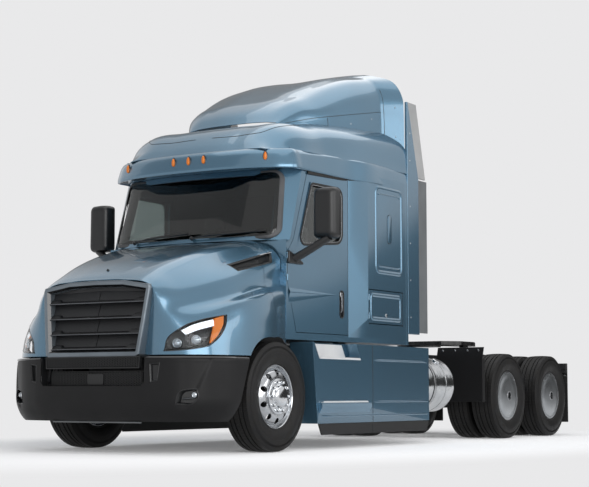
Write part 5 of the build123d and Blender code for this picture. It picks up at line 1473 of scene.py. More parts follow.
@dataclass
class Grille:
    """Surround, four blades with stepped ends over louvre panels, and the mesh skirt below."""

    half: Sequence = ((0, .863), (.500, .863), (.536, .882), (.578, 1.180), (.613, 1.468), (.600, 1.500), (.309, 1.545),
                      (0, 1.551))
    foot: tuple[float, float] = (.862, 1.254)          # height, ahead
    head: tuple[float, float] = (1.552, 1.194)
    back: float = 1.105
    width: float = 0.062
    rise: float = 0.1415

    def front(self, z: float, depth: float = 0.0) -> float:
        """X of the leaning front plane at a height."""
        share = (z - self.foot[0]) / (self.head[0] - self.foot[0])
        return at(self.foot[1] + (self.head[1] - self.foot[1]) * share - depth)

    def edge_at(self, z: float) -> float:
        """Half the surround's width at a height."""
        for (y0, z0), (y1, z1) in zip(self.half[2:5], self.half[3:5]):
            if z0 <= z <= z1:
                return y0 + (y1 - y0) * (z - z0) / (z1 - z0)
        return self.half[2][0] if z < self.half[2][1] else self.half[4][0]

    def outline(self) -> list:
        """The surround's outer edge in the front view."""
        right = [(-y, z) for y, z in self.half[1:-1]]
        return [*self.half, *reversed(right)]

    def build(self) -> None:
        """Makes all of it on the hood."""
        line = self.outline()
        rows = []
        for inset, depth in ((0, None), (0, .020), (.004, .006), (.012, .0005), (.020, 0.0), (.040, .003), (.048, .012),
                             (self.width, .042), (self.width, None)):
            rows.append([(at(self.back) if depth is None else self.front(z, depth), y, z)
                         for y, z in shrunk(line, inset)])
        surround = Form().grid(rows, closed=True, looped=True).thing("grille_surround_shell")
        dress(surround, GRAPHITE, "hood", ["grille"], edge=.0015, smooth=30)
        inner = [[(self.front(z, d), y, z) for y, z in shrunk(line, w)] for w, d in
                 ((.0405, .0025), (.0480, .0110), (.0560, .028), (.0600, .030), (.0500, .014), (.0420, .006))]
        dress(Form().grid(inner, closed=True, looped=True).thing("grille_inner_trim"), GLOSS_BLACK, "hood", smooth=30)
        self.blades()
        self.panels()
        self.skirt()

    def blades(self) -> None:
        """Four blades whose ends step up, and their lower lips, painted lighter as a highlight."""
        blades, lips = Form(), Form()
        for i in range(4):
            z = self.foot[0] + self.width + self.rise * i + (.008 if i == 0 else 0)
            edge = self.edge_at(z) - self.width + .012
            x = self.front(z, .030)
            for way in WAYS:
                line = [(0, 0, 0), (.15, 0, 0), (edge - .125, 0, 0), (edge - .100, .018, -.006), (edge, .018, -.006)]
                top = [(x - .004 + dx, y * way, z + .020 + dz) for y, dz, dx in line]
                rows = []
                for tx, y, tz in top:
                    rows.append([(tx, y, z - .002), (tx + .012, y, z + .002), (tx + .010, y, z + .010),
                                 (tx - .010, y, tz),
                                 (tx - .070, y, tz + .012), (tx - .074, y, tz + .004), (tx - .060, y, z)])
                blades.cage(rows)
                ends = (0.0 if way == 1 else -.0001, .12 * way, edge * way)
                lips.tube([(x + .009, y, z + .001) for y in ends], .0042, 8)
        dress(blades.thing("grille_blades"), BLACK, "hood", edge=.0012, smooth=30)
        # The lips are painted in the lighter lacquer: a painted highlight along the blades' edges.
        dress(lips.thing("grille_blade_lips"), GUNMETAL_PAINTED_HIGHLIGHT, "hood", smooth=60)

    def panels(self) -> None:
        """Louvre panels behind the blades, split at the centre plane, each leaning forward at its foot."""
        form = Form()
        for i in range(4):
            low = self.foot[0] + self.width + self.rise * i + (.012 if i > 0 else .02)
            high = low + self.rise - .012
            if i == 3:
                high = min(high, 1.500)
            for way in WAYS:
                edge_low, edge_high = self.edge_at(low) - .050, self.edge_at(min(high, 1.46)) - .050
                x0, x1 = self.front(low, .062), self.front(high, .098)
                top = [(x1, .0035 * way, high), (x1, edge_high * way, high - (.020 if i == 3 else 0))]
                low_run = [(x0, .0035 * way, low), (x0, edge_low * way, low)]
                back = .006
                form.cage([[low_run[0], low_run[1], (x0 - back, edge_low * way, low), (x0 - back, .0035 * way, low)],
                           [top[0], top[1], (x1 - back, edge_high * way, top[1][2]), (x1 - back, .0035 * way, high)]])
        form.block((at(self.back), at(self.back + .006)), (-.545, .545), (.875, 1.50))
        dress(form.thing("grille_louvre_panels"), PANEL, "hood", edge=.0015, smooth=30)

    def skirt(self) -> None:
        """Mesh of hexagonal cells below the surround, in a thin frame."""
        honeycomb("grille_skirt_mesh", (at(1.2255), at(1.2385)), (-.532, .532), (.764, .872), .0245, "hood")
        line = [(-.536, .758), (.536, .758), (.541, .866), (-.541, .866)]
        rim = ring_between(line, shrunk(line, .010), "x", at(1.2255), at(1.2395)).thing("grille_skirt_frame")
        dress(rim, BLACK, "hood", edge=.002)
        form = Form().block((at(1.205), at(1.2085)), (-.535, .535), (.768, .866))
        dress(form.thing("grille_skirt_backing"), BLACK, "hood", edge=.001)


def inside(p: Vector, outline: list) -> bool:
    """Whether a point in the plane is inside an outline."""
    found = False
    for a, b in zip(outline, [*outline[1:], outline[0]]):
        if (a[1] > p[1]) != (b[1] > p[1]) and p[0] < (b[0] - a[0]) * (p[1] - a[1]) / (b[1] - a[1]) + a[0]:
            found = not found
    return found


def honeycomb(name: str, x: Point, y: Point, z: Point, pitch: float, body: str) -> None:
    """A flat mesh of hexagonal cells across the truck.

    Args:
        name: the piece's name.
        x: its back and front.
        y: its ends.
        z: its foot and head.
        pitch: width of a cell.
        body: the body that it rides on.
    """
    wide = pitch
    tall = pitch * 0.62
    outer = [(wide * .5 * c, tall * .5 * s) for c, s in
             ((1, .0), (.5, 1), (-.5, 1), (-1, .0), (-.5, -1), (.5, -1))]
    cell = ring_between(outer, shrunk(outer, pitch * .10), "x", x[0], x[1])
    step = wide * .75
    columns = int((y[1] - y[0] - wide) / step) + 1
    rows = int((z[1] - z[0] - tall * 1.5) / tall) + 1
    start = (0.0, (y[0] + y[1]) / 2 - step * (columns - 1) / 2, (z[0] + z[1]) / 2 - tall * (rows - .5) / 2)
    Copies(Layout.GRID, columns, rows, start, (0.0, step, 0.0), (0.0, 0.0, tall), (0.0, 0.0, tall / 2)).make(
        name, cell, BLACK, body)


@dataclass
class Bumper:
    """Moulded bumper with its mesh opening, side slots, lamp recesses, trim line and lower strip."""

    plan: Sequence = ((1.2695, 0), (1.262, .38), (1.232, .68), (1.150, .93), (1.020, 1.09), (.850, 1.18), (.450, 1.21))
    levels: Sequence = ((.850, .014), (.846, .005), (.836, .001), (.80, 0), (.70, 0), (.60, 0), (.52, 0), (.480, .001),
                        (.44, .007), (.38, .028), (.33, .055), (.30, .080), (.290, .090))
    wall: float = 0.009
    rear: Sequence = ((.492, .86), (.735, .22))
    opening: Sequence = ((-.600, .87), (-.600, .640), (-.560, .598), (.560, .598), (.600, .640), (.600, .87))
    ridge: Sequence = ((.960, .850), (1.010, .720), (1.065, .560), (1.110, .430), (1.140, .385))

    def skin(self) -> bpy.types.Object:
        """The outer surface, with the corner facet sunk in front of its ridge."""
        plan = through([(at(x), y, 0) for x, y in self.plan], 16)
        levels = through([(z, inset, 0) for z, inset in self.levels], 4)
        heights = [Vector((min(max(h.x, .2905), .8495), h.y, 0)) for h in levels]
        rows = []
        for level in heights:
            row = []
            for k, p in enumerate(plan):
                run = plan[min(k + 1, len(plan) - 1)] - plan[max(k - 1, 0)]
                normal = Vector((run.y, -run.x, 0)).normalized()
                inset = level.y + self.sink(p, level.x)
                row.append(Vector((p.x, p.y, level.x)) - normal * inset)
            row[0].y = 0
            rows.append(whole(row))
        return Form().grid(rows).thing("bumper_shell")

    def sink(self, p: Vector, z: float) -> float:
        """How far the corner facet is sunk at a place on the plan."""
        ridge = self.ridge
        for (x0, z0), (x1, z1) in zip(ridge, ridge[1:]):
            if z1 <= z <= z0:
                limit = x0 + (x1 - x0) * (z - z0) / (z1 - z0)
                ahead = p.x - at(limit)
                rise = min(max(ahead / .022, 0), 1)
                fade = min(max((1.235 - (p.x - STEER)) / .10, 0), 1)
                low = min(max((z - .385) / .05, 0), 1)
                return .014 * rise * rise * (3 - 2 * rise) * fade * low
        return 0.0

    def build(self) -> None:
        """Makes the bumper and what is set in it."""
        skin = self.skin()
        PROBES["bumper"] = Probe(skin)
        shell = thicken(skin, self.wall)
        (x0, z0), (x1, z1) = self.rear
        carve(shell, Form().prism([(at(-.2), z0), (at(x0), z0), (at(x1), z1), (at(-.2), z1)], "y", .8, 1.4).doubled())
        mouth = smooth_outline(self.opening, 6, range(6))
        carve(shell, Form().prism(mouth, "x", at(1.15), at(1.4)))
        for outline in (self.slot_line(), self.lamp_line()):
            carve(shell, Form().prism(outline, "x", at(.80), at(1.4)).doubled())
        dress(shell, BUMPER, "truck", ["bumper"], edge=.002, smooth=40)
        self.mouth()
        self.slots()
        self.fog_lamps()
        self.trims()

    @staticmethod
    def slot_line() -> list:
        """Slot beside the mouth, in the front view."""
        return smooth_outline([(.640, .800), (.745, .810), (.722, .645), (.650, .628)], 5, (0, 1, 2, 3))

    @staticmethod
    def lamp_line() -> list:
        """Recess of the lower lamp, in the front view."""
        return smooth_outline([(.905, .555), (1.035, .585), (1.052, .500), (1.020, .455), (.870, .442)], 6, (1, 4))

    def mouth(self) -> None:
        """Mesh, its frame with rolled edge and the bare plate in the middle."""
        honeycomb("bumper_mesh", (at(1.163), at(1.176)), (-.535, .535), (.600, .735), .0245, "truck")
        probe = PROBES["bumper"]
        line = [(-.600, .848), (-.600, .640), (-.560, .598), (.560, .598), (.600, .640), (.600, .848)]
        path = through([(0, y, z) for y, z in line], 5, range(6))
        rolled = [probe.nose(p.y, p.z, .006) for p in path]
        dress(Form().tube(rolled, .0075, 10).thing("bumper_mouth_edge"), BUMPER, "truck", smooth=60)
        sides = Form()
        for way in WAYS:
            for part in (((.535, .600), (.598, .600), (.598, .625), (.535, .625)),
                         ((.578, .625), (.598, .625), (.598, .745), (.578, .745))):
                sides.cage([[(at(x), way * y, z) for y, z in part] for x in (1.150, 1.156)])
        sides.block((at(1.150), at(1.1535)), (-.536, .536), (.592, .738))
        for way in WAYS:
            sides.cage([[(at(x), way * y, z) for y, z in ((.588, .590), (.597, .590), (.597, .858), (.588, .858))]
                        for x in (1.100, 1.232)])
        dress(sides.thing("bumper_mouth_backing"), BLACK, "truck", edge=.001)
        plate = [(-.085, .615), (.085, .615), (.092, .640), (.092, .712), (-.092, .712), (-.092, .640)]
        dress(Form().prism(plate, "x", at(1.1765), at(1.184)).thing("bumper_blank_plate"), BLACK, "truck", edge=.003)

    def slots(self) -> None:
        """Black inserts of the two side slots."""
        probe = PROBES["bumper"]
        line = self.slot_line()
        rows = [[probe.nose(y, z, d) for y, z in shrunk(line, w)] for w, d in
                ((.001, .030), (.001, .002), (.006, -.001), (.012, .003), (.018, .022), (.018, .030))]
        form = Form().grid(rows, closed=True, looped=True)
        form.cage([[probe.nose(y, z, d) for y, z in shrunk(line, .004)] for d in (.026, .030)])
        dress(form.doubled().thing("bumper_slot_inserts"), BLACK, "truck", smooth=40)

    def fog_lamps(self) -> None:
        """Recess liners and the small round lamps on their brackets."""
        probe = PROBES["bumper"]
        line = self.lamp_line()
        rows = [[probe.nose(y, z, d) for y, z in shrunk(line, w)] for w, d in
                ((.0, .010), (.0, -.001), (.005, -.003), (.009, .001), (.018, .050), (.010, .055))]
        form = Form().grid(rows, closed=True, looped=True)
        form.cage([[probe.nose(y, z, d) for y, z in shrunk(line, .014)] for d in (.050, .055)])
        dress(form.doubled().thing("bumper_lamp_recesses"), BLACK, "truck", smooth=40)
        axis = Vector((.94, .34, 0))
        place = probe.nose(1.000, .525, .036)
        ring, glass, arm = Form(), Form(), Form()
        ring.lathe([(.020, -.016), (.020, .008), (.023, .012), (.028, .008), (.028, -.016)], place, 32, axis)
        glass.lathe([(.0001, -.010), (.0001, .010), (.012, .009), (.0195, .005), (.0195, -.010)], place, 28, axis)
        left = probe.nose(.915, .490, .030)
        bend = (left + place) / 2 + Vector((.006, 0, -.012))
        arm.tube(through([left, bend, place + Vector((0, 0, -.026))], 6), .008, 8)
        dress(ring.doubled().thing("bumper_lamp_rings"), CHROME, "truck", smooth=50)
        dress(glass.doubled().thing("bumper_lamp_lenses"), PROJECTOR, "truck", smooth=50)
        dress(arm.doubled().thing("bumper_lamp_brackets"), GUNMETAL, "truck", smooth=60)

    def trims(self) -> None:
        """Dark strip along the top edge and the grey strip under the middle."""
        plan = through([(at(x), y, 0) for x, y in self.plan], 16)
        form = Form()
        for way in WAYS:
            run = [p for p in plan if .606 <= p.y and p.x > at(.500)]
            rows = []
            for k, p in enumerate(run):
                ahead = run[min(k + 1, len(run) - 1)] - run[max(k - 1, 0)]
                n = Vector((ahead.y, -ahead.x, 0)).normalized()
                rows.append([Vector(((p - n * d).x, (p - n * d).y * way, z)) for d, z in
                             ((.010, .842), (.004, .850), (.012, .860), (.026, .862), (.030, .852), (.024, .842))])
            form.cage(rows)
        dress(form.thing("bumper_top_strips"), GLOSS_BLACK, "truck", smooth=40)
        y = .50
        strip = Form().block((at(1.145), at(1.176)), (-y, y), (.276, .2895))
        dress(strip.thing("bumper_lower_strip"), EDGE_RUBBER, "truck", edge=.003)


PROBES: dict[str, Probe] = {}


@dataclass
class RoofCap:
    """Moulded roof over cab and sleeper: visor band, dome with its ledge, panel seam and marker lamps."""

    dome: Sequence = (
        (.330, ((0, .012), (.42, .012), (.740, .011), (.790, .008), (.820, .002))),
        (.400, ((0, .110), (.40, .105), (.700, .090), (.800, .050), (.860, .002))),
        (.560, ((0, .262), (.42, .256), (.760, .235), (.900, .160), (1.000, .002))),
        (1.100, ((0, .366), (.45, .360), (.850, .338), (.990, .250), (1.085, .002))),
        (2.580, ((0, .481), (.55, .478), (1.010, .450), (1.140, .330), (1.192, .002))))
    foot: float = 2.90
    wall: float = 0.010
    visor: Sequence = ((-.192, 0), (-.196, .30), (-.232, .60), (-.30, .84), (-.38, 1.00), (-.46, 1.085), (-.60, 1.094),
                       (-1.10, 1.118), (-1.43, 1.140), (-1.70, 1.1935), (-2.10, 1.1938), (-2.58, 1.1938))
    band: Sequence = ((2.702, .014), (2.706, .003), (2.716, 0), (2.775, .011), (2.830, .027), (2.872, .046),
                      (2.899, .072), (2.914, .120))
    markers: Sequence = ((-.190, 0, 2.812), (-.192, .182, 2.812), (-.300, .834, 2.812))

    def skin(self) -> bpy.types.Object:
        """The band round the cab as one sheet."""
        plan = through([(at(x), y, 0) for x, y in self.visor], 12)
        levels = through([(z, inset, 0) for z, inset in self.band], 3)
        rows = []
        for level in levels:
            row = []
            for k, p in enumerate(plan):
                run = plan[min(k + 1, len(plan) - 1)] - plan[max(k - 1, 0)]
                normal = Vector((run.y, -run.x, 0)).normalized()
                blunt = level.y * (.25 + .75 * min(max((p.x - at(-1.25)) / .85, 0), 1))
                row.append(Vector((p.x, p.y, level.x)) - normal * blunt)
            row[0].y = 0
            rows.append(whole(row))
        return Form().grid(rows).thing("roof_band")

    def build(self) -> None:
        """Makes band, dome, seams and lamps."""
        band = self.skin()
        PROBES["visor"] = Probe(band)
        dress(thicken(band, self.wall, even=False), PAINT, "truck", ["roof_cap"], edge=.0015, smooth=45)
        sections = [[(at(-place), y, self.foot + h - .004) for y, h in points] for place, points in self.dome]
        rows = surface(sections, 12, 8)
        dome = Form().grid([whole(row) for row in rows]).thing("roof_dome")
        PROBES["dome"] = Probe(dome)
        dress(thicken(dome, self.wall, even=False), PAINT, "truck", smooth=50)
        last = whole(rows[-1])
        way = 1 if last[-1].y > 0 else -1
        foot = [Vector((0, 1.180 * way, 2.772)), Vector((0, -1.180 * way, 2.772))]
        rear = [[Vector((at(x), p.y * .994, p.z - (.006 if p.z > 2.78 else 0))) for p in [*last, *foot]]
                for x in (-2.578, -2.566)]
        dress(Form().cage(rear).thing("roof_back_wall"), PAINT, "truck", smooth=30)
        self.soffit()
        self.panel_seams()
        self.marker_lamps()

    def soffit(self) -> None:
        """Panel under the visor, from its lower edge back to the cab's front."""
        wall = ((0, -.372), (.30, -.384), (.60, -.422), (.80, -.461), (.90, -.487), (.985, -.545), (1.06, -.610))
        outer, inner = [], []
        for p in through([(at(x), y, 0) for x, y in self.visor], 12):
            if p.x < at(-.52):
                continue
            y = min(p.y, 1.059)
            k = next(i for i in range(6) if y <= wall[i + 1][0])
            t = (y - wall[k][0]) / (wall[k + 1][0] - wall[k][0])
            front = at(wall[k][1] + (wall[k + 1][1] - wall[k][1]) * t)
            outer.append(Vector((p.x - (.012 if p.x > at(-.5) else 0), p.y - (.012 if p.y > .9 else 0), 2.708)))
            inner.append(Vector((min(p.x - .004, front), p.y, 2.716)))
        made = Form().grid([whole(outer), whole(inner)]).thing("roof_visor_soffit")
        dress(thicken(made, .003, even=False), PAINT, "truck", smooth=40)

    def panel_seams(self) -> None:
        """Lips of the panel joints over the dome's front."""
        probe = PROBES["dome"]
        form = Form()
        for way in WAYS:
            line = through([(-.47, .10, 0), (-.47, .45, 0), (-.505, .70, 0), (-.63, .80, 0), (-.90, .86, 0)], 10)
            form.tube([probe.top(at(p.x), p.y * way, -.0005) for p in line], .0028, 6)
        dress(form.thing("roof_panel_seams"), SEAL, "truck", smooth=60)

    def marker_lamps(self) -> None:
        """Five amber lamps on dark feet, leaning back with the visor."""
        probe = PROBES["visor"]
        feet, lenses = Form(), Form()
        places = [self.markers[0], *[(x, y * way, z) for x, y, z in self.markers[1:] for way in WAYS]]
        for x, y, z in places:
            spot = probe.nose(y, z)
            out = (probe.nose(y + .01, z) - probe.nose(y - .01, z)).cross(Vector((0, 0, 1))).normalized()
            out = out if out.x > 0 else -out
            side = Vector((0, 0, 1)).cross(out)
            for form, long, wide, rise in ((feet, .062, .026, .007), (lenses, .050, .017, .022)):
                rings = []
                base = -.006 if form is feet else .004
                for share, lift in ((1, base), (1, rise * .45 + base * .3), (.86, rise * .85), (.5, rise)):
                    ring = []
                    for k in range(24):
                        a = 2 * math.pi * k / 24
                        up = math.sin(a) * long * share * (.8 + .2 * math.sin(a))
                        ring.append(spot + out * lift + side * math.cos(a) * wide * share + Vector((0, 0, up)))
                    rings.append(ring)
                form.cage(rings)
        dress(feet.thing("marker_lamp_feet"), GLOSS_BLACK, "truck", smooth=45)
        dress(lenses.thing("marker_lamp_lenses"), LIT_AMBER, "truck", smooth=45)


@dataclass
class RoofFairing:
    """Air deflector on the roof: upper shell, lower side panels, rear pieces, screws and the front box."""

    stations: Sequence = (
        (.975, ((0, 3.305), (.300, 3.300), (.480, 3.285), (.545, 3.268), (.553, 3.235), (.560, 3.180), (.560, 3.120))),
        (1.060, ((0, 3.420), (.330, 3.412), (.520, 3.385), (.600, 3.335), (.618, 3.270), (.625, 3.200), (.625, 3.120))),
        (1.200, ((0, 3.530), (.400, 3.522), (.600, 3.490), (.690, 3.420), (.712, 3.300), (.718, 3.210), (.718, 3.120))),
        (1.430, ((0, 3.652), (.450, 3.640), (.690, 3.580), (.795, 3.450), (.815, 3.330), (.828, 3.220), (.830, 3.120))),
        (1.750, ((0, 3.800), (.500, 3.790), (.740, 3.735), (.862, 3.570), (.888, 3.420), (.898, 3.240), (.900, 3.120))),
        (2.100, ((0, 3.930), (.560, 3.920), (.810, 3.850), (.925, 3.680), (.950, 3.520), (.958, 3.260), (.960, 3.120))),
        (2.380, ((0, 3.998), (.640, 3.984), (.890, 3.890), (.972, 3.730), (.990, 3.560), (.998, 3.270), (1.00, 3.120))),
        (2.575, ((0, 4.036), (.760, 4.022), (1.050, 3.900), (1.145, 3.730), (1.160, 3.560), (1.163, 3.270),
                 (1.164, 3.120))))
    wall: float = 0.008
    ceiling: float = 4.0442

    def build(self) -> None:
        """Makes shell, seams, screws and the small box at its front."""
        sections = [[(at(-place), y, z) for y, z in points] for place, points in self.stations]
        rows = [[Vector((p.x, p.y, min(p.z, self.ceiling))) for p in row]
                for row in surface(sections, 8, 8, breaks=(6,))]
        skin = Form().grid([whole(row) for row in rows]).thing("roof_fairing_shell")
        PROBES["fairing"] = Probe(skin)
        dress(thicken(skin, self.wall), PAINT, "truck", ["roof_fairing"], smooth=50)
        probe = PROBES["fairing"]
        seams = Form()
        for way in WAYS:
            long_run = [(-1.0, 3.262), (-1.25, 3.335), (-1.65, 3.42), (-2.05, 3.50), (-2.36, 3.56)]
            runs = [through([(x, z, 0) for x, z in long_run], 8),
                    [Vector((-1.50, z, 0)) for z in (3.375, 3.30, 3.22, 3.15)],
                    [Vector((-2.40, z, 0)) for z in (3.90, 3.80, 3.70, 3.56, 3.40, 3.25, 3.14)]]
            for run in runs:
                pts = [probe.side(at(p.x), p.y, -.0005) for p in run]
                seams.tube([Vector((q.x, q.y * way, q.z)) for q in pts], .0028, 6)
        dress(seams.thing("roof_fairing_seams"), SEAL, "truck", smooth=60)
        screws = Form()
        for x, z in ((-1.08, 3.235), (-1.45, 3.25), (-1.85, 3.36), (-2.20, 3.46), (-2.20, 3.30), (-2.20, 3.24),
                     (-2.50, 3.62), (-2.50, 3.30)):
            spot = probe.side(at(x), z, 0)
            for way in WAYS:
                screws.lathe(SCREW, (spot.x, spot.y * way, spot.z), 12, (0, way, 0))
        dress(screws.thing("roof_fairing_screws"), STEEL, "truck", smooth=40)
        foot = Form()
        for way in WAYS:
            box = [(at(-.965), .50, 3.13), (at(-.985), .615, 3.13), (at(-1.05), .625, 3.13), (at(-1.05), .50, 3.13)]
            rings = []
            for z, k in ((3.13, 1), (3.235, 1), (3.250, .9)):
                cx, cy = at(-1.01), .56
                rings.append([(cx + (x - cx) * k, (cy + (y - cy) * k) * way, z) for x, y, _ in box])
            foot.cage(rings)
        dress(foot.thing("roof_fairing_feet"), PAINT, "truck", edge=.004)


def side_y(x: float) -> float:
    """Half width of the cab's outer side at a place."""
    line = ((at(0.0), 1.050), (at(-.33), 1.065), (at(-1.43), 1.115), (at(-1.70), 1.195), (at(-2.60), 1.195))
    for (x0, y0), (x1, y1) in zip(line, line[1:]):
        if x1 <= x <= x0:
            return y0 + (y1 - y0) * (x0 - x) / (x0 - x1)
    return line[-1][1]


def on_side(outlines: Sequence[tuple[Sequence, float]], ways: Sequence[int] = (1, -1)) -> list[list[list[Vector]]]:
    """Rings laid on the cab's sides.

    Args:
        outlines: outlines in the side view, each with its height over the surface.
        ways: sides to lay them on.
    Returns:
        The rings, side by side.
    """
    return [[[Vector((x, (side_y(x) + rise) * way, z)) for x, z in line] for line, rise in outlines] for way in ways]


@dataclass
class CabShell:
    """Cab frame with its glass, the windscreen's rubber, wipers and rear wall."""

    screen: Sequence = ((-.985, 2.030), (.985, 2.030), (.930, 2.688), (-.930, 2.688))
    corner: float = 0.090

    def build(self) -> None:
        """Makes the cab's fixed shell."""
        shell = refine("cab_frame", PAINT, .004)

        def indoors(p: Vector, n: Vector) -> bool:
            """Whether a face looks into the cab."""
            return n.dot(Vector((at(-1.3), 0, 1.9)) - p) > 0 and p.z > 1.055

        line_inside(shell, TRIM, indoors)
        for node in ("sleeper_sides", "sleeper_back"):
            line_inside(refine(node, PAINT, .003), TRIM, indoors)
        self.windscreen()
        self.wipers()
        self.embosses()

    @staticmethod
    def pane(y: float, z: float, depth: float) -> Vector:
        """The place on the curved, leaning windscreen, that far outside or (positive) inside its face."""
        arc = ((0.0, -.143), (.30, -.157), (.60, -.200), (.80, -.243), (.915, -.272), (1.03, -.352))
        far = min(abs(y), 1.029)
        k = next(i for i in range(5) if far <= arc[i + 1][0])
        t = (far - arc[k][0]) / (arc[k + 1][0] - arc[k][0])
        before, after = arc[max(k - 1, 0)][1] if k else arc[1][1], arc[min(k + 2, 5)][1]
        ahead = catmull(before, arc[k][1], arc[k + 1][1], after, t) - .182 * (z - 2.04) / .615
        turn = .45 * far ** 3
        aim = Vector((-.95, math.copysign(-turn, y), -.30)).normalized()
        return Vector((at(ahead), y, z)) + aim * depth

    def windscreen(self) -> None:
        """The laminated glass, the rubber round it and the black band printed inside it."""
        line = rounded(self.screen, self.corner, 10)
        middle = Vector((0, 2.349))

        def ring(outline: list, depth: float, scale: float = 1.0) -> list[Vector]:
            """An outline laid on the pane, drawn in by a scale."""
            return [self.pane(y * scale, middle.y + (z - middle.y) * scale, depth) for y, z in outline]

        scales = [.02, .15, .3, .45, .6, .72, .83, .92, 1.0]
        rows = [ring(line, 0, t) for t in scales] + [ring(line, .006, t) for t in reversed(scales)]
        dress(Form().cage(rows).thing("windscreen_glass"), GLASS, "truck", ["windscreen"], smooth=60)
        rubber = [ring(shrunk(line, w), d) for w, d in
                  ((-.014, .018), (-.016, .004), (-.010, -.005), (.006, -.006), (.013, -.004), (.014, .0005))]
        dress(Form().grid(rubber, closed=True, looped=True).thing("windscreen_rubber"), SCREEN_RUBBER, "truck",
              smooth=60)
        band = [ring(shrunk(line, w), d) for w, d in ((-.002, .0068), (.050, .0068), (.050, .0085), (-.002, .0085))]
        dress(Form().grid(band, closed=True, looped=True).thing("windscreen_black_band"), GLOSS_BLACK, "truck",
              smooth=40)

    def wipers(self) -> None:
        """Two wipers parked along the foot of the glass."""
        arms, blades = Form(), Form()
        for hub_y, tip_y, tip_z in ((.10, .84, 2.078), (-.66, .02, 2.082)):
            hub = self.pane(hub_y, 2.040, -.020)
            tip = self.pane(tip_y, tip_z, -.026)
            bend = self.pane((hub_y * 2 + tip_y) / 3, 2.052, -.040)
            path = through([hub, bend, (bend + tip) / 2 + Vector((.004, 0, -.004)), tip], 6)
            arms.tube(path, .0095, 8, .6)
            arms.lathe([(.0001, -.02), (.0001, .012), (.012, .012), (.018, .006), (.019, -.02)], hub, 20,
                       (.85, 0, .5))
            steps = [k / 12 for k in range(13)]
            line = [self.pane(hub_y + (tip_y - hub_y) * (.22 + .84 * t), 2.058 + (tip_z - 2.054) * t,
                              -.014 - .006 * math.sin(math.pi * t)) for t in steps]
            blades.tube(line, .011, 8, .8)
            blades.tube([p + Vector((-.004, 0, .011)) for p in line], .0045, 6)
        dress(arms.thing("wiper_arms"), BLACK, "truck", smooth=60)
        dress(blades.thing("wiper_blades"), SEAL, "truck", smooth=60)

    def embosses(self) -> None:
        """Beads pressed in the sleeper's sides, and the long blank cover between them."""
        form = Form()
        tall = rounded([(at(-2.455), 1.770), (at(-1.850), 1.770), (at(-1.850), 2.695), (at(-2.455), 2.695)], .085)
        for rings in on_side([(shrunk(tall, w), r) for w, r in
                              ((0, -.002), (.003, .001), (.012, .0075), (.022, .0085), (.032, .0065), (.042, .001),
                               (.046, -.002))]):
            form.grid(rings, closed=True)
        for way in WAYS:
            for z in (2.615, 1.848):
                path = [Vector((x, (side_y(x) + .0005) * way, z + dz)) for x, dz in
                        ((at(-2.385), -.012 if z > 2 else .012), (at(-2.36), 0), (at(-1.945), 0),
                         (at(-1.92), -.012 if z > 2 else .012))]
                form.tube(path, .0085, 10)
        dress(form.thing("sleeper_side_beads"), PAINT, "truck", smooth=60)
        pill = rounded([(at(-2.205), 2.105), (at(-2.115), 2.105), (at(-2.115), 2.405), (at(-2.205), 2.405)], .0445)
        cover = Form()
        for rings in on_side([(shrunk(pill, w), r) for w, r in ((0, -.002), (.001, .0035), (.004, .0045))]):
            cover.cage(rings)
        dress(cover.thing("sleeper_blank_covers"), PAINT, "truck", smooth=30)
        gap = Form()
        lip = ((-.0055, -.001), (-.005, .0012), (0, .0012), (0, -.001))
        for rings in on_side([(shrunk(pill, w), r) for w, r in lip]):
            gap.grid(rings, closed=True, looped=True)
        dress(gap.thing("sleeper_blank_gaps"), SEAL, "truck", smooth=30)


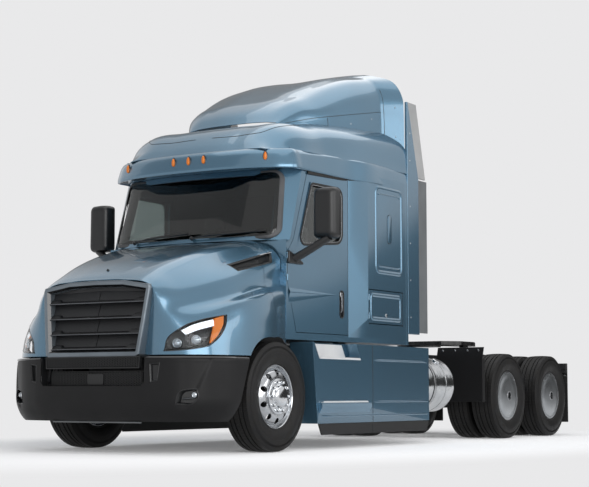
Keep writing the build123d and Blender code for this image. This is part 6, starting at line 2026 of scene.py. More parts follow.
@dataclass
class Doors:
    """Cab doors with rounded windows, rubber, recessed handles and crease; and luggage doors."""

    window: Sequence = ((-.520, 1.950), (-1.325, 2.030), (-1.325, 2.600), (-.755, 2.600))
    corners: Sequence[float] = (.085, .120, .100, .060)
    handle: tuple[float, float, float, float] = (-1.340, -1.270, 1.290, 1.560)

    def build(self) -> None:
        """Makes the doors of both sides."""
        hole = [(at(x), z) for x, z in self.window]
        line = rounded(hole, self.corners, 8)
        line = shrunk(line, .010)
        edge = matched(line, shrunk(hole, -.004))
        x0, x1, z0, z1 = self.handle
        cup = rounded([(at(x0), z0), (at(x1), z0), (at(x1), z1), (at(x0), z1)], .034, 8)
        for label, side in SIDES.items():
            body = f"door_{label}"
            door = rework(body, f"{body}_panel")
            carve(door, Form().prism(cup, "y", *sorted((side * 1.078, side * 1.2))))
            dress(door, PAINT, body, [body], edge=.0035, smooth=35)
            line_inside(door, TRIM, lambda p, n: n.y * p.y < 0 and abs(p.y) < side_y(p.x) - .01)
            refine(f"door_glass_{label}", SIDE_GLASS, .001)
            fill, = on_side([(edge, -.004), (edge, .0016), (line, .0016), (line, -.004)], [side])
            dress(Form().grid(fill, closed=True, looped=True).thing(f"{body}_window_frame"), PAINT, body, smooth=30)
            rubber, = on_side([(shrunk(line, w), r) for w, r in
                               ((-.010, .001), (-.010, .006), (-.004, .0085), (.006, .0065), (.014, .001),
                                (.014, -.016), (-.004, -.016))], [side])
            dress(Form().grid(rubber, closed=True, looped=True).thing(f"{body}_window_rubber"), SEAL, body, smooth=50)
            bright, = on_side([(shrunk(line, w), r) for w, r in
                               ((.0135, .000), (.0135, .0045), (.0175, .0045), (.0185, .000))], [side])
            dress(Form().grid(bright, closed=True, looped=True).thing(f"{body}_window_trim"), STEEL, body, smooth=50)
            self.handles(label, side, cup)
            self.crease(label, side)
            self.painted_shadow_under_roof(label, side)
            self.luggage(label, side)

    def handles(self, label: str, side: int, cup: list) -> None:
        """Black cup, its rim and the pull lever.

        Args:
            label: left or right.
            side: 1 on the left, -1 on the right.
            cup: the cup's outline.
        """
        body = f"door_{label}"
        rows, = on_side([(shrunk(cup, w), r) for w, r in
                         ((-.006, -.001), (-.006, .0035), (-.001, .0045), (.004, .002), (.010, -.022), (.016, -.0245),
                          (.016, -.0255), (.0, -.0255))], [side])
        form = Form().grid(rows, closed=True, looped=True)
        plate, = on_side([(shrunk(cup, .012), -.0255), (shrunk(cup, .012), -.0225)], [side])
        form.cage(plate)
        dress(form.thing(f"{body}_handle_cup"), BLACK, body, smooth=40)
        x0, x1, z0, z1 = self.handle
        xm = at((x0 + x1) / 2)
        y = side_y(xm)
        path = [Vector((xm, (y + d) * side, z)) for z, d in
                ((z1 - .030, -.014), (z1 - .045, -.001), (z1 - .08, .004), ((z0 + z1) / 2, .0045), (z0 + .075, .002),
                 (z0 + .055, -.010))]
        lever = Form().tube(through(path, 5), .0135, 12, .5)
        # The lever is painted in the lighter lacquer: a painted highlight.
        dress(lever.thing(f"{body}_handle_lever"), GUNMETAL_PAINTED_HIGHLIGHT, body, smooth=60)
        key = Form().lathe([(.0001, -.03), (.0001, -.004), (.009, -.004), (.0115, -.007), (.0125, -.03)],
                           (xm, y * side, z1 - .030), 20, (0, side, 0))
        dress(key.thing(f"{body}_lock_barrel"), CHROME, body, smooth=40)
        cap = rounded([(at(x0) + .012, z1 - .062), (at(x1) - .012, z1 - .062), (at(x1) - .012, z1 - .012),
                       (at(x0) + .012, z1 - .012)], .016, 6)
        ring, = on_side([(cap, -.024), (cap, -.0035), (shrunk(cap, .004), -.0005)], [side])
        dress(Form().cage(ring).thing(f"{body}_handle_cap"), STEEL, body, smooth=35)

    @staticmethod
    def crease(label: str, side: int) -> None:
        """Wing that runs on from the fender over the door and fades away."""
        front, back = at(-.375), at(-1.21)
        rows = []
        for k in range(33):
            t = k / 32
            x = front + (back - front) * t
            high = .016 * (1 - t) ** 1.3
            z = 1.500 + .012 * t
            tall = .085 * (1 - t) + .004
            row = []
            for s, rise in ((.55, -.0015), (.50, 0), (.30, .45), (.08, .95), (-.02, 1.0), (-.12, .85), (-.30, .55),
                            (-.60, .25), (-.95, .06), (-1.1, 0), (-1.2, -.0015)):
                r = rise * high if abs(rise) > .002 else rise
                row.append((x, (side_y(x) + r) * side, z + s * tall))
            rows.append(row)
        made = Form().grid(rows).thing(f"door_{label}_crease")
        dress(thicken(made, .001, even=False), PAINT, f"door_{label}", smooth=60)

    @staticmethod
    def painted_shadow_under_roof(label: str, side: int) -> None:
        """Black strip along the door's top, which runs on over the sleeper's corner: painted shadow under the roof
        band's flare.
        """
        for name, body, ends in (("door", f"door_{label}", (-.700, -1.416)), ("sleeper", "truck", (-1.436, -1.600))):
            rows = []
            for k in range(9):
                x = at(ends[0] + (ends[1] - ends[0]) * k / 8)
                t = (at(-.700) - x) / .900
                foot = 2.672 + .012 * t
                head = 2.716
                foot = foot + (head - foot) * max((t - .72) / .28, 0) * .8
                y = side_y(x)
                rows.append([(x, (y + d) * side, z) for d, z in
                             ((-.002, foot), (.006, foot + .002), (.0075, foot + .008), (.004, head - .006),
                              (.003, head), (-.002, head))])
            made = Form().cage(rows).thing(f"{name}_{label}_rain_channel")
            # Black rubber where there is only shade: a painted shadow.
            dress(made, SEAL, body, smooth=40)

    @staticmethod
    def luggage(label: str, side: int) -> None:
        """Luggage door with its pressed bead."""
        node = f"baggage_door_{label}"
        refine(node, PAINT, .003)
        panel = rounded([(at(-2.420), 1.280), (at(-1.740), 1.280), (at(-1.740), 1.570), (at(-2.420), 1.570)], .060)
        rings, = on_side([(shrunk(panel, w), r) for w, r in
                          ((0, -.002), (.003, .001), (.012, .0070), (.022, .0080), (.032, .0060), (.042, .001),
                           (.046, -.002))], [side])
        dress(Form().grid(rings, closed=True).thing(f"{node}_bead"), PAINT, node, smooth=60)
        lock = Form().lathe([(.0001, -.002), (.0001, .006), (.014, .0055), (.019, .003), (.020, -.002)],
                            (at(-2.08), side_y(at(-2.08)) * side, 1.345), 24, (0, side, 0))
        dress(lock.thing(f"{node}_lock"), STEEL, node, smooth=40)


@dataclass
class Mirrors:
    """Door mirrors: domed housing, two glasses, arm and triangular foot."""

    centre: tuple[float, float, float] = (-.560, 1.375, 2.260)
    size: tuple[float, float, float] = (.150, .246, .498)

    def build(self) -> None:
        """Makes both mirrors."""
        cx, cy, cz = self.centre
        dx, dy, dz = (s / 2 for s in self.size)
        for label, side in SIDES.items():
            body = f"door_{label}"
            rings = []
            for share, wide, tall in ((-1.0, .90, .955), (-.985, .955, .98), (-.90, .985, .992), (-.45, 1.0, 1.0),
                                      (.10, .985, .992), (.55, .93, .965), (.85, .80, .90), (.97, .62, .80),
                                      (1.0, .45, .68)):
                line = rounded([(-dy * wide, -dz * tall), (dy * wide, -dz * tall), (dy * wide * .97, dz * tall * .97),
                                (dy * .0, dz * tall), (-dy * wide * .97, dz * tall * .97)],
                               [.045 * wide, .045 * wide, .05 * wide, .3, .05 * wide], 5)
                rings.append([Vector((at(cx) + dx * share, (cy + y) * side, cz + z)) for y, z in line])
            shell = Form().cage(rings).thing(f"mirror_{label}_housing")
            dress(shell, BLACK, body, [f"mirror_{label}"], smooth=60)
            back = at(cx) - dx
            glass, rim = Form(), Form()
            for z0, z1 in ((cz - dz * .93, cz - dz * .36), (cz - dz * .30, cz + dz * .93)):
                y0, y1 = cy - dy * .86, cy + dy * .86
                line = rounded([(y0, z0), (y1, z0), (y1, z1), (y0, z1)], .025, 5)
                glass.cage([[Vector((x, y * side, z)) for y, z in shrunk(line, w)] for x, w in
                            ((back + .004, 0), (back - .0015, 0), (back - .0020, .003))])
                rim.grid([[Vector((x, y * side, z)) for y, z in shrunk(line, w)] for x, w in
                          ((back + .003, -.006), (back - .0035, -.005), (back - .0035, .0), (back + .003, .001))],
                         closed=True, looped=True)
            dress(glass.thing(f"mirror_{label}_glasses"), MIRROR, body, smooth=30)
            dress(rim.thing(f"mirror_{label}_glass_rims"), SEAL, body, smooth=40)
            self.arm(label, side, body)

    def arm(self, label: str, side: int, body: str) -> None:
        """The arm and its foot at the door's front corner.

        Args:
            label: left or right.
            side: 1 on the left, -1 on the right.
            body: the body that they ride on.
        """
        cx, cy, cz = self.centre
        foot = Vector((at(-.470), 1.085 * side, 1.830))
        top = Vector((at(cx), (cy + .035) * side, cz - self.size[2] / 2 + .012))
        rows = []
        for k in range(13):
            t = k / 12
            p = foot.lerp(top, t)
            p.z -= .004 * math.sin(math.pi * t)
            long, thick = (.062 - .014 * t), (.038 - .004 * t)
            run = (top - foot).normalized()
            up = Vector((1, 0, 0)).cross(run).normalized()
            rows.append([p + Vector((1, 0, 0)) * math.cos(a) * long + up * math.sin(a) * thick
                         for a in (2 * math.pi * j / 16 for j in range(16))])
        dress(Form().cage(rows).thing(f"mirror_{label}_arm"), BLACK, body, smooth=60)
        plate = rounded([(at(-.345), 1.905), (at(-.345), 1.775), (at(-.640), 1.775)], [.020, .015, .012], 5)
        rings, = on_side([(plate, -.001), (plate, .018), (shrunk(plate, .008), .025)], [side])
        dress(Form().cage(rings).thing(f"mirror_{label}_foot"), BLACK, body, smooth=35)
        collar = Form().lathe([(.026, -.01), (.044, -.01), (.042, .014), (.034, .026), (.026, .028)],
                              (foot.x, foot.y, foot.z), 24, (0, side, .15))
        dress(collar.thing(f"mirror_{label}_collar"), BLACK, body, smooth=45)


@dataclass
class Extenders:
    """Side extenders behind the sleeper with their flexible edges."""

    def build(self) -> None:
        """Makes them."""
        refine("side_extenders", PAINT, .004)
        # Faces above 2.885 m get the lighter rubber: painted light on the upper edges.
        line_inside(refine("extender_edges", EDGE_RUBBER, .004), EDGE_RUBBER_PAINTED_LIGHT, lambda p, n: p.z > 2.885)
        form = Form()
        for way in WAYS:
            for x, z in ((at(-2.640), z) for z in (1.35, 1.75, 2.15, 2.55, 3.05, 3.35)):
                form.lathe(SCREW, (x, 1.1955 * way, z), 12, (0, way, 0))
        dress(form.thing("side_extender_screws"), STEEL, "truck", smooth=40)


@dataclass
class SideFairings:
    """Painted chassis fairings with their entry steps, pressed lines, seams and rubber skirts."""

    face: float = 1.2195
    upper: tuple[float, float, float] = (-.700, -1.515, .870)      # step's front, rear and height
    lower: tuple[float, float, float] = (-.690, -1.650, .452)
    seam: float = -1.735

    def build(self) -> None:
        """Makes them on both sides."""
        refine("chassis_fairings", PAINT, .006)
        refine("fairing_skirts", SEAL, .004)
        self.steps()
        self.lines()

    def steps(self) -> None:
        """Kick plates, treads with toothed edges, and the bolster of the lower step."""
        plates, treads, bolsters = Form(), Form(), Form()
        front, rear, z = self.upper
        for way in WAYS:
            def y(value: float) -> float:
                """A distance outwards as Y on this side."""
                return value * way

            plate = [(at(front + .072), z + .150), (at(front - .022), z + .010), (at(front - .735), z + .010),
                     (at(front - .650), z + .150)]
            rings = [[Vector((x, y(d), h)) for x, h in outline] for outline, d in
                     ((plate, 1.074), (plate, 1.080), (shrunk(plate, .004), 1.083))]
            plates.cage(rings)
            for (a, b, level), out, tall in (((front - .012, rear + .012, z + .0015), 1.2165, .020),
                                             ((self.lower[0] - .02, self.lower[1] + .06, self.lower[2] - .006),
                                              1.2535, .024)):
                back = 1.074 if out < 1.22 else 1.2215
                treads.block((at(b), at(a)), sorted((y(back), y(out))), (level, level + .010))
                treads.block((at(b), at(a)), sorted((y(out - .004), y(out + .0012))), (level - tall, level + .012))
        # Plates, treads and teeth are near white: pale aluminium with a painted reflection.
        dress(plates.thing("step_kick_plates"), ALUMINIUM_PAINTED_REFLECTION, "truck", edge=.001)
        dress(treads.thing("step_treads"), ALUMINIUM_PAINTED_REFLECTION, "truck", edge=.0025)
        for way, label in ((1, "left"), (-1, "right")):
            for name, (a, b, level), out in (("upper", (front - .02, rear + .02, z + .0150), 1.2165),
                                             ("lower", (self.lower[0] - .03, self.lower[1] + .07,
                                                        self.lower[2] + .0075), 1.2530)):
                pitch = .0145
                count = int((a - b) / pitch)
                tooth = Form().prism([(0, -.004), (.0095, -.004), (.0080, .0062), (.0015, .0062)], "y",
                                     *sorted(((out - .014) * way, (out + .0012) * way)))
                Copies(Layout.GRID, count, 1, (at(b), 0.0, level), (pitch, 0.0, 0.0)).make(
                    f"step_teeth_{name}_{label}", tooth, ALUMINIUM_PAINTED_REFLECTION, "truck")
        a, b, level = self.lower
        for way in WAYS:
            rows = []
            for k in range(41):
                t = k / 40
                x = at(a + (b - a) * t)
                swell = min(math.sin(math.pi * min(t * 7, .5)), math.sin(math.pi * min((1 - t) * 4, .5)))
                out = 1.2175 + .0365 * max(swell, 0)
                low = level - .045 * max(swell, .12)
                rows.append([(x, yy * way, zz) for yy, zz in
                             ((1.214, low - .032), (1.2165, low - .024), (out - .008, level - .046),
                              (out, level - .036),
                              (out, level - .014), (out - .004, level - .007), (1.214, level - .006))])
            bolsters.cage(rows)
        dress(bolsters.thing("lower_step_bolsters"), PAINT, "truck", smooth=50)

    def lines(self) -> None:
        """Pressed lines along the fairings and the dark seams between their panels."""
        beads, seams = Form(), Form()
        for way in WAYS:
            for z, start, end in ((.872, -1.765, -2.96), (.452, -1.765, -2.985), (.318, -.72, -2.985)):
                count = 24
                rows = []
                for k in range(count + 1):
                    x = at(start + (end - start) * k / count)
                    fade = min(1.0, k / 2, (count - k) / 2)
                    rows.append([(x, (self.face + d * fade) * way, z + h) for h, d in
                                 ((.020, -.0025), (.014, .0005), (.004, .0055), (-.003, .0050), (-.006, .0010),
                                  (-.008, -.0025))])
                beads.grid(rows)
            for z0, z1 in ((.252, 1.024),):
                path = [Vector((at(self.seam - .010 * (1.03 - z0 - (z1 - z0) * k / 12)), (self.face + .0005) * way,
                                z0 + (z1 - z0) * k / 12)) for k in range(13)]
                seams.tube(path, .0032, 6)
            seams.tube([Vector((at(-1.745), 1.2155 * way, z)) for z in (.145, .19, .235)], .003, 6)
        dress(beads.thing("side_fairing_lines"), PAINT, "truck", smooth=60)
        dress(seams.thing("side_fairing_seams"), SEAL, "truck", smooth=60)


@dataclass
class FuelTanks:
    """Polished round tanks with rolled end rims, straps on rubber and a filler cap."""

    radius: float = 0.3045
    centre: tuple[float, float] = (.885, .635)
    ends: tuple[float, float] = (-.7975, at(-1.902))
    straps: Sequence[float] = (-.340, .100, .620)

    def build(self) -> None:
        """Makes both tanks."""
        y, z = self.centre
        rear, front = self.ends
        r = self.radius
        tanks, bands, pads, caps = Form(), Form(), Form(), Form()
        for way in WAYS:
            long = front - rear
            profile = [(.0001, .016), (r * .35, .012), (r * .70, .010), (r * .86, .014), (r * .93, .022),
                       (r * .955, .030), (r * .965, .018), (r * .985, 0), (r, .002), (r, .012), (r * .992, .040),
                       (r * .992, long - .040),
                       (r, long - .012), (r, long - .002), (r * .985, long), (r * .965, long - .018),
                       (r * .93, long - .022), (r * .5, long - .010), (.0001, long - .016)]
            tanks.lathe(profile, (rear, y * way, z), 96, (1, 0, 0))
            for x in self.straps:
                bands.lathe([(r - .001, -.024), (r + .0035, -.024), (r + .0045, -.021), (r + .0045, .021),
                             (r + .0035, .024), (r - .001, .024)], (x, y * way, z), 96, (1, 0, 0))
                pads.lathe([(r - .002, -.030), (r + .0015, -.030), (r + .0015, .030), (r - .002, .030)],
                           (x, y * way, z), 96, (1, 0, 0))
            caps.lathe([(.0001, 0), (.044, 0), (.046, .004), (.046, .026), (.040, .032), (.0001, .034)],
                       (rear + .16, (y + r * .50) * way, z + r * .82), 40, (0, .50 * way, .82))
        tank = dress(tanks.thing("fuel_tank_shells"), TANK, "truck", ["fuel_tanks"], smooth=40)
        face_outwards(tank)
        dress(bands.thing("fuel_tank_straps"), STEEL, "truck", smooth=40)
        dress(pads.thing("fuel_tank_strap_rubbers"), SEAL, "truck", smooth=40)
        dress(caps.thing("fuel_tank_caps"), CHROME, "truck", smooth=40)
        ridges = Form()
        for x in (-.615, -.10):
            for way in WAYS:
                ridges.lathe([(r - .001, -.010), (r + .0010, -.006), (r + .0022, 0), (r + .0010, .006),
                              (r - .001, .010)], (x, y * way, z), 96, (1, 0, 0))
        dress(ridges.thing("fuel_tank_weld_ridges"), TANK, "truck", smooth=60)


def face_outwards(thing: bpy.types.Object) -> None:
    """Turns a lathed piece's faces outwards once more after dressing."""
    with meshwork(thing) as work:
        bmesh.ops.recalc_face_normals(work, faces=work.faces)


@dataclass
class Deck:
    """Deck plate, fifth wheel, quarter fenders and mud flaps."""

    def build(self) -> None:
        """Makes them."""
        refine("deck_plate", TREAD_PLATE, .002)
        refine("fifth_wheel_plate", GREASED, .005, rounds=3)
        refine("fifth_wheel_stands", CHASSIS, .004)
        refine("quarter_fenders", BUMPER, .004)
        refine("mud_flaps", FLAP, .003)
        self.fifth_wheel()
        self.fender_fittings()
        self.flap_fittings()

    def fifth_wheel(self) -> None:
        """Grease grooves and pivot caps of the fifth wheel."""
        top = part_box("fifth_wheel_plate")[1].z
        cx = -2.765
        pins = Form()
        for way in WAYS:
            pins.lathe([(.0001, -.012), (.0001, .012), (.030, .011), (.037, .006), (.038, -.012)],
                       (cx, .402 * way, top - .088), 28, (0, way, 0))
        dress(pins.thing("fifth_wheel_pivot_caps"), CAST, "fifth_wheel_plate", smooth=40)
        grooves = Form()
        for radius in (.145, .205):
            path = [Vector((cx + .05 + radius * math.cos(a), radius * math.sin(a), top + .0002))
                    for a in (math.radians(40 + 280 * k / 40) for k in range(41))]
            path = [p for p in path if p.x < cx + .30 and not (p.x < cx - .02 and abs(p.y) < .09)]
            halves = [[p for p in path if p.y > 0], [p for p in path if p.y <= 0]]
            for half in halves:
                if len(half) > 2:
                    grooves.tube(half, .0055, 8, .25)
        dress(grooves.thing("fifth_wheel_grease"), SEAL, "fifth_wheel_plate", smooth=60)

    @staticmethod
    def fender_fittings() -> None:
        """Bolts along the top strips."""
        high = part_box("quarter_fenders")[1]
        bolt = Form()
        for way in WAYS:
            for y in (.70, .86, 1.02, 1.16):
                bolt.lathe([(.0001, -.002), (.0001, .0065), (.009, .006), (.0125, .002), (.0125, -.002)],
                           (high.x - .0005, y * way, high.z - .040), 6, (1, 0, 0))
        dress(bolt.thing("quarter_fender_bolts"), STEEL, "truck", smooth=30)

    @staticmethod
    def flap_fittings() -> None:
        """Tail lamps on the mud flap brackets and the strips that clamp the flaps."""
        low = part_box("mud_flaps")[0]
        strips, lamps, bezels = Form(), Form(), Form()
        for way in WAYS:
            strips.block((low.x + .012, low.x + .0165), sorted((.625 * way, 1.200 * way)), (.755, .790))
            for y in (.66, .80, .94, 1.08, 1.18):
                strips.lathe([(.0001, 0), (.0001, .0115), (.007, .011), (.0095, .008), (.0095, 0)],
                             (low.x + .012, y * way, .7725), 6, (1, 0, 0))
        dress(strips.thing("mud_flap_clamps"), STEEL, "truck", edge=.001)
        end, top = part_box("cross_members")[0].x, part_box("frame_rails")[1].z
        for y, way in ((y, way) for y in (.150, .275) for way in WAYS):
            lamps.lathe([(.0001, 0), (.0001, .012), (.036, .010), (.044, .006), (.046, 0)],
                        (end, y * way, top - .10), 36, (-1, 0, 0))
            bezels.lathe([(.046, -.004), (.046, .007), (.050, .009), (.056, .005), (.057, -.004)],
                         (end, y * way, top - .10), 36, (-1, 0, 0))
        dress(lamps.thing("tail_lamp_lenses"), RED_LENS, "truck", smooth=50)
        dress(bezels.thing("tail_lamp_bezels"), SEAL, "truck", smooth=50)


@dataclass
class RunningGear:
    """Frame, axles, springs, driveline and engine, with their edges rounded and bolts set."""

    iron: Sequence[str] = ("steer_axle_beam", "knuckle_left", "knuckle_right", "drive_axles", "trailing_arms",
                           "engine_block")
    steel: Sequence[str] = ("frame_rails", "cross_members", "chassis_brackets", "leaf_springs", "driveline", "tie_rod")

    def build(self) -> None:
        """Makes them."""
        for node in self.iron:
            refine(node, CAST, .004)
        for node in self.steel:
            refine(node, CHASSIS, .0025)
        refine("air_springs", SEAL, .006, rounds=3)
        refine("arch_liners", BLACK, .003)
        self.bolts()

    @staticmethod
    def bolts() -> None:
        """Rows of bolt heads along the frame's webs."""
        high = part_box("frame_rails")[1]
        for label, side in SIDES.items():
            head = Form().lathe([(.0001, -.002), (.0001, .009), (.0095, .009), (.012, .006), (.012, -.002)],
                                (0, 0, 0), 6, (0, side, 0))
            y = (high.y - .0005) * side
            Copies(Layout.GRID, 22, 2, (-4.02, y, high.z - .075), (.110, 0.0, 0.0), (0.0, 0.0, -.130),
                   (0.0, 0.0, 0.0)).make(f"frame_bolts_{label}", head, STEEL, "truck", smooth=30)


@dataclass
class Cushion:
    """A stuffed piece: a closed form that swells under pressure between its sewn lines.

    Attributes:
        name: the piece's name.
        form: its shape before it is stuffed.
        sewn: how far a point is from the nearest sewn line, in metres.
        finish: its cover.
        voxel: size of the cells that it is remeshed to.
        cap: how far the stuffing may push a point.
        fill: how full it is, from 0 to 1; not used.
    """

    name: str
    form: Form
    sewn: Callable[[Vector], float]
    finish: Finish
    voxel: float = 0.014
    cap: float = 0.022
    fill: float = 0.7
    groove: float = 0.007
    frames: int = 20

    def make(self, stands_for: Sequence[str] = ()) -> bpy.types.Object:
        """Stuffs it and gives it its cover."""
        thing = self.form.thing(self.name)
        remesh = thing.modifiers.new("cells", "REMESH")
        remesh.mode = "VOXEL"
        remesh.voxel_size = self.voxel
        settle(thing)
        mesh = thing.data
        group = thing.vertex_groups.new(name="sewn")
        near = [v.index for v in mesh.vertices if self.sewn(v.co) < self.voxel * .8]
        group.add(near, 1.0, "REPLACE")
        for index in near:
            vertex = mesh.vertices[index]
            vertex.co -= vertex.normal * self.groove
        self.stuff(thing)
        dress(thing, self.finish, "truck", stands_for, smooth=180, levels=1)
        return thing

    def stuff(self, thing: bpy.types.Object) -> None:
        """Lets air pressure swell it as cloth, held at its sewn lines, no further than the cap."""
        start = [v.co.copy() for v in thing.data.vertices]
        cloth = thing.modifiers.new("cloth", "CLOTH")
        cloth.settings.use_pressure = True
        cloth.settings.uniform_pressure_force = 4.0
        cloth.settings.effector_weights.gravity = 0.0
        cloth.settings.vertex_group_mass = "sewn"
        cloth.point_cache.frame_start, cloth.point_cache.frame_end = 1, self.frames
        scene = bpy.context.scene
        for frame_number in range(1, self.frames + 1):
            scene.frame_set(frame_number)
        swollen = [v.co.copy() for v in evaluated(thing).vertices]
        thing.modifiers.remove(cloth)
        scene.frame_set(1)
        for vertex, before, after in zip(thing.data.vertices, start, swollen):
            move = after - before
            if move.length > self.cap:
                move *= self.cap / move.length
            vertex.co = before + move


def slab(form: Form, outline: Sequence[tuple[float, float]], y: tuple[float, float], radius: float) -> Form:
    """A block with the outline in X and Z, between two values of Y, rounded at every edge."""
    line = rounded(outline, radius, 5)
    rows = []
    for d, w in ((0, radius), (radius * .3, radius * .3), (radius, 0)):
        rows.append([Vector((x, y[0] + d, z)) for x, z in shrunk(line, w)])
    for d, w in ((radius, 0), (radius * .3, radius * .3), (0, radius)):
        rows.append([Vector((x, y[1] - d, z)) for x, z in shrunk(line, w)])
    return form.cage(rows)


@dataclass
class Seats:
    """Two air-sprung seats: padded cushion, back and headrest on a bellows stand."""

    floor: float = 1.10
    x: float = at(-1.08)
    y: float = 0.480

    def build(self) -> None:
        """Makes both seats."""
        first = True
        for label, side in SIDES.items():
            middle = self.y * side
            for cushion in self.pads(label, middle):
                cushion.make(["seats"] if first else ())
                first = False
            self.stand(label, middle)

    def pads(self, label: str, middle: float) -> list[Cushion]:
        """The soft pieces of one seat."""
        x, low = self.x, self.floor
        squab = slab(Form(), [(x - .240, low + .350), (x + .245, low + .350), (x + .245, low + .440),
                              (x + .200, low + .452), (x - .240, low + .445)], (middle - .240, middle + .240), .032)
        back = slab(Form(), [(x - .196, low + .475), (x - .092, low + .475), (x - .205, low + 1.135),
                             (x - .280, low + 1.135)], (middle - .228, middle + .228), .030)
        head = slab(Form(), [(x - .222, low + 1.165), (x - .282, low + 1.165), (x - .304, low + 1.312),
                             (x - .250, low + 1.312)], (middle - .122, middle + .122), .022)

        def squab_lines(p: Vector) -> float:
            """Distance from the cushion's sewn lines."""
            if p.z < low + .40:
                return 1.0
            across = abs(abs(p.y - middle) - .155)
            return min(across, *(abs(p.x - x - d) if abs(p.y - middle) < .155 else 1.0 for d in (-.08, .08)))

        def back_lines(p: Vector) -> float:
            """Distance from the back's sewn lines."""
            if p.x < x - .17 - (p.z - low - .475) * .135:
                return 1.0
            across = abs(abs(p.y - middle) - .150)
            return min(across, *(abs(p.z - low - d) if abs(p.y - middle) < .150 else 1.0 for d in (.64, .80, .96)))

        return [Cushion(f"seat_cushion_{label}", squab, squab_lines, CLOTH),
                Cushion(f"seat_back_{label}", back, back_lines, CLOTH),
                Cushion(f"seat_headrest_{label}", head, lambda p: 1.0, CLOTH, cap=.012)]

    def stand(self, label: str, middle: float) -> None:
        """The rubber bellows, the pan under the cushion, and the headrest's posts."""
        x, low = self.x, self.floor
        rows = []
        for k in range(25):
            z = low + .012 + .296 * k / 24
            half = .178 + .014 * math.cos(math.pi * k / 2) - (.0 if 0 < k < 24 else .004)
            outline = rounded([(x - half, middle - half + .02), (x + half, middle - half + .02),
                               (x + half, middle + half - .02), (x - half, middle + half - .02)], .045, 5)
            rows.append([Vector((px, py, z)) for px, py in outline])
        dress(Form().cage(rows).thing(f"seat_bellows_{label}"), SEAL, "truck", smooth=30)
        pan = slab(Form(), [(x - .25, low + .308), (x + .25, low + .308), (x + .25, low + .352), (x - .25, low + .352)],
                   (middle - .245, middle + .245), .012)
        pan.block((x - .20, x + .20), (middle - .18, middle + .18), (low, low + .014))
        for way in WAYS:
            post = middle + .055 * way
            pan.tube([Vector((x - .243, post, low + 1.12)), Vector((x - .252, post, low + 1.20))], .006, 12)
            pan.lathe([(.0001, -.008), (.0001, .012), (.030, .010), (.034, .004), (.034, -.008)],
                      (x - .165, middle + .246 * way, low + .43), 28, (0, way, 0))
        dress(pan.thing(f"seat_frame_{label}"), TRIM, "truck", smooth=35)


@dataclass
class Bunk:
    """The sleeper's bed: quilted mattress on a board, with locker doors below."""

    def build(self) -> None:
        """Makes the bed."""
        low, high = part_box("bunk")
        x0, x1, z0, z1 = low.x + .020, high.x - .022, high.z - .118, high.z - .020
        form = slab(Form(), [(x0, z0), (x1, z0), (x1, z1), (x0, z1)], (low.y + .024, high.y - .024), .030)

        def quilt(p: Vector) -> float:
            """Distance from the quilting's lines."""
            if p.z < high.z - .05:
                return 1.0
            return min(abs((p.y + 1.14) % .19 - .095), abs((p.x - low.x) % .175 - .0875))

        Cushion("bunk_mattress", form, quilt, QUILT, voxel=.020, cap=.018).make(["bunk"])
        frame_form = Form().block((low.x, high.x - .012), (low.y + .004, high.y - .004), (high.z - .190, high.z - .122))
        frame_form.block((high.x - .030, high.x - .010), (low.y + .022, high.y - .022), (low.z, high.z - .188))
        dress(frame_form.thing("bunk_board"), TRIM, "truck", edge=.004)
        doors, pulls = Form(), Form()
        for y in (-.74, 0.0, .74):
            foot, head = low.z + .05, high.z - .225
            line = rounded([(y - .34, foot), (y + .34, foot), (y + .34, head), (y - .34, head)], .03, 5)
            doors.cage([[Vector((high.x + d, py, pz)) for py, pz in shrunk(line, w)]
                        for w, d in ((0, -.011), (0, -.004), (.005, -.001))])
            pulls.cage([[Vector((high.x + d, y + py, high.z - .27 + pz)) for py, pz in
                         shrunk(rounded([(-.06, -.014), (.06, -.014), (.06, .014), (-.06, .014)], .012, 4), w)]
                        for w, d in ((0, -.002), (.001, .0), (.003, .0005))])
        dress(doors.thing("bunk_locker_doors"), TRIM, "truck", smooth=30)
        dress(pulls.thing("bunk_locker_pulls"), BLACK, "truck", smooth=30)


@dataclass
class Dashboard:
    """Dashboard with its gauges, vents and blank screen, and the steering wheel."""

    def build(self) -> None:
        """Makes it."""
        refine("dashboard", TRIM, .022, rounds=4)
        refine("steering_wheel", SEAL, .003)
        wall = at(-.38)
        upper, lower = Vector((wall - .180, 0, 1.940)), Vector((wall - .290, 0, 1.820))
        up = (upper - lower).normalized()
        out = Vector((-up.z, 0, up.x))

        def place(y: float, t: float, lift: float) -> Vector:
            """A place on the leaning instrument face."""
            return lower.lerp(upper, t) + Vector((0, y, 0)) + out * lift

        bezels, dials, screens, slats = Form(), Form(), Form(), Form()
        for y, t, r in ((.405, .55, .056), (.555, .55, .056), (.305, .70, .026), (.305, .30, .026), (.655, .70, .026),
                        (.655, .30, .026)):
            bezels.lathe([(r, -.004), (r, .006), (r + .003, .009), (r + .007, .006), (r + .009, -.004)],
                         place(y, t, 0), 40, out)
            dials.lathe([(.0001, -.002), (.0001, .003), (r + .001, .003), (r + .001, -.002)], place(y, t, 0), 40, out)
        plate = rounded([(-.13, .12), (.13, .12), (.13, .90), (-.13, .90)], .0001, 2)
        screens.cage([[place(y + .05, t, d) for y, t in shrunk(plate, w)]
                      for w, d in ((0, -.002), (0, .004), (.004, .006))])
        for y in (-.78, -.30, .88):
            for k in range(6):
                a = place(y, .18 + .13 * k, .0035)
                slats.tube([a - Vector((0, .055, 0)), a + Vector((0, .055, 0))], .0040, 6)
            for way in WAYS:
                slats.tube([place(y + .058 * way, .10, .004), place(y + .058 * way, .92, .004)], .0055, 6)
        dress(bezels.thing("gauge_bezels"), STEEL, "truck", smooth=50)
        dress(dials.thing("gauge_faces"), BLACK, "truck", smooth=30)
        dress(screens.thing("dashboard_screen"), GLOSS_BLACK, "truck", smooth=30)
        dress(slats.thing("dashboard_vents"), BLACK, "truck", smooth=50)


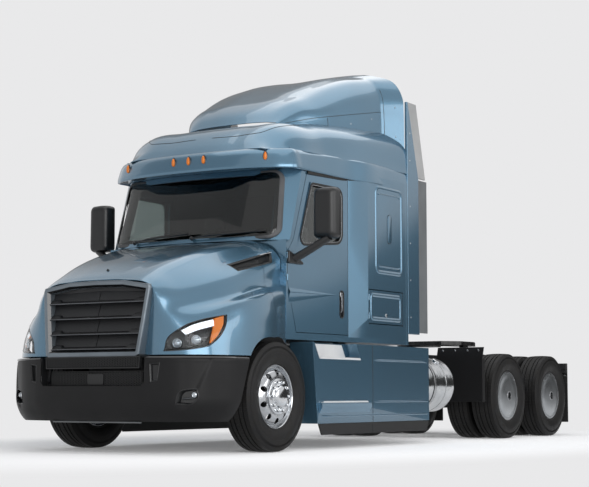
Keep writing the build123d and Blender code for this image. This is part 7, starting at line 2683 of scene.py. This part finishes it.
@dataclass
class CarriedOver:
    """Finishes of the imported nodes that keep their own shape."""

    finishes: dict[str, Finish] = field(default_factory=lambda: {
        "body_paint": PAINT, "bumper_plastic": BUMPER, "black_plastic": BLACK, "grille_plastic": GUNMETAL,
        "lamp_lens": LENS, "window_glass": GLASS, "tyre_rubber": RUBBER_TYRE, "rubber": SEAL,
        "wheel_aluminium": STEEL, "tank_aluminium": TANK, "tread_aluminium": TREAD_PLATE,
        "chassis_black": CHASSIS, "cast_grey": CAST, "trim_grey": TRIM})

    def build(self) -> None:
        """Gives every node that still shows its finish."""
        for node in (o for o in bpy.data.objects if "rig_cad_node" in o and not o.hide_render):
            for holder in node.material_slots:
                finish = self.finishes.get(holder.material.name.split(".")[0]) if holder.material else None
                holder.material = (finish or CHASSIS).material()
            LOG.info("%s keeps its shape", node.name)


@dataclass
class Studio:
    """Pale floor and background, soft lamps and the camera."""

    backdrop: str = "#e9e9ea"
    ambient: float = 0.34
    floor_size: float = 60.0
    focal: float = 91.86
    stand: tuple[float, float, float] = (14.6037, 8.6668, 0.5398)
    yaw: float = 3.6988
    pitch: float = 0.0993
    flag_radius: float = 13.0
    flag_ends: tuple[float, float] = (0.02, 17.0)
    lamps: Sequence = (            # name, place, what it aims at, size, power
        ("overhead", (0.0, 0.5, 9.5), (0, 0, 0), (15, 9), 400),
        ("side", (0.6, 13.5, 4.6), (1.2, 0, 1.8), (10, 6), 430),
        ("key", (14.5, 14.4, 5.5), (1.5, 0, 1.5), (14, 9), 1500))

    def world(self) -> None:
        """A dim white surround, which the camera, glossy and glass rays see as the pale backdrop."""
        world = bpy.data.worlds.new("studio")
        bpy.context.scene.world = world
        world.use_nodes = True
        tree = world.node_tree
        tree.nodes.clear()
        seen = self.plainly_seen(tree)
        dim = add_node(tree, "ShaderNodeBackground", {"Color": linear("#f6f8fb"), "Strength": self.ambient})
        plain = add_node(tree, "ShaderNodeBackground", {"Color": linear(self.backdrop), "Strength": 1.0})
        mix = add_node(tree, "ShaderNodeMixShader", {0: seen, 1: dim.outputs[0], 2: plain.outputs[0]})
        add_node(tree, "ShaderNodeOutputWorld", {"Surface": mix.outputs[0]})

    @staticmethod
    def plainly_seen(tree: bpy.types.NodeTree) -> bpy.types.NodeSocket:
        """1 for camera, glossy and glass rays, else 0."""
        path = add_node(tree, "ShaderNodeLightPath")
        two = add_node(tree, "ShaderNodeMath", {
            0: path.outputs["Is Camera Ray"], 1: path.outputs["Is Glossy Ray"]}, operation="MAXIMUM")
        three = add_node(tree, "ShaderNodeMath", {
            0: two.outputs[0], 1: path.outputs["Is Transmission Ray"]}, operation="MAXIMUM")
        return three.outputs[0]

    def floor(self) -> None:
        """A matt floor that fades into the backdrop away from the truck, and keeps its shadow."""
        half = self.floor_size / 2
        made = Form().polygon([(-half, -half, 0), (half, -half, 0), (half, half, 0), (-half, half, 0)]).thing("floor")
        made.location.z = -0.001
        material = bpy.data.materials.new("matt_painted_floor")
        material.use_nodes = True
        tree = material.node_tree
        tree.nodes.clear()
        where = add_node(tree, "ShaderNodeTexCoord").outputs["Object"]
        squeezed = add_node(tree, "ShaderNodeVectorMath", {0: where, 1: (1 / 6.6, 1 / 3.4, 1)}, operation="MULTIPLY")
        away = add_node(tree, "ShaderNodeVectorMath", {0: squeezed.outputs[0]}, operation="LENGTH")
        fade = add_node(tree, "ShaderNodeMapRange", {
            "Value": away.outputs["Value"], "From Min": 0.75, "From Max": 1.25},
                        interpolation_type="SMOOTHSTEP")
        matt = add_node(tree, "ShaderNodeBsdfDiffuse", {"Color": linear("#f4f4f5"), "Roughness": 0.6})
        lift = add_node(tree, "ShaderNodeEmission", {"Color": linear("#ffffff"), "Strength": 0.14})
        matt = add_node(tree, "ShaderNodeAddShader", {0: matt.outputs[0], 1: lift.outputs[0]})
        plain = add_node(tree, "ShaderNodeEmission", {"Color": linear(self.backdrop), "Strength": 1.0})
        seen = add_node(tree, "ShaderNodeMath", {0: fade.outputs[0], 1: self.plainly_seen(tree)}, operation="MULTIPLY")
        mix = add_node(tree, "ShaderNodeMixShader", {0: seen.outputs[0], 1: matt.outputs[0], 2: plain.outputs[0]})
        add_node(tree, "ShaderNodeOutputMaterial", {"Surface": mix.outputs[0]})
        made.data.materials.append(material)

    def flag(self) -> None:
        """A dark band round the studio that only reflections show, as black flags round polished work do."""
        steps = 96
        turns = [2 * math.pi * k / steps for k in range(steps)]
        rows = [[(self.flag_radius * math.cos(a), self.flag_radius * math.sin(a), z) for a in turns]
                for z in self.flag_ends]
        made = Form().grid(rows, closed=True).thing("studio_flags")
        material = bpy.data.materials.new("black_studio_cloth")
        material.use_nodes = True
        tree = material.node_tree
        tree.nodes.clear()
        where = add_node(tree, "ShaderNodeTexCoord").outputs["Object"]
        height = add_node(tree, "ShaderNodeVectorMath", {0: where, 1: (0, .62, 1)}, operation="DOT_PRODUCT")
        above = add_node(tree, "ShaderNodeMapRange", {
            "Value": height.outputs["Value"], "From Min": 7.7, "From Max": 8.6},
                         interpolation_type="SMOOTHSTEP")
        along = add_node(tree, "ShaderNodeVectorMath", {0: where, 1: (-1 / self.flag_radius, 0, 0)},
                         operation="DOT_PRODUCT")
        aside = add_node(tree, "ShaderNodeMapRange", {
            "Value": along.outputs["Value"], "From Min": .62, "From Max": .25},
                         interpolation_type="SMOOTHSTEP")
        fade = add_node(tree, "ShaderNodeMath", {0: above.outputs[0], 1: aside.outputs[0]}, operation="MAXIMUM")
        tall = add_node(tree, "ShaderNodeSeparateXYZ", {0: where})
        grey = add_node(tree, "ShaderNodeMapRange", {"Value": tall.outputs[2], "From Min": 3.5, "From Max": 8.0,
                                                     "To Min": 0.042, "To Max": 0.24})
        cloth = add_node(tree, "ShaderNodeEmission", {"Color": grey.outputs[0], "Strength": 1.0})
        clear = add_node(tree, "ShaderNodeBsdfTransparent")
        mix = add_node(tree, "ShaderNodeMixShader", {0: fade.outputs[0], 1: cloth.outputs[0], 2: clear.outputs[0]})
        add_node(tree, "ShaderNodeOutputMaterial", {"Surface": mix.outputs[0]})
        made.data.materials.append(material)
        corners = [(8.0, -14.0, 6.4), (15.0, -3.5, 6.4), (11.5, -2.0, 18.0), (5.0, -12.0, 18.0)]
        gobo = Form().polygon(corners).thing("studio_gobo")
        dull = bpy.data.materials.new("charcoal_studio_cloth")
        dull.use_nodes = True
        dull.node_tree.nodes.clear()
        glow = add_node(dull.node_tree, "ShaderNodeEmission", {"Color": linear("#b4b6b9"), "Strength": 1.0})
        add_node(dull.node_tree, "ShaderNodeOutputMaterial", {"Surface": glow.outputs[0]})
        gobo.data.materials.append(dull)
        for sheet in (made, gobo):
            sheet.visible_camera = sheet.visible_diffuse = sheet.visible_transmission = sheet.visible_shadow = False
            sheet.visible_volume_scatter = False

    def lamp(self, name: str, place: Point, aim: Point, size: tuple[float, float], watts: float) -> None:
        """A soft rectangular lamp.

        Args:
            name: its name.
            place: where it hangs.
            aim: the point that it faces.
            size: its width and height.
            watts: its power.
        """
        light = bpy.data.lights.new(name, "AREA")
        light.shape = "RECTANGLE"
        light.size, light.size_y = size
        light.energy = watts
        made = linked(name, light)
        made.location = place
        made.rotation_euler = (Vector(aim) - Vector(place)).to_track_quat("-Z", "Y").to_euler()

    def camera(self) -> None:
        """A long lens at hip height, ahead of the truck's left corner."""
        data = bpy.data.cameras.new("camera")
        data.sensor_fit = "HORIZONTAL"
        data.sensor_width = 36
        data.lens = self.focal
        data.clip_end = 200
        forward = Vector((math.cos(self.yaw) * math.cos(self.pitch), math.sin(self.yaw) * math.cos(self.pitch),
                          math.sin(self.pitch)))
        right = forward.cross(Vector((0, 0, 1))).normalized()
        up = right.cross(forward)
        made = linked("camera", data)
        made.matrix_world = Matrix.Translation(self.stand) @ Matrix((right, up, -forward)).transposed().to_4x4()
        bpy.context.scene.camera = made

    def build(self) -> None:
        """Sets it all up."""
        bpy.context.scene.view_settings.view_transform = "Standard"
        self.world()
        self.floor()
        self.flag()
        self.camera()
        for lamp in self.lamps:
            self.lamp(*lamp)


def main() -> None:
    """Builds the truck piece by piece, then the studio."""
    logging.basicConfig(level=logging.INFO, format="%(name)s: %(message)s")
    for part in PARTS:
        LOG.info("building %s", type(part).__name__)
        part.build()
    CarriedOver().build()
    Studio().build()


HOOD = Hood()
PARTS: Sequence = (Wheels(), HOOD, SideVent(HOOD), Headlamps(HOOD), Grille(), Bumper(), RoofCap(), RoofFairing(),
                   CabShell(), Doors(), Mirrors(), Extenders(), SideFairings(), FuelTanks(), Deck(), RunningGear(),
                   Seats(), Bunk(), Dashboard())

if __name__ == "__main__":
    main()
